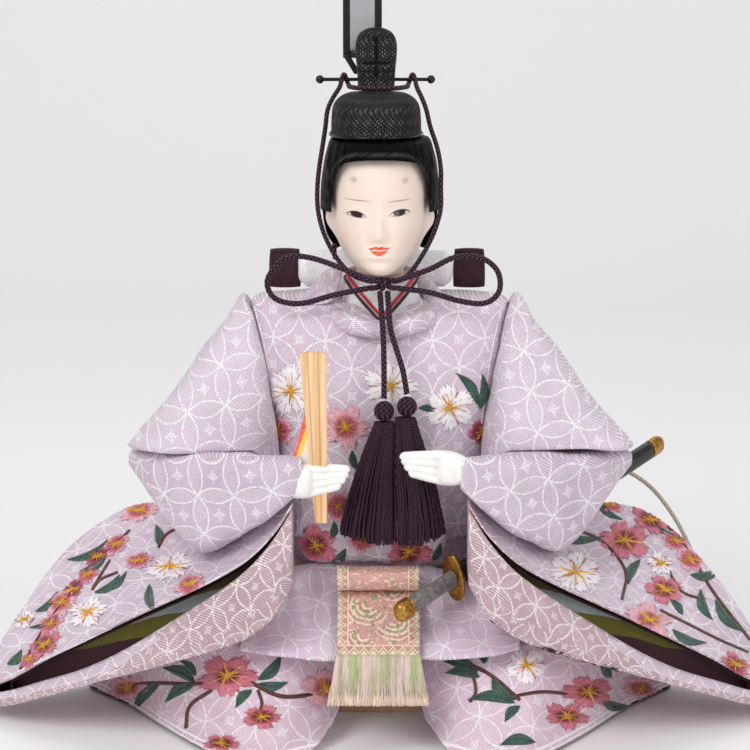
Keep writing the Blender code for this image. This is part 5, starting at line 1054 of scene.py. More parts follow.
BODY_SHARES = [(0.0, 0.76, 0.95, 0.95), (0.20, 0.79, 0.98, 0.98), (0.38, 0.84, 0.95, 1.0), (0.60, 0.90, 0.90, 1.0),
               (0.79, 0.95, 0.80, 0.96), (0.92, 0.985, 0.64, 0.90), (0.985, 0.985, 0.50, 0.84), (1.0, 0.95, 0.42, 0.76)]
BAG_SHARES = [
    (0.205, 0.90, 0.950, 0.020, 0.95, 0.665, -1.95, 0.995, 0.70),
    (0.25, 0.95, 0.840, 0.026, 1.01, 0.550, -1.70, 0.925, 0.61),
    (0.31, 0.95, 0.730, 0.036, 1.01, 0.478, -1.25, 0.860, 0.53),
    (0.38, 0.92, 0.640, 0.044, 0.98, 0.425, -0.20, 0.815, 0.46),
    (0.48, 0.85, 0.530, 0.052, 0.92, 0.365, 0.55, 0.790, 0.35),
    (0.59, 0.77, 0.420, 0.058, 0.83, 0.300, 0.95, 0.772, 0.26),
    (0.70, 0.67, 0.325, 0.056, 0.73, 0.235, 1.0, 0.715, 0.18),
    (0.81, 0.55, 0.240, 0.046, 0.60, 0.160, 0.75, 0.585, 0.11),
    (0.91, 0.42, 0.155, 0.030, 0.45, 0.088, 0.30, 0.385, 0.06),
    (1.0, 0.23, 0.085, 0.016, 0.25, 0.035, -0.25, 0.145, 0.04),
]
SPAN, BAG_FRONT, BAG_RISE, BAG_BACK = 136 * MM, 60 * MM, 86 * MM, 22 * MM
ARM_SHARES = [(0.30, 0.97, -2.9, 0.885, 0.998), (0.38, 1.01, -2.7, 0.815, 1.0), (0.48, 1.0, -2.1, 0.745, 1.0),
              (0.575, 0.93, -0.2, 0.685, 1.0), (0.695, 0.82, 0.75, 0.640, 1.0), (0.81, 0.66, 1.0, 0.715, 1.0),
              (0.92, 0.46, 0.93, 0.840, 0.99), (1.0, 0.25, 0.45, 0.930, 0.975)]
UPPER_SHARES = [(0.0, 0.40, 0.99, 0.97, 0.96), (0.03, 0.40, 1.0, 1.0, 1.0), (0.24, 0.415, 0.89, 0.92, 1.0),
                (0.45, 0.44, 0.795, 0.77, 1.0), (0.67, 0.47, 0.70, 0.58, 0.94), (0.86, 0.50, 0.615, 0.37, 0.82),
                (0.96, 0.525, 0.585, 0.20, 0.65), (1.0, 0.54, 0.568, 0.09, 0.47)]


def inset(points, depth):
    """An outline moved inward by depth, corner by corner."""
    nxt, prv = np.roll(points, -1, 0), np.roll(points, 1, 0)
    area = (points[:, 0] * nxt[:, 1] - nxt[:, 0] * points[:, 1]).sum()
    into, onward = points - prv, nxt - points
    into /= np.linalg.norm(into, axis=1)[:, None]
    onward /= np.linalg.norm(onward, axis=1)[:, None]
    a, b = np.stack([-into[:, 1], into[:, 0]], 1), np.stack([-onward[:, 1], onward[:, 0]], 1)
    middle = a + b
    middle /= np.maximum((middle * a).sum(1), 0.45)[:, None]
    return points + middle * depth * (1 if area > 0 else -1)


def bag_corners(row, depth):
    reach, lip, low, mouth, hem_front, hem, ridge_back, ridge, back_hem = row
    low -= 0.030 * bell(reach, 0.72, 0.20)
    mouth += 0.030 * bell(reach, 0.72, 0.20) + 0.032 * bell(reach, 0.60, 0.22)
    lip_y, low_z, up_z = -lip * BAG_FRONT, low * BAG_RISE, (low + mouth) * BAG_RISE
    hem_y, hem_z = -hem_front * BAG_FRONT, hem * BAG_RISE
    back_y, ridge_z, back_z = ridge_back * BAG_BACK, ridge * BAG_RISE, back_hem * BAG_RISE
    corners = [(lip_y, low_z), ((lip_y * 0.45 + hem_y * 0.55) - 1.6 * MM, (low_z + hem_z) / 2), (hem_y, hem_z),
               ((hem_y + back_y) / 2, (hem_z + back_z) / 2), (back_y, back_z), (back_y, ridge_z),
               (back_y + (lip_y - back_y) * 0.36, ridge_z + (up_z - ridge_z) * 0.36 - 1.26 * MM),
               (back_y + (lip_y - back_y) * 0.72, ridge_z + (up_z - ridge_z) * 0.72 - 1.8 * MM), (lip_y, up_z)]
    corners = inset(np.array(corners), depth)
    outline = []
    for k, corner in enumerate(corners):
        if k in (2, 4, 5):
            before, after = corners[k - 1], corners[(k + 1) % 9]
            outline += [corner + (before - corner) * 0.2, corner + (after - corner) * 0.1]
        else:
            outline.append(corner)
    return np.array(outline)


def bag_grid(side, stations, around, depth=0.0, recess=0.0, first=0, last=None):
    """The sleeve bag's skin from its lower lip round the back to its upper lip, at many stations along the arm."""
    rows = spline(BAG_SHARES[first:last], stations)
    rings = []
    for row in rows:
        outline = spline(bag_corners(row, depth), around)
        if recess:
            outline[:, 0] = np.maximum(outline[:, 0], -row[1] * BAG_FRONT + recess)
        rings.append(np.column_stack([np.full(around, side * row[0] * SPAN), outline]))
    return np.array(rings)


def robe_body(look, piping):
    rings = stacked(BODY_SHARES, 64 * MM, 141 * MM, 43.5 * MM, 31 * MM, 28 * MM, 90, 150, 2.7)
    x = rings[..., 0] / MM
    front = (rings[..., 1] < 0) * bell(rings[..., 2], 0.105, 0.035)
    rings[..., 1] -= (0.9 * bell(x, -19, 2.6) + 0.9 * bell(x, 20, 2.6) - 0.7 * bell(x, -14, 2.2) - 0.7 * bell(x, 15, 2.2)) * front * MM
    rings = crumpled(rings, True, 0.03, 0.35 * MM, 3)
    made = skin("robe_body_cloth", rings, look, True, True)
    face_out(made, (0, 0, 0.1))
    lay_pattern(made)
    return dress(made, "robe_body")


def upper_grid(side, levels=70, around=96):
    rings = []
    for height, inner, outer, front, back in spline(UPPER_SHARES, levels):
        z = (92.9 + (142 - 92.9) * height) * MM
        ring = oval(around, 0.5, front * 35 * MM, back * 17 * MM, 4.5)
        x = side * 82.8 * MM * (inner + (outer - inner) * (ring[:, 0] + 0.5))
        corner = 3.4 * MM * np.clip((41.5 * MM - np.abs(x)) / (4 * MM), 0, 1) * max(0, 1 - height * 8)
        rings.append(np.column_stack([x, ring[:, 1], z - 0.12 * (ring[:, 1] + 8 * MM) * max(0, 1 - height) ** 2 - corner]))
    return np.array(rings)


def lower_grid(side, levels=70, around=96):
    rings = []
    for reach, front, back, bottom, top in spline(ARM_SHARES, levels):
        y0, y1, z0, z1 = -front * 56 * MM, back * 14 * MM, bottom * 92.4 * MM, top * 92.4 * MM
        ring = oval(around, 0.5, 0.5, 0.5, 4.6) + 0.5
        y, z = y0 + (y1 - y0) * ring[:, 0], z0 + (z1 - z0) * ring[:, 1]
        rings.append(np.column_stack([np.full(around, side * reach * 83.5 * MM), y, z - 0.12 * (y + 8 * MM)]))
    return np.array(rings)


def sleeves(word, side, looks):
    """The upper sleeve, the forearm and the wide bag with its lining and the inner robes in its mouth."""
    seed = 20 + side
    body_form = form(stacked(BODY_SHARES, 64 * MM, 141 * MM, 43.5 * MM, 31 * MM, 28 * MM, 40, 60, 2.7))
    bag = bag_grid(side, 110, 150)
    bag_form = form(bag_grid(side, 50, 60))
    upper = upper_grid(side)
    share = (upper[..., 2] - 92 * MM) / (50 * MM)
    folds = 0.5 * np.sin(upper[..., 1] / MM * 0.5 + share * 5 + side) * np.clip(1 - share, 0, 1) ** 2
    upper = crumpled(upper, True, 0.034, 0.55 * MM, seed) + grid_normals(upper, True) * (folds * MM)[..., None] * 0.6
    upper = pushed(upper, [body_form], 0.4 * MM)
    made = skin("sleeve_upper_cloth_" + word, upper, looks["upper"], True, True)
    face_out(made, upper.reshape(-1, 3).mean(0))
    lay_pattern(made)
    top = dress(made, "sleeve_upper_" + word)
    lower = crumpled(lower_grid(side), True, 0.028, 0.5 * MM, seed + 5)
    made = skin("sleeve_lower_cloth_" + word, lower, looks["sleeve"], True, True)
    face_out(made, lower.reshape(-1, 3).mean(0))
    cutter = skin("cutter", bag_grid(side, 60, 80, -0.7 * MM), [], True, True)
    face_out(cutter, bag.reshape(-1, 3).mean(0))
    middle = skin("cutter", stacked(BODY_SHARES, 64 * MM, 141 * MM, 44.0 * MM, 31.5 * MM, 28.5 * MM, 30, 60, 2.7), [], True, True)
    face_out(middle, (0, 0, 0.1))
    carve(made, [cutter, middle])
    lay_pattern(made)
    arm = dress(made, "sleeve_lower_" + word)
    crease = crumpled(bag, False, 0.045, 0.55 * MM, seed + 9, 0.08)
    edge = np.clip(np.minimum(np.arange(150), 149 - np.arange(150)) / 12, 0, 1)[None, :, None]
    bag = bag + (crease - bag) * edge
    gone = in_sword_room if side > 0 else None
    made = skin("sleeve_bag_cloth_" + word, bag, [looks["damask"], looks["maroon"]], False, True, thick=0.7 * MM,
                outward=bag.reshape(-1, 3).mean(0), gone=gone)
    lay_pattern(made, (0, 0.72, 0.69), (1, 0, 0), (0, -0.35, 0.94))
    mauve_below(made, looks["mauve"])
    wide = dress(made, "sleeve_bag_" + word)
    lining = bag_grid(side, 90, 110, 3.0 * MM, 0.0, 1, 9)
    inside = skin("sleeve_lining_cloth_" + word, lining, looks["maroon"], False, True, thick=0.5 * MM,
                  outward=lining.reshape(-1, 3).mean(0), gone=gone)
    dress(inside, "sleeve_lining_" + word)
    layers = bag_grid(side, 90, 110, 4.2 * MM, 7.0 * MM, 2, 9)
    layers = crumpled(layers, False, 0.02, 0.35 * MM, seed + 13)
    across = np.linspace(0, 1, 14)[1:-1, None]
    closing = [line[-1] + (line[0] - line[-1]) * across for line in layers]
    layers = np.concatenate([layers, closing], 1)
    made = skin("inner_layers_cloth_" + word, layers, looks["layers"], True, True)
    face_out(made, layers.reshape(-1, 3).mean(0))
    dress(made, "inner_layers_" + word)
    if side > 0:
        for cloth in (arm, made):
            carve(cloth, [sword_room()])
    return top, arm, wide


def mauve_below(obj, look):
    """The sleeve's under side, from the lower lip to the back hem, is the darker side of the brocade."""
    mesh = obj.data
    mesh.materials.append(look)
    count = len(mesh.materials) - 1
    for poly in mesh.polygons:
        if not poly.material_index and poly.normal.z < 0.5 and poly.normal.y < 0.3:
            poly.material_index = count


def waist_fold(look):
    rings = []
    for share in np.linspace(0, 1, 90):
        share = 0.5 - 0.5 * math.cos(math.pi * share)
        x = (-27 + 48.5 * share) * MM
        middle = (x + 2.75 * MM) / (24.25 * MM)
        full = math.sqrt(max(0.12, 1 - abs(middle) ** 9))
        front = -31 * MM * (1 - 0.06 * middle**2)
        ring = oval(60, 0.5, 0.5, 0.5, 2.5)
        thick = 4.8 * MM * full * (1.0 - 0.45 * (ring[:, 1] + 0.5))
        high = 28 * MM * (0.75 + 0.25 * full)
        y0 = front + 6 * MM
        y = y0 + (front - thick - y0) * (ring[:, 0] + 0.5)
        rings.append(np.column_stack([np.full(60, x), y, 86 * MM - high * (0.5 - ring[:, 1])]))
    rings = crumpled(np.array(rings), True, 0.016, 0.4 * MM, 31)
    made = skin("robe_waist_fold_cloth", rings, look, True, True)
    face_out(made, rings.reshape(-1, 3).mean(0))
    lay_pattern(made)
    return dress(made, "robe_waist_fold")


LAP_SHARES = [(-1.0, 0.60, 0.88), (-0.8, 0.80, 0.97), (-0.6, 0.93, 1.0), (-0.42, 0.98, 1.0), (-0.31, 0.96, 0.985),
              (0.0, 0.72, 0.95), (0.31, 0.92, 0.985), (0.42, 0.89, 1.0), (0.6, 0.78, 1.0), (0.8, 0.70, 0.97), (1.0, 0.60, 0.88)]
LAP_FACE = [(0.0, 0.0), (0.0, 1.0), (0.18, 1.0), (0.26, 0.82), (0.42, 0.55), (0.66, 0.32), (0.97, 0.12), (0.93, 0.0)]
KNEE_SHARES = [(0.105, 0.44, 0.56, 0.36), (0.135, 0.56, 0.68, 0.24), (0.16, 0.68, 0.77, 0.15), (0.215, 0.86, 0.835, 0.02),
               (0.30, 0.97, 0.845, 0.0), (0.41, 1.0, 0.85, 0.0), (0.47, 0.97, 0.90, 0.0), (0.55, 0.83, 0.95, 0.0),
               (0.65, 0.60, 0.88, 0.0), (0.75, 0.34, 0.76, 0.0), (0.84, 0.10, 0.60, 0.0), (0.93, -0.08, 0.42, 0.0),
               (1.0, -0.22, 0.20, 0.0)]
KNEE_FACE = [(0.04, 0.0), (0.0, 0.10), (0.03, 0.34), (0.09, 0.64), (0.17, 0.90), (0.28, 1.0), (0.88, 0.92), (1.0, 0.70),
             (1.0, 0.08), (0.96, 0.0)]
SKIRT_FACE = [(0.0, 0.0), (0.97, 0.0), (1.0, 0.05), (0.78, 0.35), (0.52, 0.70), (0.32, 0.95), (0.22, 1.0), (0.0, 1.0)]
SKIRT_SIDES = [(-1.0, 0.52), (-0.86, 0.86), (-0.6, 1.0), (-0.3, 1.0), (0.0, 1.0), (0.3, 1.0), (0.6, 1.0), (0.86, 0.86), (1.0, 0.52)]


def robe_lap(look):
    face = spline(LAP_FACE, 90, True)
    rings = []
    for across, rise, push in spline(LAP_SHARES, 120):
        low, top = (33.4 - 2.6 * (1 - abs(across))) * MM, (33.4 + 22.6 * rise) * MM
        y = -(26.5 + (55 * push - 26.5) * face[:, 0]) * MM
        z = low + (top - low) * face[:, 1]
        fold = 0.8 * math.sin(across * 17) + 0.5 * math.sin(across * 31 + 1)
        y = y - fold * MM * np.clip(face[:, 0] * 2, 0, 1) * (1 - face[:, 0]) * 2
        rings.append(np.column_stack([np.full(90, across * 45 * MM), y, z]))
    rings = crumpled(np.array(rings), True, 0.026, 0.45 * MM, 41)
    made = skin("robe_lap_cloth", rings, look, True, True)
    face_out(made, rings.reshape(-1, 3).mean(0))
    lay_pattern(made, (0, 0.75, 0.66))
    return dress(made, "robe_lap")


def knee(word, side, look, dark):
    face = spline(KNEE_FACE, 110, True)
    rings = []
    for number, (reach, front, top, foot) in zip(np.linspace(-1, 11, 140), spline(KNEE_SHARES, 140)):
        near, high = -front * 60 * MM, top * 38 * MM
        low = (0.6 + max(0, foot) * 38) * MM
        fold = 1.1 * MM * math.sin(number * math.pi * 0.75)
        bulge = fold * np.sin(math.pi * np.clip(face[:, 1], 0, 1)) * (face[:, 0] < 0.3)
        y = near + (26 * MM - near) * face[:, 0] - bulge
        rings.append(np.column_stack([np.full(110, side * reach * 102 * MM), y, low + (high - low) * face[:, 1]]))
    rings = np.array(rings)
    moved = crumpled(rings, True, 0.03, 0.5 * MM, 51 + side)
    keep = np.clip((rings[..., 2] - 1.0 * MM) / (6 * MM), 0, 1)[..., None]
    rings = rings + (moved - rings) * keep
    rings[..., 2] = np.maximum(rings[..., 2], 0.6 * MM)
    made = skin("knee_cloth_" + word, rings, [look, dark], True, True)
    face_out(made, rings.reshape(-1, 3).mean(0))
    lay_pattern(made, (0, 0.5, 0.87))
    for poly in made.data.polygons:
        if poly.center.z < 1.3 * MM:
            poly.material_index = 1
    return dress(made, "knee_" + word)


def back_skirt(look):
    face = spline(SKIRT_FACE, 90, True)
    rings = []
    for across, low in spline(SKIRT_SIDES, 130):
        wave = 1.6 * MM * math.cos(across * math.pi * 3.5)
        outer = 27.4 * MM + (22.6 * MM + wave) * face[:, 0] * (0.45 + 0.55 * low)
        z = 0.6 * MM + (63 * MM * low - 0.6 * MM) * face[:, 1]
        rings.append(np.column_stack([np.full(90, across * 58 * MM), outer, np.maximum(z, 0.6 * MM)]))
    rings = np.array(rings)
    moved = crumpled(rings, True, 0.032, 0.5 * MM, 61)
    keep = np.clip((rings[..., 2] - 1.0 * MM) / (6 * MM), 0, 1)[..., None]
    rings = rings + (moved - rings) * keep
    made = skin("robe_back_skirt_cloth", rings, look, True, True)
    face_out(made, rings.reshape(-1, 3).mean(0))
    return dress(made, "robe_back_skirt")


# ---------------------------------------------------------------- collars
RING = {"x": 0.8 * MM, "y": -5 * MM, "z": 140 * MM, "half": 17.6 * MM, "deep": 20 * MM, "tilt": 5.6 * MM, "radius": 3.1 * MM}


def round_collar(look):
    angle = np.linspace(0, 2 * math.pi, 120, endpoint=False)
    path = np.column_stack([RING["x"] + RING["half"] * np.sin(angle), RING["y"] - RING["deep"] * np.cos(angle),
                            RING["z"] - RING["tilt"] * np.cos(angle)])
    rings = ring_rings(path, RING["radius"], 28)
    rings[:-1] = crumpled(rings[:-1], True, 0.011, 0.22 * MM, 71)
    rings[-1] = rings[0]
    made = skin("round_collar_cloth", rings, look, True)
    face_out(made, (RING["x"], RING["y"], RING["z"] - 30 * MM))
    dress(made, "round_collar")
    return made


def funnel_point(angle, share, out=0.0, below=0.0):
    """A point on the under-collar: angle 0 is the front, share 0 the foot and 1 its edge, a V at the front."""
    forward = 1 - abs(math.sin(angle)) if math.cos(angle) > 0 else 0
    edge = 150.6 * MM + (138.1 - 150.6) * MM * forward
    low = 137 * MM - 5.6 * MM * math.cos(angle)
    share -= below / (edge - low)
    half = 14 * MM + (10.8 - 14) * MM * share + out
    deep = (16.5 if math.cos(angle) > 0 else 14.5) * MM + out - 3.2 * MM * share * 0.3
    return (0.4 * MM + half * math.sin(angle), -2 * MM - deep * math.cos(angle), low + (edge - low) * share)


def wrap_point(angle, share):
    """A point on the inner white collar, from the V up to the throat."""
    a = np.array(funnel_point(angle, 1.0))
    deep = (9.5 if math.cos(angle) > 0 else 11.9) * MM
    b = np.array((0.4 * MM + 8.9 * MM * math.sin(angle), -2 * MM - deep * math.cos(angle), 148 * MM))
    swell = 0.9 * MM * math.sin(math.pi * share)
    pleat = 0.16 * MM * math.sin(share * 19) * math.sin(math.pi * share) ** 0.5
    out = np.array((math.sin(angle), -math.cos(angle), 0.5))
    return a + (b - a) * share + out * (swell + pleat)


def under_collars(white, red, brown):
    turns = np.linspace(0, 2 * math.pi, 129)[:-1]
    outer = [[funnel_point(a, s) for a in turns] for s in np.linspace(0, 1, 14)]
    inner = [[wrap_point(a, s) for a in turns] for s in np.linspace(0, 1, 40)[1:]]
    made = skin("under_collar_white_cloth", outer + inner, white, True, thick=0.3 * MM, outward=(0, 0, 0.14))
    dress(made, "under_collar_white")
    for name, count, look, slot in (("under_collar_red", 0, red, "red_cloth"), ("under_collar_brown", 1, brown, "brown_cloth")):
        path = [funnel_point(a, 1.0, 0.8 * MM, 0.5 * MM + count * 1.95 * MM) for a in turns]
        made = skin(name + "_cloth", ring_rings(path, 0.5 * MM, 12), look, True)
        dress(made, name)


def back_roll(look):
    shares = [(0.0, 0.40), (0.015, 0.70), (0.05, 0.92), (0.10, 1.0), (0.5, 1.04), (0.90, 1.0), (0.95, 0.92), (0.985, 0.70), (1.0, 0.40)]
    rings = []
    for along, share in spline(shares, 90):
        ring = oval(64, *[6.4 * MM * share] * 3, 2.3)
        x = (-28 + 53 * along) * MM
        rings.append(np.column_stack([np.full(64, x), 21 * MM + ring[:, 0], 147.9 * MM + ring[:, 1]]))
    rings = crumpled(np.array(rings), True, 0.014, 0.3 * MM, 81)
    made = skin("back_collar_roll_cloth", rings, look, True, True)
    face_out(made, rings.reshape(-1, 3).mean(0))
    dress(made, "back_collar_roll")


def rounded_plate(name, outline, near, far, look, soft=0.5 * MM, depth=1):
    """An upright pad: an outline in x and z with its edges rounded over front and back."""
    outline = np.asarray(outline, float)
    rings = []
    for share in np.linspace(0, 1, 9):
        angle = math.pi * share
        inward = soft * (1 - math.sin(angle) ** 0.6) if 0 < share < 1 else soft
        ring = inset(outline, inward)
        y = near + (far - near) * (0.5 - 0.5 * math.cos(angle))
        rings.append([(x, y, z) for x, z in ring])
    made = skin(name, rings, look, True, True)
    face_out(made, np.array(rings).reshape(-1, 3).mean(0))
    return made


def collar_tabs(look, edging):
    for word, x in (("right", -32.6 * MM), ("left", 30.6 * MM)):
        corners = [(x - 5.5 * MM, 141.4 * MM), (x + 5.5 * MM, 141.4 * MM), (x + 5.1 * MM, 154.6 * MM), (x - 5.1 * MM, 154.6 * MM)]
        outline = spline([c for a, b in zip(corners, corners[1:] + corners[:1]) for c in (
            tuple(np.array(a) + (np.array(b) - a) * 0.12), tuple(np.array(a) + (np.array(b) - a) * 0.88))], 64, True)
        pad = rounded_plate("pad", outline, 20.4 * MM, 23.6 * MM, look, 0.5 * MM)
        edges = []
        for inward, y in ((1.1 * MM, 20.45 * MM), (1.1 * MM, 23.55 * MM)):
            path = [(px, y, pz) for px, pz in inset(outline, inward)]
            edges.append(skin("stitch", ring_rings(path, 0.22 * MM, 6), edging, True))
        dress(join("collar_tab_cloth_" + word, [pad] + edges), "collar_tab_" + word)


def collar_flap(look, threads):
    shares = [(0.0, 0.0), (0.72, 0.0), (1.0, 0.80), (0.90, 1.0), (0.62, 0.92), (0.22, 0.42)]
    outline = spline([(-26 * MM + 13.5 * MM * a, 141.5 * MM + 11.5 * MM * b) for a, b in shares], 60, True)
    made = rounded_plate("collar_flap_cloth", outline, -14.3 * MM, -11.2 * MM, look, 0.7 * MM)
    dress(made, "collar_flap")


def belt(look):
    rings = stacked([(0, 0.985, 0.985, 0.985), (0.06, 1, 1, 1), (0.4, 1.0, 1.0, 1.0), (0.7, 0.99, 0.99, 0.99), (0.8, 0.985, 0.985, 0.985), (1, 0.98, 0.98, 0.98)],
                    55.4 * MM, 65.8 * MM, 33 * MM, 29.3 * MM, 26.5 * MM, 24, 120, 2.6)
    made = skin("waist_belt_cloth", rings, look, True, True)
    face_out(made, (0, 0, 0.06))
    lay_pattern(made)
    dress(made, "waist_belt")


# ---------------------------------------------------------------- sash, hands, baton, sword
SASH_MIDDLE, SASH_HALF = -0.6 * MM, 13.2 * MM


def sash(brocade, fringe):
    rings = []
    for along, share in spline([(-1.0, 0.80), (-0.985, 0.93), (-0.95, 1.0), (0, 0.985), (0.95, 1.0), (0.985, 0.93), (1.0, 0.80)], 60):
        ring = oval(56, 4.2 * MM * share, 3.8 * MM * share, 3.8 * MM * share, 2.6)
        rings.append(np.column_stack([np.full(56, SASH_MIDDLE + SASH_HALF * along), -40 * MM + ring[:, 0], 55.2 * MM + ring[:, 1]]))
    rings = crumpled(np.array(rings), True, 0.012, 0.18 * MM, 91)
    made = skin("sash_roll_cloth", rings, brocade, True, True)
    face_out(made, rings.reshape(-1, 3).mean(0))
    dress(made, "sash_roll")
    line = spline([(-38.6, 50.8), (-44.8, 45.2), (-51.0, 39.6), (-56.3, 34.8)], 40) * MM
    across = np.linspace(-SASH_HALF, SASH_HALF, 40)
    sheet = [[(SASH_MIDDLE + a, y - 0.5 * MM + 0.25 * MM * math.sin(a / MM * 0.4), z) for a in across] for y, z in line]
    made = skin("sash_panel_cloth", sheet, brocade, thick=0.9 * MM, outward=(0, 0, 0))
    dress(made, "sash_panel")
    rng = np.random.default_rng(17)
    verts, faces, uvs = [], [], []
    for _ in range(FRINGE_COUNT):
        a = rng.uniform(-1, 1)
        lift = rng.uniform(-0.85, 0.85) * MM
        drop = rng.uniform(0, 1) ** 3 * 2.2 * MM
        route = []
        for share in np.linspace(0, 1, 6):
            z = 34.5 * MM + (19 * MM + drop - 34.5 * MM) * share
            y = -56.3 * MM + (-60.5 + 56.3) * MM * math.sqrt(share) + lift * (0.5 + 0.5 * share)
            x = SASH_MIDDLE + a * (SASH_HALF + 2.8 * MM * share) + rng.normal() * 0.25 * MM * share
            route.append((x, y, z))
        v, f, t = skin_data(tube_rings(spline(route, 14), np.linspace(0.2, 0.13, 14) * MM, 4), True, True)
        base = len(verts)
        verts += v
        faces += [tuple(base + k for k in face) for face in f]
        uvs += t
    made = mesh_object("sash_fringe_threads", verts, faces, fringe, uvs)
    dress(made, "sash_fringe")


FRINGE_COUNT = 1100


def hand(word, side, at, look, cuff):
    """Four straight fingers held together, each with its own round back, tapering to soft points."""
    x0, y0, z0 = (c * MM for c in at)
    tips, parts = [1.0, 0.975, 0.935, 0.865], []
    for finger in range(4):
        lift = (1.5 - finger) / 4
        rings = []
        for share in np.linspace(0, 1, 46):
            along = 0.28 + (tips[finger] - 0.28) * share
            rise = np.interp(along, [0.14, 0.36, 0.58, 0.78, 0.93, 1.0], [-0.04, 0.02, 0.10, 0.18, 0.24, 0.26])
            high = np.interp(along, [0.14, 0.36, 0.58, 0.78, 0.93, 1.0], [0.95, 1.0, 0.95, 0.88, 0.80, 0.72])
            thick = np.interp(along, [0.14, 0.36, 0.58, 0.78, 0.93, 1.0], [0.9, 0.86, 0.66, 0.5, 0.4, 0.34])
            close = math.sqrt(max(0.0, 1 - max(0, (share - 0.90) / 0.1) ** 2))
            spread = 1 - 0.26 * share
            cy, cz = y0 - (0.3 - 0.35 * abs(lift)) * MM, z0 + (rise + 1.9 * high * lift * spread) * 5.7 * MM
            ry, rz = max(0.03, thick * close) * 2.6 * MM, max(0.03, 0.30 * high * close) * 5.7 * MM
            angle = np.linspace(0, 2 * math.pi, 16, endpoint=False)
            rings.append(np.column_stack([np.full(16, x0 - side * along * 20.5 * MM), cy + ry * np.cos(angle), cz + rz * np.sin(angle)]))
        parts.append(skin("finger", rings, look, True, True))
    rings = []
    for along, rise, high, thick in spline([(-0.05, -0.12, 0.62, 0.66), (0.0, -0.10, 0.78, 0.78), (0.14, -0.04, 0.95, 0.95),
                                            (0.30, 0.0, 1.0, 0.98), (0.38, 0.03, 0.92, 0.80), (0.42, 0.04, 0.7, 0.5)], 30):
        ring = oval(36, thick * 4.4 * MM, high * 5.6 * MM, high * 5.6 * MM, 2.4)
        rings.append(np.column_stack([np.full(36, x0 - side * along * 20.5 * MM), y0 + ring[:, 0], z0 + rise * 5.7 * MM + ring[:, 1]]))
    parts.append(skin("palm", rings, look, True, True))
    for part in parts:
        face_out(part, np.mean([v.co for v in part.data.vertices], 0))
    dress(join("hand_fingers_" + word, parts), "hand_" + word)


SWORD_POMMEL, SWORD_TIP = np.array((5.2, -60, 48.8)) * MM, np.array((100.9, 48, 80.8)) * MM


def sword_form(name, stations, look, around=40, power=2.4, detail=None, half=(2.4, 3.3)):
    ahead = SWORD_TIP - SWORD_POMMEL
    ahead /= np.linalg.norm(ahead)
    flat = np.cross(ahead, (0, 0, 1.0))
    flat /= np.linalg.norm(flat)
    up = np.cross(flat, ahead)
    rings = []
    for along, share in stations:
        ring = oval(around, half[0] * MM * share, half[1] * MM * share, half[1] * MM * share, power)
        if detail:
            ring = ring * detail(along, np.arctan2(ring[:, 1], ring[:, 0]))[:, None]
        rings.append(SWORD_POMMEL + ahead * along * MM + ring[:, :1] * flat + ring[:, 1:] * up)
    made = skin(name, rings, look, True, True)
    face_out(made, np.array(rings).reshape(-1, 3).mean(0))
    return made


def in_sword_room(point):
    ahead = SWORD_TIP - SWORD_POMMEL
    ahead /= np.linalg.norm(ahead)
    flat = np.cross(ahead, (0, 0, 1.0))
    flat /= np.linalg.norm(flat)
    away = np.array(point) - SWORD_POMMEL
    thin, wide = abs(away.dot(flat)) / (3.6 * MM), abs(away.dot(np.cross(flat, ahead))) / (4.5 * MM)
    return away.dot(ahead) > 30 * MM and thin**3 + wide**3 < 1


def sword_room():
    """The room that the scabbard needs to slide through the left sleeve."""
    return sword_form("room", [(a, 1.0) for a in np.linspace(30.6, 160, 12)], [], 40, 3.4, None, (3.3, 4.2))


def sword_skin(name, node, stations, look, around=40, power=2.4, detail=None, half=(2.4, 3.3)):
    return dress(sword_form(name, stations, look, around, power, detail, half), node, "sword")


def sword(gold, wrap, black):
    length = float(np.linalg.norm(SWORD_TIP - SWORD_POMMEL)) / MM
    sword_skin("sword_pommel_gold", "sword_pommel", spline([(0, 0.35), (0.5, 0.72), (1.5, 0.98), (3.0, 1.05), (5.2, 1.05), (5.6, 1.0),
               (6.0, 1.06), (6.5, 0.92)], 40), gold)
    grip = [(a, 0.84 - 0.03 * math.sin(math.pi * (a - 6.8) / 21.2)) for a in np.linspace(6.8, 28.0, 150)]
    sword_skin("sword_grip_wrap", "sword_grip", grip, wrap, 40, 2.4, lambda a, t: 1 + 0.035 * np.sin(a * 5.2 + 0 * t))
    plate = [(28.3, 0.93), (28.45, 1.0), (29.55, 1.0), (29.7, 0.93)]
    sword_skin("sword_guard_gold", "sword_guard", plate, gold, 64, 2.4, lambda a, t: 0.96 + 0.04 * np.cos(4 * t),
               (4.2, 8.2))
    end = length - 6.5
    sheath = [(a, 1.0 - 0.08 * (a - 30) / (end - 30)) for a in np.linspace(30.0, end - 0.3, 60)]
    sword_skin("sword_scabbard_black", "sword_scabbard", sheath, black, 40, 3.4)
    cap = spline([(end, 0.96), (end + 0.3, 1.0), (end + 1.2, 1.0), (end + 1.4, 0.97), (end + 4.2, 1.0), (length - 0.4, 0.85), (length, 0.6)], 30)
    sword_skin("scabbard_tip_gold", "scabbard_tip", cap, gold)


# ---------------------------------------------------------------- embroidery, laid on the cloth where the camera sees it
def tree_of(objs):
    verts, faces = [], []
    for obj in objs:
        base = len(verts)
        verts += [obj.matrix_world @ v.co for v in obj.data.vertices]
        faces += [[base + k for k in p.vertices] for p in obj.data.polygons]
    return BVHTree.FromPolygons(verts, faces)


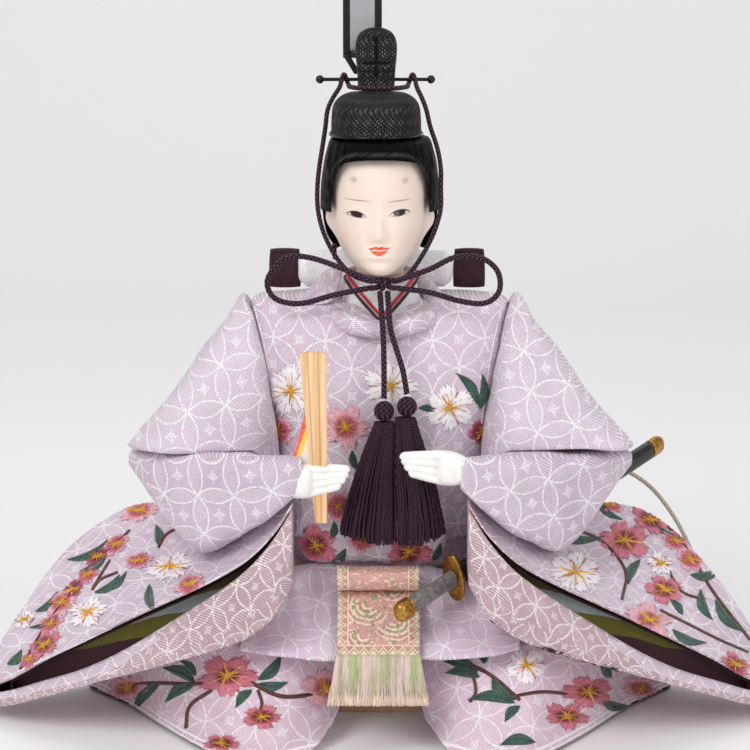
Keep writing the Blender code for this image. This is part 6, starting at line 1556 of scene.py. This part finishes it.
class Stitches:
    """Raised thread work in one colour, collected from many petals, leaves or stems."""

    def __init__(self, name, look):
        self.name, self.look = name, look
        self.verts, self.faces, self.uvs = [], [], []

    def lay(self, tree, spots, heights, uvs):
        """A grid of photograph spots [rows][columns], each laid on the cloth and raised by its height."""
        rows, columns = len(spots), len(spots[0])
        index = {}
        for i in range(rows):
            for j in range(columns):
                origin = Vector(CAMERA_AT)
                hit, normal, _, distance = tree.ray_cast(origin, pixel_ray(*spots[i][j]))
                if hit is None:
                    continue
                if normal.dot(hit - origin) > 0:
                    normal = -normal
                index[i, j] = (len(self.verts), distance, uvs[i][j])
                self.verts.append(hit + normal * heights[i][j])
        for i in range(rows - 1):
            for j in range(columns - 1):
                keys = [(i, j), (i, j + 1), (i + 1, j + 1), (i + 1, j)]
                if not all(k in index for k in keys):
                    continue
                far = [index[k][1] for k in keys]
                if max(far) - min(far) > 0.004:
                    continue
                self.faces.append(tuple(index[k][0] for k in keys))
                self.uvs += [index[k][2] for k in keys]

    def made(self, body="body"):
        if not self.faces:
            return None
        obj = mesh_object(self.name, self.verts, self.faces, self.look, self.uvs)
        shape = bmesh.new()
        shape.from_mesh(obj.data)
        bmesh.ops.recalc_face_normals(shape, faces=shape.faces)
        loose = [v for v in shape.verts if not v.link_faces]
        bmesh.ops.delete(shape, geom=loose, context="VERTS")
        shape.to_mesh(obj.data)
        shape.free()
        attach(obj, body)
        return obj


PX = 0.00033


def petal(work, tree, centre, size, angle, squash, tilt, width=0.62, height=0.5, notch=0.12):
    rows, columns = 9, 15
    spots, heights, uvs = [], [], []
    ragged = [0.10 * math.sin(j * 2.4 + angle * 7) + 0.07 * math.sin(j * 5.1 + centre[0]) for j in range(columns)]
    for i in range(rows):
        r = 0.10 + 0.90 * i / (rows - 1)
        spots.append([])
        heights.append([])
        uvs.append([])
        for j in range(columns):
            t = -1 + 2 * j / (columns - 1)
            swell = width * math.sin(math.pi * min(1.0, 0.16 + 0.62 * r)) ** 0.8
            reach = r * size * (1.04 + ragged[j] * r**4 - (0.26 * t * t + notch * math.exp(-((t / 0.28) ** 2))) * r**2)
            a = angle + t * swell
            x, y = reach * math.cos(a), reach * math.sin(a) * squash
            c, s = math.cos(tilt), math.sin(tilt)
            spots[-1].append((centre[0] + x * c - y * s, centre[1] + x * s + y * c))
            dome = (1 - t * t) ** 0.5 * math.sin(math.pi * min(1, 0.12 + 0.80 * r)) ** 0.5
            heights[-1].append((0.06 + height * dome) * MM)
            uvs[-1].append((r * size * PX, t * size * PX * 0.6))
    work.lay(tree, spots, heights, uvs)


def blossom(petals, stamens, tree, x, y, size, squash=0.85, tilt=0.0, count=5, turn=0.3, spread=1.0, skip=()):
    for k in range(count):
        if k in skip:
            continue
        petal(petals, tree, (x, y), size * (1 + 0.06 * math.sin(k * 2.4 + x)), turn + 2 * math.pi * k / count, squash, tilt,
              width=0.66 * spread * 5 / count)
    rays = 17
    for k in range(rays):
        a = turn + 0.5 + 2 * math.pi * k / rays + 0.25 * math.sin(k * 5 + y)
        reach = size * (0.44 + 0.2 * math.sin(k * 3.7 + x))
        stroke(stamens, tree, [(x, y), (x + reach * 0.6 * math.cos(a), y + reach * 0.6 * math.sin(a) * squash),
                               (x + reach * math.cos(a), y + reach * math.sin(a) * squash)], 0.36 + size * 0.013, 0.75, 0.85)


def pink_tips(work, tree, x, y, size, squash):
    for k in range(15):
        a = 0.2 + 2 * math.pi * k / 15
        near, far = size * 0.5, size * (0.72 + 0.12 * math.sin(k * 3.7))
        route = [(x + r * math.cos(a), y + r * math.sin(a) * squash) for r in (near, (near + far) / 2, far)]
        stroke(work, tree, route, 0.45, 0.7, 0.7, False)


def stroke(work, tree, route, width, start=0.5, end=0.5, taper=True):
    """A stem, stamen or single line of thread along photograph spots; start and end are its heights in mm."""
    line = spline(route, max(4, int(np.linalg.norm(np.diff(np.array(route, float), axis=0), axis=1).sum() / 3)))
    way = np.gradient(line, axis=0)
    way /= np.linalg.norm(way, axis=1)[:, None] + 1e-9
    side = np.stack([-way[:, 1], way[:, 0]], 1)
    spots, heights, uvs = [], [], []
    for k, (spot, out) in enumerate(zip(line, side)):
        share = k / (len(line) - 1)
        wide = width * (1 - 0.35 * share if taper else 1)
        spots.append([tuple(spot + out * wide * t) for t in (-1, -0.5, 0, 0.5, 1)])
        lift = start + (end - start) * share
        heights.append([h * MM for h in (0.05, lift * 0.8, lift, lift * 0.8, 0.05)])
        uvs.append([(k * 3 * PX, t * wide * PX) for t in (-1, -0.5, 0, 0.5, 1)])
    work.lay(tree, spots, heights, uvs)


def leaf(work, tree, start, end, width, bend=0.12):
    a, b = np.array(start, float), np.array(end, float)
    way = b - a
    size = np.linalg.norm(way)
    side = np.array((-way[1], way[0])) / size
    for half in (-1, 1):
        spots, heights, uvs = [], [], []
        for i in range(12):
            share = i / 11
            swell = width * (math.sin(math.pi * share**0.85) ** 0.9 if 0 < share < 1 else 0.02)
            middle = a + way * share + side * bend * size * math.sin(math.pi * share)
            spots.append([tuple(middle + side * half * swell * t) for t in (0.03, 0.35, 0.7, 1.0)])
            heights.append([h * MM for h in (0.28, 0.55, 0.42, 0.06)])
            uvs.append([(t * swell * PX, (share * size + t * swell * 0.8) * PX) for t in (0.03, 0.35, 0.7, 1.0)])
        work.lay(tree, spots, heights, uvs)


# Blossoms: cloth, colour, x, y, size, squash, tilt, petals, turn
BLOSSOMS = [
    ("front", "white", 291, 391, 25, 1.0, 0, 7, 0.2), ("front", "white", 391, 386, 27, 0.9, 0, 7, 0.9),
    ("front", "white", 449, 408, 24, 1.0, 0, 6, 0.5), ("front", "pink", 346, 427, 23, 1.0, 0, 5, 0.1),
    ("front", "pink", 279, 431, 15, 1.0, 0, 5, 0.8), ("front", "deep", 481, 432, 13, 1.0, 0, 5, 0.4),
    ("front", "pink", 338, 506, 16, 1.0, 0, 5, 0.4), ("front", "deep", 308, 478, 13, 1.0, 0, 5, 0.4),
    ("front", "deep", 316, 545, 22, 0.95, 0, 5, 0.7), ("front", "deep", 409, 551, 23, 0.85, 0, 5, 0.2),
    ("front", "pink", 362, 540, 15, 0.9, 0, 5, 0.5),
    ("bag_right", "pink", 140, 511, 20, 0.55, -0.35, 5, 0.5), ("bag_right", "pink", 116, 545, 15, 0.6, -0.6, 5, 0.1),
    ("bag_right", "white", 170, 567, 24, 0.55, -0.3, 6, 0.2), ("bag_right", "pink", 190, 585, 17, 0.6, -0.5, 5, 0.9),
    ("bag_right", "white", 88, 613, 21, 0.65, -0.5, 5, 0.4), ("bag_right", "pink", 62, 603, 19, 0.6, -0.8, 5, 0.9),
    ("bag_right", "deep", 45, 645, 18, 0.6, -0.7, 5, 0.1), ("bag_right", "pink", 88, 575, 13, 0.6, -0.6, 5, 0.6),
    ("bag_right", "white", 25, 620, 12, 0.6, -0.7, 5, 0.6), ("bag_right", "pink", 139, 561, 15, 0.55, -0.3, 5, 0.2),
    ("bag_right", "deep", 98, 557, 13, 0.6, -0.6, 5, 0.7), ("bag_right", "deep", 73, 590, 13, 0.6, -0.7, 5, 0.3),
    ("bag_right", "pink", 51, 624, 15, 0.6, -0.7, 5, 0.5), ("bag_right", "pink", 30, 660, 12, 0.6, -0.7, 5, 0.8),
    ("bag_left", "white", 660, 564, 15, 0.7, 0.4, 5, 0.4), ("bag_left", "pink", 675, 541, 15, 0.7, 0.5, 5, 0.6),
    ("bag_left", "deep", 625, 541, 25, 0.8, 0.25, 5, 0.4), ("bag_left", "white", 575, 573, 28, 0.75, 0.2, 7, 0.1),
    ("bag_left", "pink", 648, 620, 25, 0.6, 0.35, 5, 0.7), ("bag_left", "deep", 664, 590, 20, 0.7, 0.4, 5, 0.2),
    ("bag_left", "deep", 650, 520, 20, 0.65, 0.5, 5, 0.9), ("bag_left", "pink", 690, 560, 16, 0.7, 0.6, 5, 0.3),
    ("bag_left", "deep", 735, 665, 17, 0.6, 0.6, 5, 0.3), ("bag_left", "pink", 610, 505, 14, 0.6, 0.3, 5, 0.3),
    ("knee_right", "deep", 228, 676, 30, 0.72, -0.15, 5, 0.4), ("knee_right", "deep", 262, 717, 20, 0.6, 0, 5, 0.1),
    ("knee_right", "pink", 325, 688, 24, 0.85, 0.1, 5, 0.8), ("knee_right", "pink", 128, 688, 22, 0.6, -0.2, 5, 0.3),
    ("knee_right", "deep", 222, 743, 18, 0.5, 0, 5, 0.3),
    ("knee_left", "white", 526, 666, 21, 0.85, 0, 5, 0.3), ("knee_left", "deep", 588, 692, 26, 0.65, 0.1, 5, 0.5),
    ("knee_left", "deep", 566, 716, 22, 0.6, 0.1, 5, 0.1), ("knee_left", "pink", 640, 688, 19, 0.6, 0.2, 5, 0.1),
    ("knee_left", "white", 640, 720, 14, 0.6, 0.2, 5, 0.1),
]
# Leaves: cloth, start x, start y, end x, end y, width
LEAVES = [
    ("front", 478, 405, 456, 373, 5), ("front", 479, 409, 482, 374, 5),
    ("front", 436, 412, 418, 408, 4), ("front", 352, 450, 360, 472, 4), ("front", 300, 500, 300, 470, 4),
    ("front", 330, 565, 346, 548, 5), ("front", 432, 560, 440, 543, 4), ("front", 384, 566, 362, 572, 4), ("front", 388, 571, 408, 567, 4), ("front", 330, 540, 334, 520, 4),
    ("bag_right", 158, 545, 156, 525, 5), ("bag_right", 150, 585, 155, 613, 5), ("bag_right", 68, 560, 108, 540, 4),
    ("bag_right", 80, 572, 108, 553, 4), ("bag_right", 103, 590, 127, 572, 4), ("bag_right", 36, 612, 58, 592, 4),
    ("bag_right", 8, 665, 22, 650, 5), ("bag_right", 95, 593, 120, 575, 4), ("bag_right", 30, 628, 62, 612, 3),
    ("bag_left", 545, 528, 605, 537, 5), ("bag_left", 545, 524, 598, 512, 4), ("bag_left", 596, 497, 622, 520, 4),
    ("bag_left", 682, 615, 670, 600, 4), ("bag_left", 690, 575, 722, 570, 5), ("bag_left", 700, 590, 712, 620, 5),
    ("bag_left", 715, 600, 745, 632, 5), ("bag_left", 672, 630, 706, 643, 5), ("bag_left", 655, 525, 690, 540, 4),
    ("bag_left", 690, 520, 705, 545, 4), ("bag_left", 640, 560, 628, 585, 5),
    ("knee_right", 195, 682, 163, 668, 6), ("knee_right", 195, 684, 166, 702, 6), ("knee_right", 160, 683, 134, 712, 6),
    ("knee_right", 258, 680, 281, 655, 6), ("knee_right", 258, 684, 288, 682, 5), ("knee_right", 252, 690, 236, 708, 5),
    ("knee_right", 196, 676, 180, 660, 4),
    ("knee_left", 478, 672, 444, 662, 6), ("knee_left", 480, 677, 446, 673, 6), ("knee_left", 485, 664, 478, 648, 5),
    ("knee_left", 492, 678, 516, 700, 7), ("knee_left", 515, 703, 468, 700, 6), ("knee_left", 520, 706, 505, 722, 5),
    ("knee_left", 535, 742, 500, 745, 6), ("knee_left", 610, 678, 600, 666, 5), ("knee_left", 600, 700, 630, 706, 5),
]
# Branches: cloth, width, spots along it
BRANCHES = [
    ("bag_right", 1.4, [(110, 560), (92, 590), (100, 580), (118, 572)]), ("bag_right", 1.5, [(205, 520), (170, 532), (158, 548)]),
    ("bag_right", 1.3, [(130, 530), (95, 565), (50, 620), (20, 670)]),
    ("bag_left", 1.6, [(560, 525), (600, 540), (625, 570), (622, 600)]), ("bag_left", 1.6, [(640, 500), (680, 540), (712, 590), (750, 640)]),
    ("bag_left", 1.4, [(660, 610), (690, 625), (720, 640), (748, 652)]), ("bag_left", 1.4, [(664, 560), (680, 590), (705, 600)]),
    ("knee_right", 2.0, [(130, 684), (160, 683), (195, 684), (215, 680)]), ("knee_right", 2.2, [(250, 682), (280, 696), (312, 695)]),
    ("knee_right", 2.0, [(212, 690), (190, 706), (186, 728)]), ("knee_right", 1.8, [(258, 690), (262, 705), (255, 720)]),
    ("knee_left", 2.0, [(455, 652), (470, 664), (492, 676), (520, 700)]), ("knee_left", 1.8, [(505, 698), (540, 692), (570, 694)]),
    ("knee_left", 1.8, [(470, 664), (476, 690), (470, 702)]), ("knee_left", 1.6, [(600, 700), (640, 712), (680, 700)]),
]


# Seams: cloth, spots along the white thread
SEAMS = [
    ("front", [(254, 306), (264, 345), (272, 395), (278, 444)]), ("front", [(502, 306), (493, 345), (485, 395), (480, 444)]),
    ("bag_right", [(4, 679), (34, 664), (103, 633), (172, 602), (241, 564), (268, 541)]),
    ("bag_left", [(746, 679), (716, 664), (647, 633), (578, 602), (509, 564), (482, 541)]),
]


def embroidery(cloths):
    trees = {key: tree_of(objs) for key, objs in cloths.items()}
    works = {
        "white": Stitches("stitched_white", thread_work("thread_white", (234, 226, 234), (255, 255, 255), relief=0.4)),
        "pink": Stitches("stitched_pink", thread_work("thread_pink", (224, 130, 152), (255, 216, 222), heart=(196, 86, 116))),
        "deep": Stitches("stitched_rose", thread_work("thread_rose", (188, 76, 100), (242, 152, 168), heart=(142, 36, 66))),
        "gold": Stitches("stitched_stamens", thread_work("thread_gold", (196, 128, 24), (252, 206, 84))),
        "leaf": Stitches("stitched_leaves", thread_work("thread_green", (22, 52, 46), (74, 112, 94))),
        "seam": Stitches("stitched_seams", thread_work("thread_seam", (214, 202, 212), (255, 253, 255), 0.0004)),
        "stem": Stitches("stitched_stems", thread_work("thread_brown", (54, 24, 20), (112, 62, 48))),
    }
    for cloth, width, route in BRANCHES:
        stroke(works["stem"], trees[cloth], route, width, 0.5, 0.5, False)
    for cloth, route in SEAMS:
        stroke(works["seam"], trees[cloth], route, 0.9, 0.22, 0.22, False)
    for cloth, ax, ay, bx, by, width in LEAVES:
        leaf(works["leaf"], trees[cloth], (ax, ay), (bx, by), width)
    for cloth, colour, x, y, size, squash, tilt, count, turn in BLOSSOMS:
        blossom(works[colour], works["gold"], trees[cloth], x, y, size, squash, tilt, count, turn)
        if colour == "white":
            pink_tips(works["pink"], trees[cloth], x, y, size, squash)
    for work in works.values():
        work.made()


# ---------------------------------------------------------------- painted face
def painted(name, tree, outline_rows, look, lift=0.00006):
    """A flat painted spot on the face: rows of photograph spots from its upper edge to its lower edge."""
    work = Stitches(name, look)
    rows = [[tuple(p) for p in spline(row, 28)] for row in outline_rows]
    upper, lower = np.array(rows[0]), np.array(rows[-1])
    spots, heights, uvs = [], [], []
    for share in np.linspace(0, 1, 8):
        line = upper + (lower - upper) * share
        spots.append([tuple(p) for p in line])
        heights.append([lift] * len(line))
        uvs.append([(p[0] * PX, p[1] * PX) for p in line])
    work.lay(tree, spots, heights, uvs)
    return work.made("head")


def face_paint(face):
    tree = tree_of([face])
    looks = {}
    for name, low, high, rough in (("lash", (22, 14, 13), (44, 30, 26), 0.3), ("eye_white", (196, 196, 202), (222, 222, 226), 0.3),
                                   ("iris", (34, 18, 14), (64, 38, 26), 0.15), ("lip", (234, 92, 54), (248, 124, 78), 0.3),
                                   ("upper_lip", (206, 62, 40), (228, 84, 54), 0.3), ("lip_light", (255, 236, 224), (255, 246, 238), 0.3),
                                   ("soft_line", (176, 138, 122), (196, 160, 144), 0.4)):
        m = Look("paint_" + name, rough)
        m.colour(m.mix(m.ramp(m.noise(m.place, 1600.0), 0.3, 0.7), linear(low), linear(high)))
        looks[name] = m.made
    for word, eye in EYES.items():
        top, low = spline(eye["top"], 28), spline(eye["low"], 28)
        painted("eye_white_" + word, tree, [top, low], looks["eye_white"], 0.00005)
        left, right = eye["iris"]
        xs = np.linspace(left, right, 15)
        bulge = 0.9 * (1 - ((xs - (left + right) / 2) / ((right - left) / 2)) ** 2) - 0.9
        up = [(x, np.interp(x, top[:, 0], top[:, 1])) for x in xs]
        down = [(x, np.interp(x, low[:, 0], low[:, 1]) + b) for x, b in zip(xs, bulge)]
        painted("iris_" + word, tree, [up, down], looks["iris"], 0.00009)
        weight = np.interp(np.linspace(0, 1, 28), [0, 0.2, 0.5, 0.8, 1], [0.25, 0.8, 1.05, 1.0, 0.3])
        weight = weight[::-1] if word == "right" else weight
        upper = [(p[0], p[1] - w) for p, w in zip(top, weight)]
        lower = [(p[0], p[1] + w * 0.25) for p, w in zip(top, weight)]
        painted("lash_" + word, tree, [upper, lower], looks["lash"], 0.00014)
        painted("lid_line_" + word, tree, [low, [(p[0], p[1] + 0.4) for p in low]], looks["soft_line"], 0.00010)
        crease = spline(eye["crease"], 24)
        thick = 0.42 * np.sin(math.pi * np.linspace(0.08, 0.96, 24)) + 0.08
        painted("crease_" + word, tree, [[(a, b - w) for (a, b), w in zip(crease, thick)],
                                         [(a, b + w) for (a, b), w in zip(crease, thick)]], looks["soft_line"], 0.00005)
    upper = [(368.4, 248.6), (371.5, 248.2), (376, 246.8), (378.6, 247.9), (381.2, 246.8), (386, 247.8), (390.2, 247.6)]
    middle = [(368.4, 249.0), (372, 250.2), (376, 250.0), (378.6, 250.8), (381.4, 250.0), (386, 249.8), (390.2, 248.0)]
    lower = [(370.4, 250.4), (373, 253.4), (376, 255.7), (378.8, 256.5), (381.6, 255.8), (385, 253.6), (387.6, 250.6)]
    painted("upper_lip", tree, [upper, middle], looks["upper_lip"], 0.00008)
    painted("lower_lip", tree, [[(a + (378.8 - a) * 0.1, b + 0.9) for a, b in middle], lower], looks["lip"], 0.00008)
    slit = [(a, b) for a, b in middle[1:-1]]
    painted("lip_parting", tree, [slit, [(a, b + 0.8) for a, b in slit]], looks["lip_light"], 0.00006)


EYES = {
    "right": {"top": [(346.2, 213.2), (350, 212.2), (355, 211.9), (361, 213.4), (366.8, 217.0)],
              "low": [(346.2, 213.5), (350, 215.4), (355, 216.8), (361, 217.9), (366.8, 217.3)], "iris": (351.0, 362.4),
              "crease": [(344, 198.4), (352, 199.6), (360, 200.6), (367, 201.1), (370, 203)]},
    "left": {"top": [(389.2, 215.4), (394, 212.2), (400, 210.4), (406, 210.3), (410.4, 211.4)],
             "low": [(389.2, 215.7), (394, 216.4), (400, 215.9), (406, 213.9), (410.4, 211.7)], "iris": (393.6, 405.0),
             "crease": [(388, 203), (392, 201.6), (400, 200.6), (408, 199.4), (411.6, 198.8)]},
}


# ---------------------------------------------------------------- stage
def stage():
    floor = Look("floor_pale", 0.8)
    cloud = floor.noise(floor.place, 3.0, 2.0)
    floor.colour(floor.mix(cloud, linear((246, 245, 246)), linear((249, 248, 249))))
    nodes, links = floor.made.node_tree.nodes, floor.made.node_tree.links
    out = next(n for n in nodes if n.type == "OUTPUT_MATERIAL")
    shown = out.inputs["Surface"].links[0].from_socket
    clear, side, choice = (nodes.new("ShaderNode" + kind) for kind in ("BsdfTransparent", "NewGeometry", "MixShader"))
    for source, target in ((side.outputs["Backfacing"], choice.inputs[0]), (shown, choice.inputs[1]),
                           (clear.outputs[0], choice.inputs[2]), (choice.outputs[0], out.inputs["Surface"])):
        links.new(source, target)
    wide, back = 2.2, 1.3
    profile = [(-4.0, 0.0), (0.9, 0.0)]
    for a in np.linspace(0, math.pi / 2, 14):
        profile.append((back - 0.4 + 0.4 * math.sin(a), 0.4 - 0.4 * math.cos(a)))
    profile.append((back, 1.9))
    grid = [[(x, y, z) for y, z in profile] for x in (-wide, wide)]
    sweep = skin("floor_and_backdrop", grid, floor.made)
    if sweep.data.polygons[0].normal.z < 0:
        sweep.data.flip_normals()
    world = bpy.data.worlds.new("studio")
    bpy.context.scene.world = world
    world.use_nodes = True
    sky = world.node_tree.nodes["Background"]
    sky.inputs["Color"].default_value = (1.0, 1.0, 1.0, 1)
    sky.inputs["Strength"].default_value = WORLD_LIGHT
    for name, place, size, power, look_at in LAMPS:
        data = bpy.data.lights.new(name, "AREA")
        data.shape, data.size, data.energy = "DISK", size, power
        lamp = bpy.data.objects.new(name, data)
        lamp.location = place
        lamp.rotation_euler = (Vector(look_at) - Vector(place)).to_track_quat("-Z", "Y").to_euler()
        bpy.context.scene.collection.objects.link(lamp)


WORLD_LIGHT = 0.47
LAMPS = [
    ("key", (-0.75, -1.1, 1.15), 0.9, 13.0, (0, 0, 0.12)),
    ("fill", (0.95, -0.9, 0.75), 0.9, 5.0, (0, 0, 0.12)),
    ("top", (0.0, 0.35, 1.5), 0.9, 3.5, (0, 0, 0.1)),
]


# ---------------------------------------------------------------- the doll
def kept(frame, node, look):
    """A rigid piece whose solid already has its full form: it only gets its material."""
    mesh = frame["nodes"][node].data
    mesh.materials.clear()
    mesh.materials.append(look)


def cloth_looks():
    lavender, pale = (215, 194, 213), (255, 252, 255)
    # The lavender brocade is one cloth in copies of different lightness, as painted light: the copies for the bags and
    # chest, the upper sleeves, the lap and the knees have lighter bases than the forearm's copy, for the more light
    # those parts catch; the lap and knee copies are also a little pinker.
    return {
        "damask": damask("damask_lavender_painted_light", (223, 200, 219), pale, 0.0087, 0.9, 0.5),
        "sleeve": damask("damask_sleeve", lavender, pale, 0.0087, 0.9, 0.5, turn=0.62),
        "upper": damask("damask_upper_painted_light", (225, 207, 223), pale, 0.0087, 0.9, 0.5, turn=0.62),
        "low": damask("damask_low_painted_light", (233, 208, 230), pale, 0.0087, 0.9, 0.5, turn=0.62),
        "knee": damask("damask_knee_painted_light", (234, 204, 222), pale, 0.0087, 0.85, 0.45, turn=0.2, hems=((0.0016, 0.0021), (0.0029, 0.0034))),
        "mauve": damask("damask_mauve", (199, 165, 174), (246, 236, 238), 0.0062, 0.95, 0.45, 0.84, 0.25),
        "maroon": plain_cloth("maroon_silk", (34, 9, 17), (66, 24, 36), sheen=0.04),
        "layers": layers_look(),
        # The belt is the lap's lavender as it looks in shade: painted shade in place of the belt's own colour.
        "belt": plain_cloth("belt_lavender_painted_shade", (166, 140, 160), (204, 182, 200), sheen=0.04),
        "white": plain_cloth("white_crepe", (228, 225, 228), (252, 250, 252), 1200.0, 0.3, 0.8, 0.05),
        "red": plain_cloth("red_silk", (170, 20, 30), (222, 44, 50)),
        "brown": plain_cloth("brown_silk", (58, 24, 26), (84, 40, 40)),
        "hem": plain_cloth("hem_lining", (58, 34, 44), (88, 58, 68)),
    }


def main():
    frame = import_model()
    camera()
    # The light colours of the braids are their painted ridge highlights.
    purple = braid_look("cord_purple", (12, 2, 9), (98, 62, 88))
    cream = braid_look("cord_cream", (176, 160, 140), (236, 228, 212), 0.8 * MM)
    strand = braid_look("tassel_purple", (6, 0, 4), (114, 72, 100), 0.42 * MM)
    cords(purple, cream)
    bow_knot(purple)
    for word, side in SIDES:
        tassel(word, side, purple, strand)
    looks = cloth_looks()
    face = head(skin_look())
    hair(hair_look())
    # The gauze's light colour is the ribs' painted highlight.
    gauze = gauze_look("hat_gauze_lacquered", (5, 5, 6), (110, 110, 114))
    lacquer = lacquer_look("hat_lacquer", (6, 6, 7), (14, 14, 15))
    black = lacquer_look("tail_black", (9, 9, 10), (20, 20, 22), 0.4)
    hat(gauze, lacquer, black)
    chest = robe_body(looks["damask"], looks["white"])
    cloths = {}
    for word, side in SIDES:
        top, arm, wide = sleeves(word, side, looks)
        cloths["bag_" + word] = [wide]
        cloths["knee_" + word] = [knee(word, side, looks["knee"], looks["maroon"])]
    cloths["front"] = [chest, waist_fold(looks["damask"])]
    robe_lap(looks["low"])
    back_skirt(looks["damask"])
    round_collar(looks["damask"])
    under_collars(looks["white"], looks["red"], looks["brown"])
    back_roll(looks["white"])
    collar_tabs(looks["maroon"], looks["layers"])
    collar_flap(looks["damask"], looks["white"])
    belt(looks["belt"])
    sash(brocade_look(), fringe_look())
    shell = Look("hand_white", 0.3, coat_weight=0.2)
    shell.colour(shell.mix(shell.ramp(shell.noise(shell.place, 260.0), 0.3, 0.7), linear((240, 238, 236)), linear((248, 246, 243))))
    hand("right", -1, (-30.0, -50.5, 90.0), shell.made, None)
    hand("left", 1, (26.5, -50.5, 94.2), shell.made, None)
    gold = metal_look("sword_gold", (150, 104, 44), (206, 160, 84))
    wrap = plain_cloth("grip_wrap", (84, 78, 78), (140, 134, 132), 700.0, 0.6, 0.55, 0.1)
    sword(gold, wrap, lacquer_look("scabbard_black", (20, 17, 17), (44, 38, 36)))
    grain = ((-0.0190, 0.0155, 0.00016), (-0.0215, 0.043, 0.00016))
    kept(frame, "shaku", wood_look("baton_wood", (222, 176, 126), (246, 210, 166), lines=grain))
    kept(frame, "folded_paper", paper_look())
    kept(frame, "base_board", wood_look("board_wood", (178, 140, 98), (214, 180, 136), (18.0, 200.0, 200.0)))
    kept(frame, "torso_core", straw_look())
    kept(frame, "neck_peg", wood_look("peg_wood", (190, 150, 104), (226, 190, 144)))
    kept(frame, "arm_wire", metal_look("arm_wire_steel", (120, 120, 122), (176, 176, 178), 0.35))
    bpy.context.view_layer.update()
    face_paint(face)
    embroidery(cloths)
    stage()
    scene = bpy.context.scene
    scene.view_settings.view_transform = "Standard"


main()
